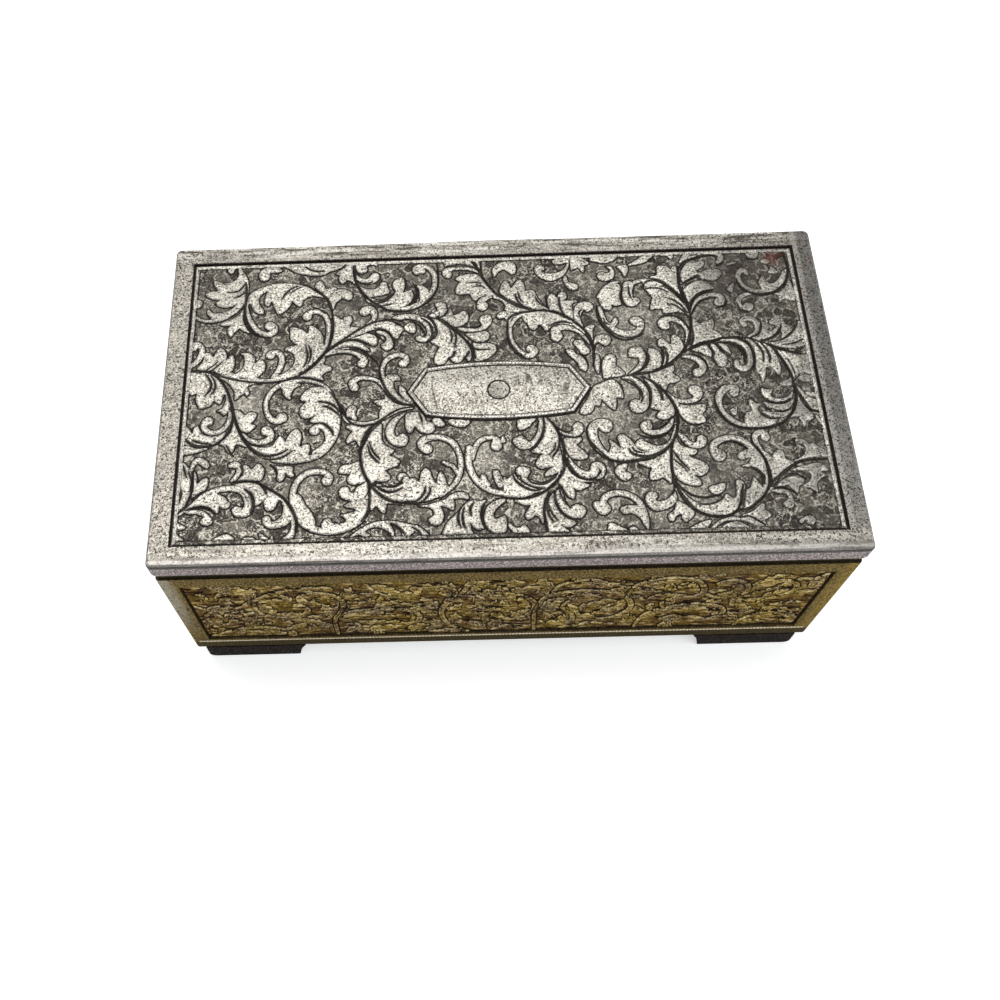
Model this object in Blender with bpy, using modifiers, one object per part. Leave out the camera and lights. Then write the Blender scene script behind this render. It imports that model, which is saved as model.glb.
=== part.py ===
"""Cast-metal music box: hinged lid, keepsake well and an eighteen-note movement.

Metres, +Z up. The box stands on its feet with the middle of its footprint, hinge
included, at the origin. The front faces -Y and the hinge is at the rear.
"""
import math

import bpy
import bmesh
from mathutils import Matrix, Vector

# Case and lid
LID_LENGTH = 0.1150
LID_HEIGHT = 0.0042
LID_OVERHANG_X = 0.0002
LID_OVERHANG_Y = 0.0003
CASE_HEIGHT = 0.0347
FOOT_HEIGHT = 0.0052
PARTING_GAP = 0.0004
WALL = 0.0024
FLOOR = 0.0022
RIM_HEIGHT = 0.0015
RIM_STEP = 0.00035
CORNER_ROUND = 0.0005
PANEL_DEPTH = 0.0005
PANEL_STILE = 0.0031
PANEL_TOP_RAIL = 0.0048
PANEL_BOTTOM_RAIL = 0.0044
LID_BORDER = 0.00345
LID_PANEL_DEPTH = 0.0006
LID_PLATE = 0.0018
LID_SIDE = 0.0026
LID_UNDER_ROUND = 0.0008
LID_EDGE_BEVEL = 0.0004
LID_CORNER_ROUND = 0.0009
CARTOUCHE_HALF = 0.0154
CARTOUCHE_SHOULDER = 0.0124
CARTOUCHE_SHOULDER_Y = 0.0046
CARTOUCHE_BOW = 0.0010
CARTOUCHE_Y = -0.0004
CARTOUCHE_LIFT = 0.0005
CARTOUCHE_RIM = 0.00055
CARTOUCHE_SINK = 0.0002
DIMPLE_RADIUS = 0.00185

# Lid hinge
KNUCKLE_RADIUS = 0.0013
HINGE_STANDOFF = 0.00205
HINGE_DROP = 0.0008
HINGE_PIN_RADIUS = 0.0006
LID_KNUCKLE_HALF = 0.0097
CASE_KNUCKLE_LENGTH = 0.0120
HINGE_WEB_DROP = 0.0027
LID_WEB_LOW = 0.0002
LID_WEB_HIGH = 0.0015
HINGE_WEB_ROOT = 0.0006

# Feet
FOOT_LENGTH = 0.0190
FOOT_RETURN = 0.0130
FOOT_THICKNESS = 0.0026
FOOT_INSET = 0.0016
FOOT_SETBACK = 0.0001
FOOT_TOE_ROUND = 0.0012
FOOT_HEEL_RUN = 0.0016

# Clearances
GAP = 0.0003
RUNNING_GAP = 0.0003
MESH_GAP = 0.0002
AIR = 0.0005

# Modelling margins: how far cutters run past a face, how far joined lumps run into
# each other, how close a point must be to count as on a face, and how far a joined
# lump is drawn in from a flush face
CUT_PAST = 0.0010
LAP = 0.0005
ON_FACE = 0.0001
INSET = 0.0001

# Linings, partition and cover
TUB_WALL = 0.0014
TUB_RIM_DROP = 0.0015
TUB_CORNER = 0.0020
PARTITION_CLEARANCE = 0.0008
PARTITION_THICKNESS = 0.0012
COVER_THICKNESS = 0.0012
COVER_TOP_DROP = 0.0035
LEDGE_WIDTH = 0.0015
LEDGE_HEIGHT = 0.0015
LID_LINING_THICKNESS = 0.0015
LID_LINING_CROWN = 0.0008
LID_LINING_MARGIN = 0.0010
NOTCH_RADIUS = 0.0050
FELT_THICKNESS = 0.0006
FELT_MARGIN = 0.0005

# Movement bedplate
BED_THICKNESS = 0.0022
BED_MARGIN_X = 0.0015
BED_MARGIN_Y = 0.00225
BED_COMB_EDGE = 0.00085
BED_SCREW_INSET = 0.0032
BED_SCREW_RADIUS = 0.0010
BED_SCREW_HEAD_RADIUS = 0.0020
BED_SCREW_HEAD = 0.0011
BED_SCREW_SLOT = 0.0006
BED_CORNER = 0.0012
BOSS_RADIUS = 0.0027
FAN_CLEARANCE = 0.0016
CUP_CLEARANCE = 0.00035
REAR_CLEARANCE = 0.0037

# Key recess and key
CUP_RADIUS = 0.0126
CUP_WALL = 0.0010
CUP_ROOF = 0.0012
CUP_DEPTH = 0.0063
CUP_FLANGE = 0.0007
KEY_WING_RADIUS = 0.0040
KEY_WING_OFFSET = 0.0055
KEY_WING_HOLE = 0.0020
KEY_THICKNESS = 0.0013
KEY_HUB_RADIUS = 0.0026
KEY_BOTTOM = 0.0018
KEY_TOP_GAP = 0.0008
KEY_HUB_LIFT = 0.0012
KEY_HOLE_SHIFT = 0.0004
ARBOR_LIFT = 0.0042
WINDING_ARBOR_RADIUS = 0.0015

# Spring drum, great wheel and bridge
DRUM_RADIUS = 0.0090
DRUM_HEIGHT = 0.0084
DRUM_WALL = 0.0010
DRUM_FLOOR = 0.0012
DRUM_LIFT = 0.0006
GREAT_TEETH = 36
GREAT_MODULE = 0.0006
GREAT_FACE = 0.0015
FLANGE_THICKNESS = 0.0012
BRIDGE_THICKNESS = 0.0014
BRIDGE_WIDTH = 0.0060
BRIDGE_LEG = 0.0030
SMALL_SCREW_RADIUS = 0.0008
SMALL_SCREW_HEAD_RADIUS = 0.0017
SMALL_SCREW_HEAD = 0.0009
SMALL_SCREW_SLOT = 0.0005
DOME_RISE = 0.0006
DOME_EDGE = 0.0003
CROWN_TOOTH_ROOT = 0.0003
SPRING_TURNS = 5
SPRING_STRIP = 0.00032

# Pinned cylinder and its train
CYLINDER_AXIS_RISE = 0.0082
CYLINDER_RADIUS = 0.0060
CYLINDER_LENGTH = 0.0172
PIN_HEIGHT = 0.0005
PIN_RADIUS = 0.00022
NOTES = 18
PINS_PER_NOTE = 3
CYLINDER_ARBOR_RADIUS = 0.0008
CYLINDER_PINION_TEETH = 9
POST_THICKNESS = 0.0018
POST_WIDTH = 0.0070
GEAR_THICKNESS = 0.0012
CYLINDER_GEAR_TEETH = 32
SECOND_PINION_TEETH = 8
TRAIN_MODULE = 0.00045
TRAIN_GEAR_WIDTH_SHARE = 0.36
PINION_WIDTH_SHARE = 0.34
ARBOR_END = 0.0004
POST_TOP_SHARE = 0.8

# Comb
COMB_THICKNESS = 0.0006
COMB_BACK_THICKNESS = 0.0016
COMB_PITCH = 0.0009
COMB_TIP_WIDTH = 0.00042
COMB_ROOT_WIDTH = 0.00060
COMB_BASS_LENGTH = 0.0096
COMB_TREBLE_LENGTH = 0.0062
COMB_BACK = 0.0050
COMB_SCREW_SHARE = 0.62
COMB_TIP_CLEARANCE = 0.00015

# Governor
WORM_WHEEL_TEETH = 16
WORM_MODULE = 0.0004
WORM_PITCH_RADIUS = 0.0012
WORM_THREAD_RADIUS = 0.00028
WORM_THREAD_SINK = 0.00003
WORM_CORE_RUN_OUT = 0.4
WORM_CORE_RADIUS = 0.00090
WORM_TURNS = 5
WORM_SHAFT_RADIUS = 0.0006
SECOND_ARBOR_RADIUS = 0.0006
WHEEL_FACE = 0.0010
GOVERNOR_PLATE = 0.0010
GOVERNOR_SIDE = 0.0026
GOVERNOR_BEARING = 0.0022
GOVERNOR_BEARING_SIDE = 0.0015
GOVERNOR_ARM_HALF = 0.0016
GOVERNOR_ARM_REACH = 0.0024
GOVERNOR_ARM_CLEARANCE = 0.0009
REAR_PLATE_SPACE = 0.0017
FAN_RADIUS = 0.0044
FAN_HEIGHT = 0.0026
FAN_THICKNESS = 0.0004
FAN_HUB_RADIUS = 0.0015

# Stop work
STOP_PIN_RADIUS = 0.0008
STOP_COLLAR_RADIUS = 0.0019
STOP_COLLAR = 0.0008
STOP_SPRING_RADIUS = 0.0015
STOP_WIRE_RADIUS = 0.00016
STOP_SPRING_TURNS = 6
STOP_SPRING_HEIGHT = 0.0052
BRAKE_WIDTH = 0.0014
BRAKE_THICKNESS = 0.0006
STOP_PIN_OFFSET = 0.0039
STOP_EAR_DROP = 0.0026
STOP_EAR_HALF = 0.0017
STOP_EAR_END = 0.0020
STOP_PIN_TAIL = 0.0012

# Derived places
HINGE_PROTRUSION = HINGE_STANDOFF + KNUCKLE_RADIUS
CASE_Y = -HINGE_PROTRUSION / 2
GREAT_RADIUS = GREAT_TEETH * GREAT_MODULE / 2
FLANGE_RADIUS = GREAT_RADIUS + GREAT_FACE / 2
FRONT_POST_REACH = FLANGE_RADIUS + AIR + POST_THICKNESS / 2
CYLINDER_REACH = FRONT_POST_REACH + POST_THICKNESS / 2 + AIR
GEAR_REACH = CYLINDER_REACH + CYLINDER_LENGTH + AIR + GEAR_THICKNESS / 2
REAR_POST_REACH = GEAR_REACH + GEAR_THICKNESS / 2 + AIR + POST_THICKNESS / 2
WORM_REACH = REAR_POST_REACH + POST_THICKNESS / 2 + AIR + WHEEL_FACE / 2
REAR_PLATE_REACH = WORM_REACH + WHEEL_FACE / 2 + REAR_PLATE_SPACE + GOVERNOR_PLATE / 2
CUP_FRONT = CUP_RADIUS + CUP_WALL + CUP_FLANGE
INNER_Y = (CUP_CLEARANCE + CUP_FRONT + REAR_PLATE_REACH + GOVERNOR_PLATE / 2 + REAR_CLEARANCE) / 2
CASE_WIDTH = 2 * (INNER_Y + WALL)
LID_WIDTH = CASE_WIDTH + 2 * LID_OVERHANG_Y
CASE_LENGTH = LID_LENGTH - 2 * LID_OVERHANG_X
CASE_TOP = FOOT_HEIGHT + CASE_HEIGHT
LID_BOTTOM = CASE_TOP + PARTING_GAP
LID_TOP = LID_BOTTOM + LID_HEIGHT
INNER_X = CASE_LENGTH / 2 - WALL
FLOOR_TOP = FOOT_HEIGHT + FLOOR
HINGE_Y = CASE_Y + LID_WIDTH / 2 + HINGE_STANDOFF
HINGE_Z = LID_BOTTOM - HINGE_DROP
COVER_TOP = CASE_TOP - COVER_TOP_DROP
COVER_BOTTOM = COVER_TOP - COVER_THICKNESS
LID_CEILING = LID_TOP - LID_PLATE
LINING_TOP = LID_CEILING - GAP
LINING_BOTTOM = LINING_TOP - LID_LINING_THICKNESS
BED_BOTTOM = FOOT_HEIGHT + CUP_DEPTH + CUP_ROOF + GAP
BED_TOP = BED_BOTTOM + BED_THICKNESS
TRAIN_CENTRES = (CYLINDER_GEAR_TEETH + SECOND_PINION_TEETH) * TRAIN_MODULE / 2
WORM_WHEEL_RADIUS = WORM_WHEEL_TEETH * WORM_MODULE / 2
WORM_X = -INNER_X + FAN_CLEARANCE + FAN_RADIUS
SECOND_X = WORM_X + WORM_WHEEL_RADIUS + WORM_PITCH_RADIUS
AXIS_X = SECOND_X + TRAIN_CENTRES
AXIS_Z = BED_TOP + CYLINDER_AXIS_RISE
KEY_X = AXIS_X
KEY_Y = CASE_Y - INNER_Y + CUP_CLEARANCE + CUP_FRONT
PINION_RADIUS = CYLINDER_PINION_TEETH * GREAT_MODULE / 2
CROWN_PITCH_Z = AXIS_Z - PINION_RADIUS
CROWN_ADDENDUM = 0.72 * GREAT_MODULE
CROWN_DEDENDUM = 0.95 * GREAT_MODULE
FLANGE_TOP = CROWN_PITCH_Z - CROWN_DEDENDUM
DRUM_BOTTOM = BED_TOP + DRUM_LIFT
DRUM_TOP = DRUM_BOTTOM + DRUM_HEIGHT
BRIDGE_BOTTOM = DRUM_TOP + AIR
BRIDGE_TOP = BRIDGE_BOTTOM + BRIDGE_THICKNESS
BRIDGE_LEG_X = FLANGE_RADIUS + AIR + BRIDGE_LEG / 2
PINION_FRONT = KEY_Y + GREAT_RADIUS - GREAT_FACE / 2
PINION_BACK = PINION_FRONT + GREAT_FACE
FRONT_POST_Y = KEY_Y + FRONT_POST_REACH
CYLINDER_FRONT = KEY_Y + CYLINDER_REACH
CYLINDER_BACK = CYLINDER_FRONT + CYLINDER_LENGTH
GEAR_Y = KEY_Y + GEAR_REACH
REAR_POST_Y = KEY_Y + REAR_POST_REACH
WORM_Y = KEY_Y + WORM_REACH
WORM_LEAD = math.pi * WORM_MODULE
GOVERNOR_FRONT_Y = CYLINDER_BACK - GOVERNOR_PLATE / 2 - 2 * AIR
GOVERNOR_REAR_Y = KEY_Y + REAR_PLATE_REACH
GOVERNOR_BASE = BED_TOP + GAP
GOVERNOR_LEFT = WORM_X - GOVERNOR_SIDE
GOVERNOR_RIGHT = SECOND_X + GOVERNOR_BEARING_SIDE
ARM_BOTTOM = AXIS_Z + WORM_WHEEL_RADIUS + GOVERNOR_ARM_CLEARANCE
FAN_BOTTOM = ARM_BOTTOM + GOVERNOR_PLATE + GAP
STOP_PIN_X = SECOND_X + STOP_PIN_OFFSET
STOP_PIN_Y = GOVERNOR_REAR_Y
STOP_EAR_BOTTOM = AXIS_Z - STOP_EAR_DROP
STOP_EAR_TOP = STOP_EAR_BOTTOM + GOVERNOR_PLATE
STOP_SPRING_BOTTOM = STOP_EAR_TOP + GAP
STOP_COLLAR_BOTTOM = STOP_SPRING_BOTTOM + STOP_SPRING_HEIGHT + GAP
BRAKE_Z = FAN_BOTTOM + FAN_HEIGHT / 2
STOP_PIN_TOP = LINING_BOTTOM - LID_LINING_CROWN - GAP
STOP_PIN_BOTTOM = STOP_EAR_BOTTOM - STOP_PIN_TAIL
COMB_TIP_X = AXIS_X + CYLINDER_RADIUS + PIN_HEIGHT + COMB_TIP_CLEARANCE
COMB_BACK_X = COMB_TIP_X + COMB_BASS_LENGTH + COMB_BACK
COMB_MID_Y = (CYLINDER_FRONT + CYLINDER_BACK) / 2
BED_LEFT = -INNER_X + BED_MARGIN_X
BED_RIGHT = COMB_BACK_X + BED_COMB_EDGE
BED_FRONT = CASE_Y - INNER_Y + BED_MARGIN_Y
BED_REAR = CASE_Y + INNER_Y - BED_MARGIN_Y
PARTITION_X = BED_RIGHT + PARTITION_CLEARANCE + PARTITION_THICKNESS / 2
COMB_HALF = NOTES * COMB_PITCH / 2
COMB_UNDERSIDE = AXIS_Z + COMB_THICKNESS / 2 - COMB_BACK_THICKNESS
WINDING_ARBOR_BOTTOM = KEY_BOTTOM + ARBOR_LIFT

PARTS = bpy.data.collections.new("music_box")
CUTTERS = bpy.data.collections.new("cutters")


def clear_scene():
    """Remove whatever the file holds and add the two collections."""
    for obj in list(bpy.data.objects):
        bpy.data.objects.remove(obj, do_unlink=True)
    bpy.context.scene.collection.children.link(PARTS)
    bpy.context.scene.collection.children.link(CUTTERS)


def material(name, colour, roughness, metallic):
    """Principled material, made once and shared by name."""
    found = bpy.data.materials.get(name)
    if found:
        return found
    made = bpy.data.materials.new(name)
    made.use_nodes = True
    shader = made.node_tree.nodes["Principled BSDF"]
    shader.inputs["Base Color"].default_value = (*colour, 1.0)
    shader.inputs["Roughness"].default_value = roughness
    shader.inputs["Metallic"].default_value = metallic
    return made


def cast_metal():
    return material("cast_metal", (0.50, 0.48, 0.43), 0.38, 1.0)


def dark_cast_metal():
    return material("dark_cast_metal", (0.09, 0.075, 0.065), 0.5, 1.0)


def steel():
    return material("steel", (0.58, 0.58, 0.59), 0.28, 1.0)


def blued_steel():
    return material("blued_steel", (0.10, 0.12, 0.18), 0.3, 1.0)


def brass():
    return material("brass", (0.72, 0.53, 0.24), 0.3, 1.0)


def zinc():
    return material("zinc", (0.55, 0.55, 0.53), 0.42, 1.0)


def velvet():
    return material("velvet", (0.20, 0.015, 0.03), 0.95, 0.0)


def card():
    return material("card", (0.24, 0.02, 0.04), 0.9, 0.0)


def clear_plastic():
    return material("clear_plastic", (0.86, 0.88, 0.88), 0.1, 0.0)


def felt():
    return material("felt", (0.03, 0.10, 0.05), 0.95, 0.0)


def place(mesh, name, collection=CUTTERS):
    """New object for a mesh; loose tools stay in the cutters collection."""
    obj = bpy.data.objects.new(name, mesh)
    collection.objects.link(obj)
    return obj


def from_bmesh(bm, name):
    """Turn a bmesh into an object with its faces pointing out."""
    bmesh.ops.recalc_face_normals(bm, faces=bm.faces)
    mesh = bpy.data.meshes.new(name)
    bm.to_mesh(mesh)
    bm.free()
    return place(mesh, name)


def block(low, high, name="block"):
    """Box between two corners."""
    low, high = Vector(low), Vector(high)
    bm = bmesh.new()
    bmesh.ops.create_cube(bm, size=1.0)
    bmesh.ops.scale(bm, vec=high - low, verts=bm.verts)
    bmesh.ops.translate(bm, vec=(low + high) / 2, verts=bm.verts)
    return from_bmesh(bm, name)


def turn_to(axis):
    """Rotation that carries +Z onto a world axis."""
    return Vector((0, 0, 1)).rotation_difference(Vector(axis)).to_matrix().to_4x4()


def rod(start, axis, length, radius, sides=16, end_radius=None, name="rod"):
    """Cylinder, or cone, from its start point along an axis."""
    bm = bmesh.new()
    bmesh.ops.create_cone(bm, cap_ends=True, segments=sides, radius1=radius,
                          radius2=radius if end_radius is None else end_radius, depth=length)
    bmesh.ops.translate(bm, vec=(0, 0, length / 2), verts=bm.verts)
    bmesh.ops.transform(bm, matrix=Matrix.Translation(start) @ turn_to(axis), verts=bm.verts)
    return from_bmesh(bm, name)


def drill(x, y, low_z, high_z, radius, sides=10):
    """Upright cutter for a hole through everything between two heights."""
    return rod((x, y, low_z - CUT_PAST), (0, 0, 1), high_z - low_z + 2 * CUT_PAST, radius, sides)


def bake(obj):
    """Apply an object's modifiers to its mesh."""
    depsgraph = bpy.context.evaluated_depsgraph_get()
    mesh = bpy.data.meshes.new_from_object(obj.evaluated_get(depsgraph))
    obj.modifiers.clear()
    obj.data = mesh


def combine(target, operation, *tools):
    """Join, cut or intersect the target with each tool, then remove the tools."""
    for tool in tools:
        modifier = target.modifiers.new(operation.lower(), "BOOLEAN")
        modifier.operation = operation
        modifier.solver = "EXACT"
        modifier.object = tool
        bake(target)
        bpy.data.objects.remove(tool, do_unlink=True)
    return target


def join(target, *tools):
    return combine(target, "UNION", *tools)


def cut(target, *tools):
    return combine(target, "DIFFERENCE", *tools)


def round_edges(obj, width, segments=2, test=None):
    """Round the edges whose middle and direction pass the test, or all of them."""
    bm = bmesh.new()
    bm.from_mesh(obj.data)
    chosen = []
    for edge in bm.edges:
        middle = (edge.verts[0].co + edge.verts[1].co) / 2
        along = (edge.verts[1].co - edge.verts[0].co).normalized()
        if test is None or test(middle, along):
            chosen.append(edge)
    bmesh.ops.bevel(bm, geom=chosen, offset=width, segments=segments, profile=0.5, affect="EDGES")
    bm.to_mesh(obj.data)
    bm.free()
    return obj


def prism(outlines, thickness, plane, centre, name="prism"):
    """Flat shape with closed outlines, a second one being a hole, given a thickness."""
    curve = bpy.data.curves.new(name, "CURVE")
    curve.dimensions = "2D"
    curve.fill_mode = "BOTH"
    curve.extrude = thickness / 2
    for outline in outlines:
        spline = curve.splines.new("POLY")
        spline.points.add(len(outline) - 1)
        spline.use_cyclic_u = True
        for point, (u, v) in zip(spline.points, outline):
            point.co = (u, v, 0.0, 1.0)
    shape = place(curve, name)
    mesh = bpy.data.meshes.new_from_object(shape.evaluated_get(bpy.context.evaluated_depsgraph_get()))
    bpy.data.objects.remove(shape, do_unlink=True)
    frames = {
        "XY": Matrix.Identity(4),
        "XZ": Matrix(((1, 0, 0, 0), (0, 0, -1, 0), (0, 1, 0, 0), (0, 0, 0, 1))),
        "YZ": Matrix(((0, 0, 1, 0), (1, 0, 0, 0), (0, 1, 0, 0), (0, 0, 0, 1))),
    }
    bm = bmesh.new()
    bm.from_mesh(mesh)
    bmesh.ops.remove_doubles(bm, verts=bm.verts, dist=0.000005)
    bmesh.ops.transform(bm, matrix=Matrix.Translation(centre) @ frames[plane], verts=bm.verts)
    return from_bmesh(bm, name)


def turned(profile, steps, centre, name="turned"):
    """Solid of revolution about +Z; the profile runs down its outer side."""
    mesh = bpy.data.meshes.new(name)
    closed = min(radius for radius, _ in profile) > 0.0
    count = len(profile)
    edges = [(i, (i + 1) % count) for i in range(count if closed else count - 1)]
    mesh.from_pydata([(radius, 0.0, z) for radius, z in profile], edges, [])
    obj = place(mesh, name)
    screw = obj.modifiers.new("turn", "SCREW")
    screw.steps = steps
    screw.render_steps = steps
    screw.use_merge_vertices = True
    screw.merge_threshold = 0.000005
    bake(obj)
    bm = bmesh.new()
    bm.from_mesh(obj.data)
    bmesh.ops.translate(bm, vec=centre, verts=bm.verts)
    bmesh.ops.recalc_face_normals(bm, faces=bm.faces)
    bm.to_mesh(obj.data)
    bm.free()
    return obj


def circle(centre, radius, sides):
    """Closed outline of a round hole or disc."""
    step = 2 * math.pi / sides
    return [(centre[0] + radius * math.cos(k * step), centre[1] + radius * math.sin(k * step))
            for k in range(sides)]


def gear_outline(teeth, module, phase=0.0, addendum=0.75, dedendum=1.0, width=0.40):
    """Spur gear outline with tapered teeth; width is the tooth's share of the pitch."""
    pitch_radius = teeth * module / 2
    tip, root = pitch_radius + addendum * module, pitch_radius - dedendum * module
    pitch = 2 * math.pi / teeth
    outline = []
    for k in range(teeth):
        middle = phase + k * pitch
        for radius, share in ((root, -0.62), (tip, -0.24), (tip, 0.24), (root, 0.62)):
            angle = middle + share * width / 0.40 * pitch * 0.5
            outline.append((radius * math.cos(angle), radius * math.sin(angle)))
    return outline


def tube(points, radius, resolution, name="tube"):
    """Round wire through points, with closed ends."""
    curve = bpy.data.curves.new(name, "CURVE")
    curve.dimensions = "3D"
    curve.bevel_depth = radius
    curve.bevel_resolution = resolution
    curve.use_fill_caps = True
    spline = curve.splines.new("POLY")
    spline.points.add(len(points) - 1)
    for point, place_at in zip(spline.points, points):
        point.co = (*place_at, 1.0)
    shape = place(curve, name)
    mesh = bpy.data.meshes.new_from_object(shape.evaluated_get(bpy.context.evaluated_depsgraph_get()))
    bpy.data.objects.remove(shape, do_unlink=True)
    bm = bmesh.new()
    bm.from_mesh(mesh)
    bmesh.ops.remove_doubles(bm, verts=bm.verts, dist=0.000002)
    return from_bmesh(bm, name)


def finish(obj, name, look, origin=None):
    """Name a finished piece, set its origin, shade it and file it with the parts."""
    obj.name = name
    obj.data.name = name
    if origin is not None:
        obj.data.transform(Matrix.Translation(-Vector(origin)))
        obj.location = origin
    obj.data.materials.clear()
    obj.data.materials.append(look)
    obj.data.shade_smooth()
    obj.data.set_sharp_from_angle(angle=math.radians(35))
    CUTTERS.objects.unlink(obj)
    PARTS.objects.link(obj)
    return obj


def machine_screw(head_bottom, head_radius, head_height, shaft_radius, shaft_length, slot_width):
    """Slotted cheese-head screw, head up, from the underside of its head."""
    x, y, z = head_bottom
    screw = rod((x, y, z), (0, 0, 1), head_height, head_radius, 14)
    join(screw, rod((x, y, z - shaft_length), (0, 0, 1), shaft_length + head_height / 2,
                    shaft_radius, 10))
    cut(screw, block((x - head_radius * 1.5, y - slot_width / 2, z + head_height * 0.55),
                     (x + head_radius * 1.5, y + slot_width / 2, z + head_height * 1.5)))
    return screw


def hinge_knuckle(low_x, high_x):
    """Bored barrel between two places along the hinge line."""
    return rod((low_x, HINGE_Y, HINGE_Z), (1, 0, 0), high_x - low_x, KNUCKLE_RADIUS, 20)


def hinge_bore():
    """Cutter for the pin hole through every knuckle."""
    half = LID_KNUCKLE_HALF + CASE_KNUCKLE_LENGTH + CUT_PAST
    return rod((-half, HINGE_Y, HINGE_Z), (1, 0, 0), 2 * half, HINGE_PIN_RADIUS + GAP, 16)


def bed_screw_places():
    """Four corners where the bedplate is screwed down."""
    return [(x, y) for x in (BED_LEFT + BED_SCREW_INSET, BED_RIGHT - BED_SCREW_INSET)
            for y in (BED_FRONT + BED_SCREW_INSET, BED_REAR - BED_SCREW_INSET)]


def case_body():
    """Cast case: panelled walls, stepped rim, floor with bosses, hinge knuckles."""
    half_x, half_y = CASE_LENGTH / 2, CASE_WIDTH / 2
    rim_bottom = CASE_TOP - RIM_HEIGHT
    shell = block((-half_x, CASE_Y - half_y, FOOT_HEIGHT), (half_x, CASE_Y + half_y, rim_bottom))
    round_edges(shell, CORNER_ROUND, 2,
                lambda mid, along: abs(along.z) > 0.9 or mid.z < FOOT_HEIGHT + ON_FACE)
    join(shell, block((-half_x + RIM_STEP, CASE_Y - half_y + RIM_STEP, rim_bottom - LAP),
                      (half_x - RIM_STEP, CASE_Y + half_y - RIM_STEP, CASE_TOP)))
    cut(shell, block((-INNER_X, CASE_Y - INNER_Y, FLOOR_TOP),
                     (INNER_X, CASE_Y + INNER_Y, CASE_TOP + CUT_PAST)))
    panel_low = FOOT_HEIGHT + PANEL_BOTTOM_RAIL
    panel_high = CASE_TOP - PANEL_TOP_RAIL
    for side in (-1, 1):
        face_y = CASE_Y + side * half_y
        cut(shell, block((-half_x + PANEL_STILE, face_y - PANEL_DEPTH, panel_low),
                         (half_x - PANEL_STILE, face_y + PANEL_DEPTH, panel_high)))
        face_x = side * half_x
        cut(shell, block((face_x - PANEL_DEPTH, CASE_Y - half_y + PANEL_STILE, panel_low),
                         (face_x + PANEL_DEPTH, CASE_Y + half_y - PANEL_STILE, panel_high)))
    boss_top = BED_BOTTOM - GAP
    for x, y in bed_screw_places():
        join(shell, rod((x, y, FLOOR_TOP - LAP), (0, 0, 1), boss_top - FLOOR_TOP + LAP,
                        BOSS_RADIUS, 16))
    for x, y in bed_screw_places():
        cut(shell, drill(x, y, FOOT_HEIGHT, boss_top, BED_SCREW_RADIUS + GAP))
        cut(shell, rod((x, y, FOOT_HEIGHT - CUT_PAST), (0, 0, 1), CUT_PAST + BED_SCREW_HEAD + GAP,
                       BED_SCREW_HEAD_RADIUS + GAP, 14))
    cut(shell, drill(KEY_X, KEY_Y, FOOT_HEIGHT, FLOOR_TOP, CUP_RADIUS + CUP_WALL + GAP, 32))
    for side in (-1, 1):
        low_x = side * (LID_KNUCKLE_HALF + GAP)
        high_x = low_x + side * CASE_KNUCKLE_LENGTH
        low_x, high_x = min(low_x, high_x), max(low_x, high_x)
        join(shell, block((low_x, CASE_Y + half_y - HINGE_WEB_ROOT, HINGE_Z - HINGE_WEB_DROP),
                          (high_x, HINGE_Y, HINGE_Z - PARTING_GAP)))
        join(shell, hinge_knuckle(low_x, high_x))
    cut(shell, hinge_bore())
    return finish(shell, "case_body", cast_metal())


def cartouche_outline(shrink):
    """Six-cornered outline with bowed long sides, drawn in by a margin."""
    tip = CARTOUCHE_HALF - 1.25 * shrink
    shoulder = CARTOUCHE_SHOULDER - 0.45 * shrink
    height = CARTOUCHE_SHOULDER_Y - shrink
    outline = [(tip, 0.0)]
    bow_steps = 6
    for k in range(bow_steps + 1):
        x = shoulder * (1 - 2 * k / bow_steps)
        outline.append((x, height + CARTOUCHE_BOW * (1 - (x / shoulder) ** 2)))
    outline.append((-tip, 0.0))
    for k in range(bow_steps + 1):
        x = shoulder * (2 * k / bow_steps - 1)
        outline.append((x, -height - CARTOUCHE_BOW * (1 - (x / shoulder) ** 2)))
    return outline


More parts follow.
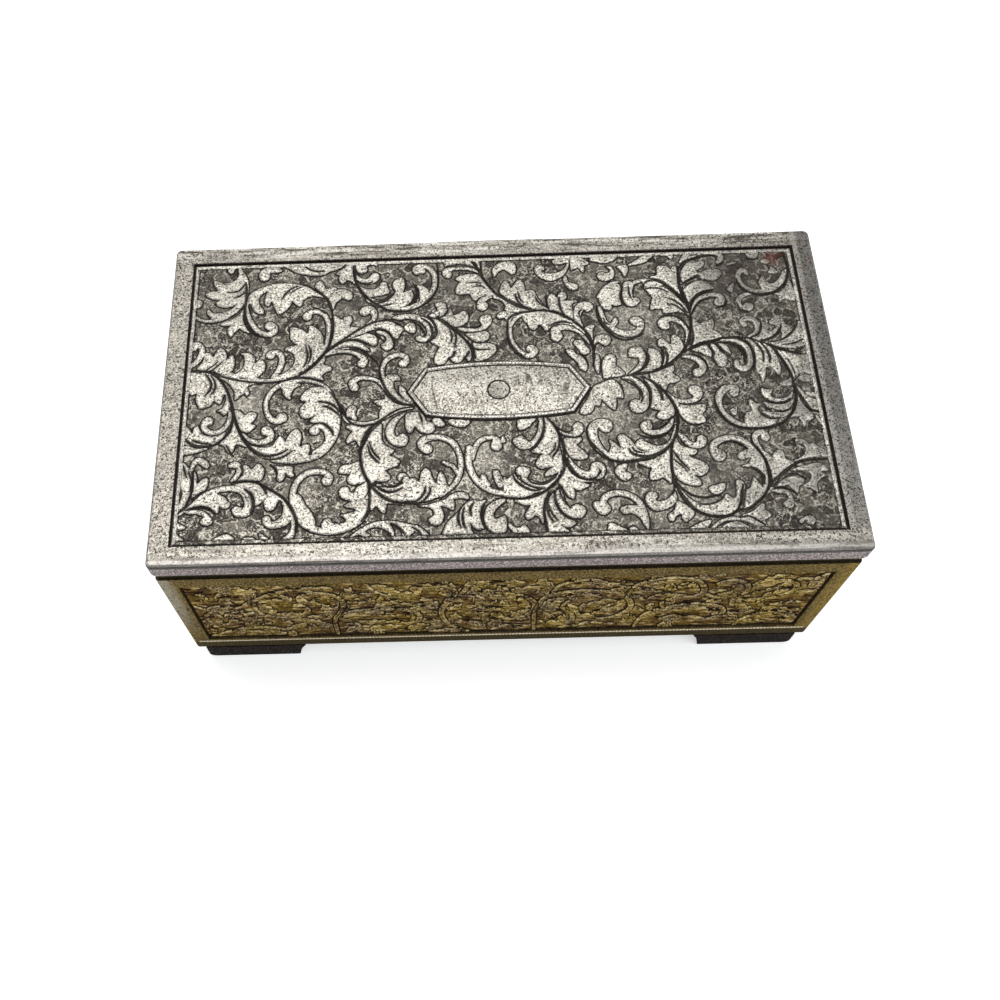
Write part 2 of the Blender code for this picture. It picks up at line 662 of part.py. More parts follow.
def lid_shell():
    """Cast lid: flat border, sunk panel, raised cartouche, hollow underside, knuckle."""
    half_x, half_y = LID_LENGTH / 2, LID_WIDTH / 2
    lid = block((-half_x, CASE_Y - half_y, LID_BOTTOM), (half_x, CASE_Y + half_y, LID_TOP))
    round_edges(lid, LID_CORNER_ROUND, 3, lambda mid, along: abs(along.z) > 0.9)
    round_edges(lid, LID_UNDER_ROUND, 3,
                lambda mid, along: mid.z < LID_BOTTOM + ON_FACE)
    round_edges(lid, LID_EDGE_BEVEL, 1,
                lambda mid, along: mid.z > LID_TOP - ON_FACE)
    cut(lid, block((-half_x + LID_BORDER, CASE_Y - half_y + LID_BORDER, LID_TOP - LID_PANEL_DEPTH),
                   (half_x - LID_BORDER, CASE_Y + half_y - LID_BORDER, LID_TOP + CUT_PAST)))
    cut(lid, block((-half_x + LID_SIDE, CASE_Y - half_y + LID_SIDE, LID_BOTTOM - CUT_PAST),
                   (half_x - LID_SIDE, CASE_Y + half_y - LID_SIDE, LID_CEILING)))
    panel_z = LID_TOP - LID_PANEL_DEPTH
    centre_y = CASE_Y + CARTOUCHE_Y
    plate_z = panel_z + CARTOUCHE_LIFT
    join(lid, prism([cartouche_outline(0.0)], CARTOUCHE_LIFT * 2, "XY", (0, centre_y, panel_z)))
    cut(lid, prism([cartouche_outline(CARTOUCHE_RIM)], CARTOUCHE_SINK * 2, "XY",
                   (0, centre_y, plate_z)))
    cut(lid, rod((0, centre_y, plate_z - 2 * CARTOUCHE_SINK), (0, 0, 1), CUT_PAST,
                 DIMPLE_RADIUS, 20))
    join(lid, block((-LID_KNUCKLE_HALF, CASE_Y + half_y - HINGE_WEB_ROOT, LID_BOTTOM + LID_WEB_LOW),
                    (LID_KNUCKLE_HALF, HINGE_Y, LID_BOTTOM + LID_WEB_HIGH)))
    join(lid, hinge_knuckle(-LID_KNUCKLE_HALF, LID_KNUCKLE_HALF))
    cut(lid, hinge_bore())
    return finish(lid, "lid_shell", cast_metal(), (0, HINGE_Y, HINGE_Z))


def hinge_pin():
    half = LID_KNUCKLE_HALF + CASE_KNUCKLE_LENGTH
    pin = rod((-half, HINGE_Y, HINGE_Z), (1, 0, 0), 2 * half, HINGE_PIN_RADIUS, 14)
    return finish(pin, "hinge_pin", steel())


def foot_outline(length):
    """Side view of a bracket foot, from its outer top corner round to its heel."""
    height = FOOT_HEIGHT - GAP
    outline = [(0.0, height)]
    toe_steps = 4
    for k in range(toe_steps + 1):
        angle = math.pi + k / toe_steps * math.pi / 2
        outline.append((FOOT_TOE_ROUND * (1 + math.cos(angle)),
                        FOOT_TOE_ROUND * (1 + math.sin(angle))))
    heel = length - FOOT_HEEL_RUN
    outline.append((heel, 0.0))
    heel_steps = 5
    for k in range(1, heel_steps + 1):
        share = k / heel_steps
        rise = height * (0.85 * share + 0.15 * share ** 3)
        run = FOOT_HEEL_RUN * (0.55 * share + 0.45 * share ** 5)
        outline.append((heel + run, rise))
    return outline


def bracket_foot(name, sign_x, sign_y):
    """L-shaped corner foot, soldered under one corner of the case."""
    corner_x = sign_x * (CASE_LENGTH / 2 - FOOT_INSET)
    corner_y = CASE_Y + sign_y * (CASE_WIDTH / 2 - FOOT_SETBACK)
    along_x = [(corner_x - sign_x * u, v) for u, v in foot_outline(FOOT_LENGTH)]
    along_y = [(corner_y - sign_y * u, v) for u, v in foot_outline(FOOT_RETURN)]
    foot = prism([along_x], FOOT_THICKNESS, "XZ",
                 (0, corner_y - sign_y * FOOT_THICKNESS / 2, 0))
    join(foot, prism([along_y], FOOT_THICKNESS, "YZ",
                     (corner_x - sign_x * FOOT_THICKNESS / 2, 0, 0)))
    return finish(foot, name, dark_cast_metal())


def base_felt():
    """Felt sheet under the floor, inside the feet, with holes for the key and the screws."""
    half_x = CASE_LENGTH / 2 - FOOT_INSET - FOOT_THICKNESS - FELT_MARGIN
    half_y = CASE_WIDTH / 2 - FOOT_SETBACK - FOOT_THICKNESS - FELT_MARGIN
    top = FOOT_HEIGHT - GAP
    sheet = block((-half_x, CASE_Y - half_y, top - FELT_THICKNESS), (half_x, CASE_Y + half_y, top))
    cut(sheet, drill(KEY_X, KEY_Y, top - FELT_THICKNESS, top, CUP_RADIUS + CUP_WALL, 32))
    for x, y in bed_screw_places():
        cut(sheet, drill(x, y, top - FELT_THICKNESS, top, BED_SCREW_HEAD_RADIUS + GAP, 14))
    return finish(sheet, "base_felt", felt())


def key_cup():
    """Spun recess cup for the winding key, flanged on the floor."""
    outer = CUP_RADIUS + CUP_WALL
    roof = FOOT_HEIGHT + CUP_DEPTH
    hole = WINDING_ARBOR_RADIUS + RUNNING_GAP
    flange_low = FLOOR_TOP + GAP
    profile = [(hole, roof + CUP_ROOF), (outer, roof + CUP_ROOF),
               (outer, flange_low + CUP_WALL), (outer + CUP_FLANGE, flange_low + CUP_WALL),
               (outer + CUP_FLANGE, flange_low), (outer, flange_low), (outer, FOOT_HEIGHT),
               (CUP_RADIUS, FOOT_HEIGHT), (CUP_RADIUS, roof), (hole, roof)]
    cup = turned(profile, 32, (KEY_X, KEY_Y, 0))
    return finish(cup, "key_cup", brass())


def winding_key():
    """Butterfly key screwed on the lower end of the winding arbor."""
    top = FOOT_HEIGHT + CUP_DEPTH - KEY_TOP_GAP
    wing_z = KEY_BOTTOM + KEY_WING_RADIUS
    hub_low = KEY_BOTTOM + KEY_HUB_LIFT
    key = rod((KEY_X, KEY_Y, hub_low), (0, 0, 1), top - hub_low, KEY_HUB_RADIUS, 16)
    for side in (-1, 1):
        x = KEY_X + side * KEY_WING_OFFSET
        wing = rod((x, KEY_Y - KEY_THICKNESS / 2, wing_z), (0, 1, 0), KEY_THICKNESS,
                   KEY_WING_RADIUS, 20)
        cut(wing, rod((x + side * KEY_HOLE_SHIFT, KEY_Y - KEY_THICKNESS, wing_z), (0, 1, 0),
                      2 * KEY_THICKNESS, KEY_WING_HOLE, 14))
        join(key, wing)
    socket_low = WINDING_ARBOR_BOTTOM - GAP
    cut(key, rod((KEY_X, KEY_Y, socket_low), (0, 0, 1), top - socket_low + CUT_PAST,
                 WINDING_ARBOR_RADIUS + GAP, 16))
    return finish(key, "winding_key", brass(), (KEY_X, KEY_Y, FOOT_HEIGHT))


def winding_arbor():
    """Shaft from the key up through the drum to the bridge."""
    arbor = rod((KEY_X, KEY_Y, WINDING_ARBOR_BOTTOM), (0, 0, 1),
                BRIDGE_TOP - WINDING_ARBOR_BOTTOM, WINDING_ARBOR_RADIUS, 16)
    return finish(arbor, "winding_arbor", steel(), (KEY_X, KEY_Y, BED_TOP))


def bearing_post(y):
    """Upright with a rounded top, bored for the cylinder arbor."""
    half = POST_WIDTH / 2
    arc_steps = 8
    root = BED_TOP - AXIS_Z - LAP
    outline = [(-half, root), (half, root)]
    for k in range(arc_steps + 1):
        angle = k / arc_steps * math.pi
        outline.append((half * math.cos(angle), half * math.sin(angle) * POST_TOP_SHARE))
    bore = circle((0, 0), CYLINDER_ARBOR_RADIUS + RUNNING_GAP, 16)
    return prism([outline, bore], POST_THICKNESS, "XZ", (AXIS_X, y, AXIS_Z))


def bedplate():
    """Cast bed with comb seat and two bearing posts."""
    bed = block((BED_LEFT, BED_FRONT, BED_BOTTOM), (BED_RIGHT, BED_REAR, BED_TOP))
    round_edges(bed, BED_CORNER, 2, lambda mid, along: abs(along.z) > 0.9)
    seat_low = COMB_BACK_X - COMB_BACK + AIR
    join(bed, block((seat_low, COMB_MID_Y - COMB_HALF, BED_TOP - LAP),
                    (COMB_BACK_X, COMB_MID_Y + COMB_HALF, COMB_UNDERSIDE - GAP)))
    for y in (FRONT_POST_Y, REAR_POST_Y):
        join(bed, bearing_post(y))
    cut(bed, drill(KEY_X, KEY_Y, BED_BOTTOM, BED_TOP, WINDING_ARBOR_RADIUS + RUNNING_GAP, 16))
    for x, y in bed_screw_places():
        cut(bed, drill(x, y, BED_BOTTOM, BED_TOP, BED_SCREW_RADIUS + GAP))
    for x, y in comb_screw_places():
        cut(bed, rod((x, y, BED_TOP + AIR / 2), (0, 0, 1), COMB_UNDERSIDE - BED_TOP,
                     SMALL_SCREW_RADIUS + GAP, 10))
    for x in bridge_screw_places():
        cut(bed, drill(x, KEY_Y, BED_BOTTOM, BED_TOP, SMALL_SCREW_RADIUS + GAP))
    x, y = governor_screw_place()
    cut(bed, drill(x, y, BED_BOTTOM, BED_TOP, SMALL_SCREW_RADIUS + GAP))
    return finish(bed, "bedplate", zinc())


def bed_screws():
    """Four screws up through the floor bosses into the bedplate."""
    for number, (x, y) in enumerate(bed_screw_places(), start=1):
        shaft = BED_BOTTOM + BED_THICKNESS * 0.8 - FOOT_HEIGHT - BED_SCREW_HEAD
        screw = machine_screw((x, y, 0), BED_SCREW_HEAD_RADIUS, BED_SCREW_HEAD,
                              BED_SCREW_RADIUS, shaft, BED_SCREW_SLOT)
        screw.data.transform(Matrix.Translation((x, y, FOOT_HEIGHT + BED_SCREW_HEAD))
                             @ Matrix.Rotation(math.pi, 4, "X") @ Matrix.Translation((-x, -y, 0)))
        finish(screw, f"bed_screw_{number}", steel())


def comb_screw_places():
    x = COMB_BACK_X - COMB_BACK / 2 + AIR
    reach = COMB_HALF * COMB_SCREW_SHARE
    return [(x, COMB_MID_Y - reach), (x, COMB_MID_Y + reach)]


def comb():
    """Tuned comb: eighteen tapered teeth, long in the bass, on a thick back."""
    outline = [(COMB_BACK_X, COMB_MID_Y + COMB_HALF), (COMB_BACK_X, COMB_MID_Y - COMB_HALF)]
    for note in range(NOTES):
        y = COMB_MID_Y - COMB_HALF + (note + 0.5) * COMB_PITCH
        length = COMB_BASS_LENGTH + (COMB_TREBLE_LENGTH - COMB_BASS_LENGTH) * note / (NOTES - 1)
        root_x = COMB_TIP_X + length
        edge = COMB_PITCH / 2 if note == 0 else COMB_ROOT_WIDTH / 2
        outline.append((root_x, y - edge))
        outline.append((COMB_TIP_X, y - COMB_TIP_WIDTH / 2))
        outline.append((COMB_TIP_X, y + COMB_TIP_WIDTH / 2))
        edge = COMB_PITCH / 2 if note == NOTES - 1 else COMB_ROOT_WIDTH / 2
        outline.append((root_x, y + edge))
    steel_comb = prism([outline], COMB_THICKNESS, "XY", (0, 0, AXIS_Z))
    join(steel_comb, block((COMB_BACK_X - COMB_BACK + LAP, COMB_MID_Y - COMB_HALF + INSET,
                            COMB_UNDERSIDE),
                           (COMB_BACK_X - INSET, COMB_MID_Y + COMB_HALF - INSET, AXIS_Z)))
    for x, y in comb_screw_places():
        cut(steel_comb, drill(x, y, COMB_UNDERSIDE, AXIS_Z, SMALL_SCREW_RADIUS + GAP))
    return finish(steel_comb, "comb", steel())


def small_screws():
    """Screws for the comb, the spring bridge and the governor frame."""
    head_seat = AXIS_Z + COMB_THICKNESS / 2 + GAP
    for number, (x, y) in enumerate(comb_screw_places(), start=1):
        screw = machine_screw((x, y, head_seat), SMALL_SCREW_HEAD_RADIUS, SMALL_SCREW_HEAD,
                              SMALL_SCREW_RADIUS, head_seat - BED_TOP - AIR, SMALL_SCREW_SLOT)
        finish(screw, f"comb_screw_{number}", blued_steel())
    for number, x in enumerate(bridge_screw_places(), start=1):
        seat = BRIDGE_TOP + GAP
        screw = machine_screw((x, KEY_Y, seat), SMALL_SCREW_HEAD_RADIUS, SMALL_SCREW_HEAD,
                              SMALL_SCREW_RADIUS, seat - BED_BOTTOM - AIR, SMALL_SCREW_SLOT)
        finish(screw, f"bridge_screw_{number}", steel())
    x, y = governor_screw_place()
    seat = GOVERNOR_BASE + GOVERNOR_PLATE + GAP
    screw = machine_screw((x, y, seat), SMALL_SCREW_HEAD_RADIUS, SMALL_SCREW_HEAD,
                          SMALL_SCREW_RADIUS, seat - BED_BOTTOM - AIR, SMALL_SCREW_SLOT)
    finish(screw, "governor_screw", steel())


def bridge_screw_places():
    return [KEY_X - BRIDGE_LEG_X, KEY_X + BRIDGE_LEG_X]


def spring_bridge():
    """Bridge over the drum: round plate and bar on two legs."""
    half = BRIDGE_LEG_X + BRIDGE_LEG / 2
    bridge = block((KEY_X - half, KEY_Y - BRIDGE_WIDTH / 2, BRIDGE_BOTTOM),
                   (KEY_X + half, KEY_Y + BRIDGE_WIDTH / 2, BRIDGE_TOP))
    for side in (-1, 1):
        middle = KEY_X + side * BRIDGE_LEG_X
        leg_half_x = BRIDGE_LEG / 2 - INSET
        leg_half_y = BRIDGE_WIDTH / 2 - INSET
        join(bridge, block((middle - leg_half_x, KEY_Y - leg_half_y, BED_TOP + GAP),
                           (middle + leg_half_x, KEY_Y + leg_half_y,
                            BRIDGE_BOTTOM + BRIDGE_THICKNESS / 2)))
    for x in bridge_screw_places():
        cut(bridge, drill(x, KEY_Y, BED_TOP, BRIDGE_TOP, SMALL_SCREW_RADIUS + GAP))
    rim = DRUM_RADIUS + DOME_EDGE
    dome = [(0.0, BRIDGE_TOP + DOME_RISE), (rim * 0.45, BRIDGE_TOP + DOME_RISE * 0.8),
            (rim * 0.85, BRIDGE_TOP + DOME_RISE * 0.2), (rim, BRIDGE_TOP - DOME_RISE),
            (rim, BRIDGE_BOTTOM + INSET), (0.0, BRIDGE_BOTTOM + INSET)]
    join(bridge, turned(dome, 32, (KEY_X, KEY_Y, 0)))
    cut(bridge, drill(KEY_X, KEY_Y, BRIDGE_BOTTOM, BRIDGE_TOP + DOME_RISE,
                      WINDING_ARBOR_RADIUS + RUNNING_GAP, 16))
    return finish(bridge, "spring_bridge", zinc())


def great_wheel():
    """Spring drum with a flange that carries the crown teeth."""
    bore = WINDING_ARBOR_RADIUS + RUNNING_GAP
    inner = DRUM_RADIUS - DRUM_WALL
    floor = DRUM_BOTTOM + DRUM_FLOOR
    profile = [(DRUM_RADIUS, DRUM_TOP), (DRUM_RADIUS, FLANGE_TOP), (FLANGE_RADIUS, FLANGE_TOP),
               (FLANGE_RADIUS, FLANGE_TOP - FLANGE_THICKNESS),
               (DRUM_RADIUS, FLANGE_TOP - FLANGE_THICKNESS), (DRUM_RADIUS, DRUM_BOTTOM),
               (bore, DRUM_BOTTOM), (bore, floor), (inner, floor), (inner, DRUM_TOP)]
    wheel = turned(profile, GREAT_TEETH, (KEY_X, KEY_Y, 0))
    tooth_low = FLANGE_TOP - CROWN_TOOTH_ROOT
    tooth_high = CROWN_PITCH_Z + CROWN_ADDENDUM
    pitch = math.pi * GREAT_MODULE
    teeth = bmesh.new()
    for k in range(GREAT_TEETH):
        angle = math.pi / 2 + k * 2 * math.pi / GREAT_TEETH
        made = bmesh.ops.create_cone(teeth, cap_ends=True, segments=4, radius1=0.5,
                                     radius2=0.24, depth=1.0)
        shape = (Matrix.Translation((KEY_X, KEY_Y, (tooth_low + tooth_high) / 2))
                 @ Matrix.Rotation(angle, 4, "Z")
                 @ Matrix.Translation((GREAT_RADIUS, 0, 0))
                 @ Matrix.Diagonal((GREAT_FACE * 1.28, pitch * 0.62, tooth_high - tooth_low, 1))
                 @ Matrix.Rotation(math.pi / 4, 4, "Z") @ Matrix.Diagonal((1.28, 1.28, 1, 1)))
        bmesh.ops.transform(teeth, matrix=shape, verts=made["verts"])
    join(wheel, from_bmesh(teeth, "crown_teeth"))
    return finish(wheel, "great_wheel", brass(), (KEY_X, KEY_Y, CROWN_PITCH_Z))


def mainspring():
    """Flat spiral spring lying in the drum, as one strip on edge."""
    start = WINDING_ARBOR_RADIUS + 3 * RUNNING_GAP
    end = DRUM_RADIUS - DRUM_WALL - 2 * RUNNING_GAP
    steps = SPRING_TURNS * 12
    outer, inner = [], []
    for k in range(steps + 1):
        angle = 2 * math.pi * k / 12
        radius = start + (end - start) * k / steps
        for side, edge in ((1, outer), (-1, inner)):
            reach = radius + side * SPRING_STRIP / 2
            edge.append((reach * math.cos(angle), reach * math.sin(angle)))
    low = DRUM_BOTTOM + DRUM_FLOOR + GAP
    high = DRUM_TOP - GAP
    spring = prism([outer + inner[::-1]], high - low, "XY", (KEY_X, KEY_Y, (low + high) / 2))
    return finish(spring, "mainspring", blued_steel(), (KEY_X, KEY_Y, CROWN_PITCH_Z))


def cylinder_arbor():
    """Arbor with the pinion that the great wheel drives."""
    front = PINION_FRONT - INSET
    arbor = rod((AXIS_X, front, AXIS_Z), (0, 1, 0),
                REAR_POST_Y + POST_THICKNESS / 2 + ARBOR_END - front, CYLINDER_ARBOR_RADIUS, 16)
    half_pitch = math.pi / CYLINDER_PINION_TEETH
    outline = gear_outline(CYLINDER_PINION_TEETH, GREAT_MODULE, -math.pi / 2 + half_pitch,
                           addendum=0.70, dedendum=0.95, width=PINION_WIDTH_SHARE)
    join(arbor, prism([outline], PINION_BACK - PINION_FRONT, "XZ",
                      (AXIS_X, (PINION_FRONT + PINION_BACK) / 2, AXIS_Z)))
    return finish(arbor, "cylinder_arbor", steel(), (AXIS_X, PINION_FRONT, AXIS_Z))


def pin_angle(note, pin):
    """Place of one pin round the cylinder, spread by the golden angle."""
    return 2.39996 * (note * PINS_PER_NOTE + pin) + 0.35 * pin


def pinned_cylinder():
    """Brass cylinder with a row of pins for each note."""
    barrel = rod((AXIS_X, CYLINDER_FRONT, AXIS_Z), (0, 1, 0), CYLINDER_LENGTH, CYLINDER_RADIUS, 36)
    pins = bmesh.new()
    for note in range(NOTES):
        y = COMB_MID_Y - COMB_HALF + (note + 0.5) * COMB_PITCH
        for pin in range(PINS_PER_NOTE):
            made = bmesh.ops.create_cone(pins, cap_ends=True, segments=5, radius1=PIN_RADIUS,
                                         radius2=PIN_RADIUS, depth=PIN_HEIGHT * 2)
            shape = (Matrix.Translation((AXIS_X, y, AXIS_Z))
                     @ Matrix.Rotation(pin_angle(note, pin), 4, "Y")
                     @ Matrix.Translation((0, 0, CYLINDER_RADIUS)))
            bmesh.ops.transform(pins, matrix=shape, verts=made["verts"])
    join(barrel, from_bmesh(pins, "pins"))
    cut(barrel, rod((AXIS_X, CYLINDER_FRONT - CUT_PAST, AXIS_Z), (0, 1, 0),
                    CYLINDER_LENGTH + 2 * CUT_PAST, CYLINDER_ARBOR_RADIUS + GAP, 16))
    return finish(barrel, "pinned_cylinder", brass(), (AXIS_X, CYLINDER_FRONT, AXIS_Z))


def cylinder_gear():
    """Spur gear on the cylinder arbor that drives the governor."""
    outline = gear_outline(CYLINDER_GEAR_TEETH, TRAIN_MODULE, math.pi)
    bore = circle((0, 0), CYLINDER_ARBOR_RADIUS + GAP, 16)
    gear = prism([outline, bore], GEAR_THICKNESS, "XZ", (AXIS_X, GEAR_Y, AXIS_Z))
    return finish(gear, "cylinder_gear", brass(), (AXIS_X, GEAR_Y, AXIS_Z))


def second_wheel():
    """Second arbor: pinion in mesh with the cylinder gear, and the worm wheel."""
    front = GOVERNOR_FRONT_Y - GOVERNOR_PLATE / 2
    back = GOVERNOR_REAR_Y + GOVERNOR_PLATE / 2
    arbor = rod((SECOND_X, front, AXIS_Z), (0, 1, 0), back - front, SECOND_ARBOR_RADIUS, 12)
    half_pitch = math.pi / SECOND_PINION_TEETH
    pinion = gear_outline(SECOND_PINION_TEETH, TRAIN_MODULE, half_pitch,
                          width=TRAIN_GEAR_WIDTH_SHARE)
    join(arbor, prism([pinion], GEAR_THICKNESS + 2 * MESH_GAP, "XZ", (SECOND_X, GEAR_Y, AXIS_Z)))
    wheel = gear_outline(WORM_WHEEL_TEETH, WORM_MODULE, math.pi, addendum=0.5, dedendum=1.1,
                         width=0.32)
    join(arbor, prism([wheel], WHEEL_FACE, "XZ", (SECOND_X, WORM_Y, AXIS_Z)))
    return finish(arbor, "second_wheel", brass(), (SECOND_X, WORM_Y, AXIS_Z))


def worm_shaft():
    """Vertical shaft with a single-start thread that the wheel turns fast."""
    bottom = GOVERNOR_BASE + GAP
    top = FAN_BOTTOM + FAN_HEIGHT + GAP
    shaft = rod((WORM_X, WORM_Y, bottom), (0, 0, 1), top - bottom, WORM_SHAFT_RADIUS, 12)
    core_half = (WORM_TURNS / 2 + WORM_CORE_RUN_OUT) * WORM_LEAD
    join(shaft, rod((WORM_X, WORM_Y, AXIS_Z - core_half), (0, 0, 1), 2 * core_half,
                    WORM_CORE_RADIUS, 16))
    points_a_turn = 10
    radius = WORM_PITCH_RADIUS - WORM_THREAD_SINK
    thread = []
    for k in range(WORM_TURNS * points_a_turn + 1):
        turns = k / points_a_turn - WORM_TURNS / 2
        angle = 2 * math.pi * turns
        thread.append((WORM_X + radius * math.cos(angle), WORM_Y + radius * math.sin(angle),
                       AXIS_Z + (turns + 0.5) * WORM_LEAD))
    join(shaft, tube(thread, WORM_THREAD_RADIUS, 1))
    return finish(shaft, "worm_shaft", steel(), (WORM_X, WORM_Y, AXIS_Z))


def governor_fan():
    """Butterfly air brake on top of the worm shaft."""
    fan = rod((WORM_X, WORM_Y, FAN_BOTTOM), (0, 0, 1), FAN_HEIGHT, FAN_HUB_RADIUS, 14)
    join(fan, block((WORM_X - FAN_RADIUS, WORM_Y - FAN_THICKNESS / 2, FAN_BOTTOM + INSET),
                    (WORM_X + FAN_RADIUS, WORM_Y + FAN_THICKNESS / 2,
                     FAN_BOTTOM + FAN_HEIGHT - INSET)))
    cut(fan, drill(WORM_X, WORM_Y, FAN_BOTTOM, FAN_BOTTOM + FAN_HEIGHT,
                   WORM_SHAFT_RADIUS + GAP, 12))
    return finish(fan, "governor_fan", brass(), (WORM_X, WORM_Y, FAN_BOTTOM))


def governor_screw_place():
    edge = GOVERNOR_FRONT_Y + GOVERNOR_PLATE / 2
    return ((WORM_X + SECOND_X) / 2, edge + SMALL_SCREW_HEAD_RADIUS + AIR)


def governor_frame():
    """Bent brass frame: base, two upright plates, top arm and stop-pin ear."""
    top = ARM_BOTTOM + GOVERNOR_PLATE
    half = GOVERNOR_PLATE / 2
    frame = block((GOVERNOR_LEFT, GOVERNOR_FRONT_Y - half, GOVERNOR_BASE),
                  (GOVERNOR_RIGHT, GOVERNOR_REAR_Y + half, GOVERNOR_BASE + GOVERNOR_PLATE))
    join(frame, block((SECOND_X - GOVERNOR_BEARING, GOVERNOR_FRONT_Y - half, GOVERNOR_BASE),
                      (GOVERNOR_RIGHT, GOVERNOR_FRONT_Y + half, AXIS_Z + GOVERNOR_BEARING)))
    join(frame, block((GOVERNOR_LEFT, GOVERNOR_REAR_Y - half, GOVERNOR_BASE),
                      (GOVERNOR_RIGHT, GOVERNOR_REAR_Y + half, top)))
    join(frame, block((GOVERNOR_LEFT, WORM_Y - GOVERNOR_ARM_HALF, ARM_BOTTOM),
                      (WORM_X + GOVERNOR_ARM_REACH, GOVERNOR_REAR_Y + half, top)))
    join(frame, block((GOVERNOR_RIGHT - LAP, STOP_PIN_Y - STOP_EAR_HALF, STOP_EAR_BOTTOM),
                      (STOP_PIN_X + STOP_EAR_END, STOP_PIN_Y + STOP_EAR_HALF, STOP_EAR_TOP)))
    bearing_low = GOVERNOR_FRONT_Y - half - CUT_PAST
    cut(frame, rod((SECOND_X, bearing_low, AXIS_Z), (0, 1, 0),
                   GOVERNOR_REAR_Y + half + CUT_PAST - bearing_low, SECOND_ARBOR_RADIUS + GAP, 12))
    cut(frame, drill(WORM_X, WORM_Y, GOVERNOR_BASE, top, WORM_SHAFT_RADIUS + GAP, 12))
    cut(frame, drill(STOP_PIN_X, STOP_PIN_Y, STOP_EAR_BOTTOM, STOP_EAR_TOP,
                     STOP_PIN_RADIUS + RUNNING_GAP, 12))
    x, y = governor_screw_place()
    cut(frame, drill(x, y, GOVERNOR_BASE, GOVERNOR_BASE + GOVERNOR_PLATE,
                     SMALL_SCREW_RADIUS + GAP))
    return finish(frame, "governor_frame", brass())


def stop_pin():
    """Vertical pin with a collar and a brake arm that reaches towards the fan."""
    pin = rod((STOP_PIN_X, STOP_PIN_Y, STOP_PIN_BOTTOM), (0, 0, 1),
              STOP_PIN_TOP - STOP_PIN_BOTTOM, STOP_PIN_RADIUS, 12)
    join(pin, rod((STOP_PIN_X, STOP_PIN_Y, STOP_COLLAR_BOTTOM), (0, 0, 1), STOP_COLLAR,
                  STOP_COLLAR_RADIUS, 16))
    return finish(pin, "stop_pin", steel(), (STOP_PIN_X, STOP_PIN_Y, STOP_COLLAR_BOTTOM))


def brake_arm():
    """Flat arm clamped on the stop pin, its tip just outside the fan's sweep."""
    reach_x = WORM_X + FAN_RADIUS + GAP
    arm = block((reach_x, STOP_PIN_Y - BRAKE_WIDTH / 2, BRAKE_Z),
                (STOP_PIN_X, STOP_PIN_Y + BRAKE_WIDTH / 2, BRAKE_Z + BRAKE_THICKNESS))
    join(arm, rod((STOP_PIN_X, STOP_PIN_Y, BRAKE_Z), (0, 0, 1), BRAKE_THICKNESS,
                  STOP_COLLAR_RADIUS, 16))
    tip_y = WORM_Y - BRAKE_WIDTH / 2
    join(arm, block((reach_x, tip_y, BRAKE_Z),
                    (reach_x + BRAKE_WIDTH, STOP_PIN_Y, BRAKE_Z + BRAKE_THICKNESS)))
    cut(arm, drill(STOP_PIN_X, STOP_PIN_Y, BRAKE_Z, BRAKE_Z + BRAKE_THICKNESS,
                   STOP_PIN_RADIUS + GAP, 12))
    return finish(arm, "brake_arm", blued_steel(), (STOP_PIN_X, STOP_PIN_Y, BRAKE_Z))


def stop_spring():
    """Coil spring round the stop pin, between the frame's ear and the collar."""
    points_a_turn = 9
    steps = STOP_SPRING_TURNS * points_a_turn
    low = STOP_SPRING_BOTTOM + STOP_WIRE_RADIUS
    climb = STOP_SPRING_HEIGHT - 2 * STOP_WIRE_RADIUS
    points = []
    for k in range(steps + 1):
        angle = 2 * math.pi * k / points_a_turn
        points.append((STOP_PIN_X + STOP_SPRING_RADIUS * math.cos(angle),
                       STOP_PIN_Y + STOP_SPRING_RADIUS * math.sin(angle), low + climb * k / steps))
    gap = least_gap(points, points_a_turn, STOP_WIRE_RADIUS)
    print(f"stop_spring: least gap between turns {gap * 1000:.2f} mm")
    return finish(tube(points, STOP_WIRE_RADIUS, 1), "stop_spring", steel())


def least_gap(points, points_a_turn, radius):
    """Smallest clear distance between wire points more than half a turn apart."""
    least = 1.0
    for i, a in enumerate(points):
        for b in points[i + points_a_turn // 2 + 1:]:
            least = min(least, (Vector(a) - Vector(b)).length - 2 * radius)
    return least


def tray_lining():
    """Velvet-covered card tub that fills the keepsake well."""
    low_x = PARTITION_X + PARTITION_THICKNESS / 2 + GAP
    high_x = INNER_X - GAP
    half_y = INNER_Y - GAP
    low_z = FLOOR_TOP + GAP
    rim = CASE_TOP - TUB_RIM_DROP
    tub = block((low_x, CASE_Y - half_y, low_z), (high_x, CASE_Y + half_y, rim))
    well = block((low_x + TUB_WALL, CASE_Y - half_y + TUB_WALL, low_z + TUB_WALL),
                 (high_x - TUB_WALL, CASE_Y + half_y - TUB_WALL, rim + CUT_PAST))
    round_edges(well, TUB_CORNER, 3, lambda mid, along: mid.z < rim)
    cut(tub, well)
    return finish(tub, "tray_lining", velvet())


def partition():
    """Card wall between the well and the movement."""
    half_y = INNER_Y - GAP
    wall = block((PARTITION_X - PARTITION_THICKNESS / 2, CASE_Y - half_y, FLOOR_TOP + GAP),
                 (PARTITION_X + PARTITION_THICKNESS / 2, CASE_Y + half_y, COVER_TOP))
    return finish(wall, "partition", card())


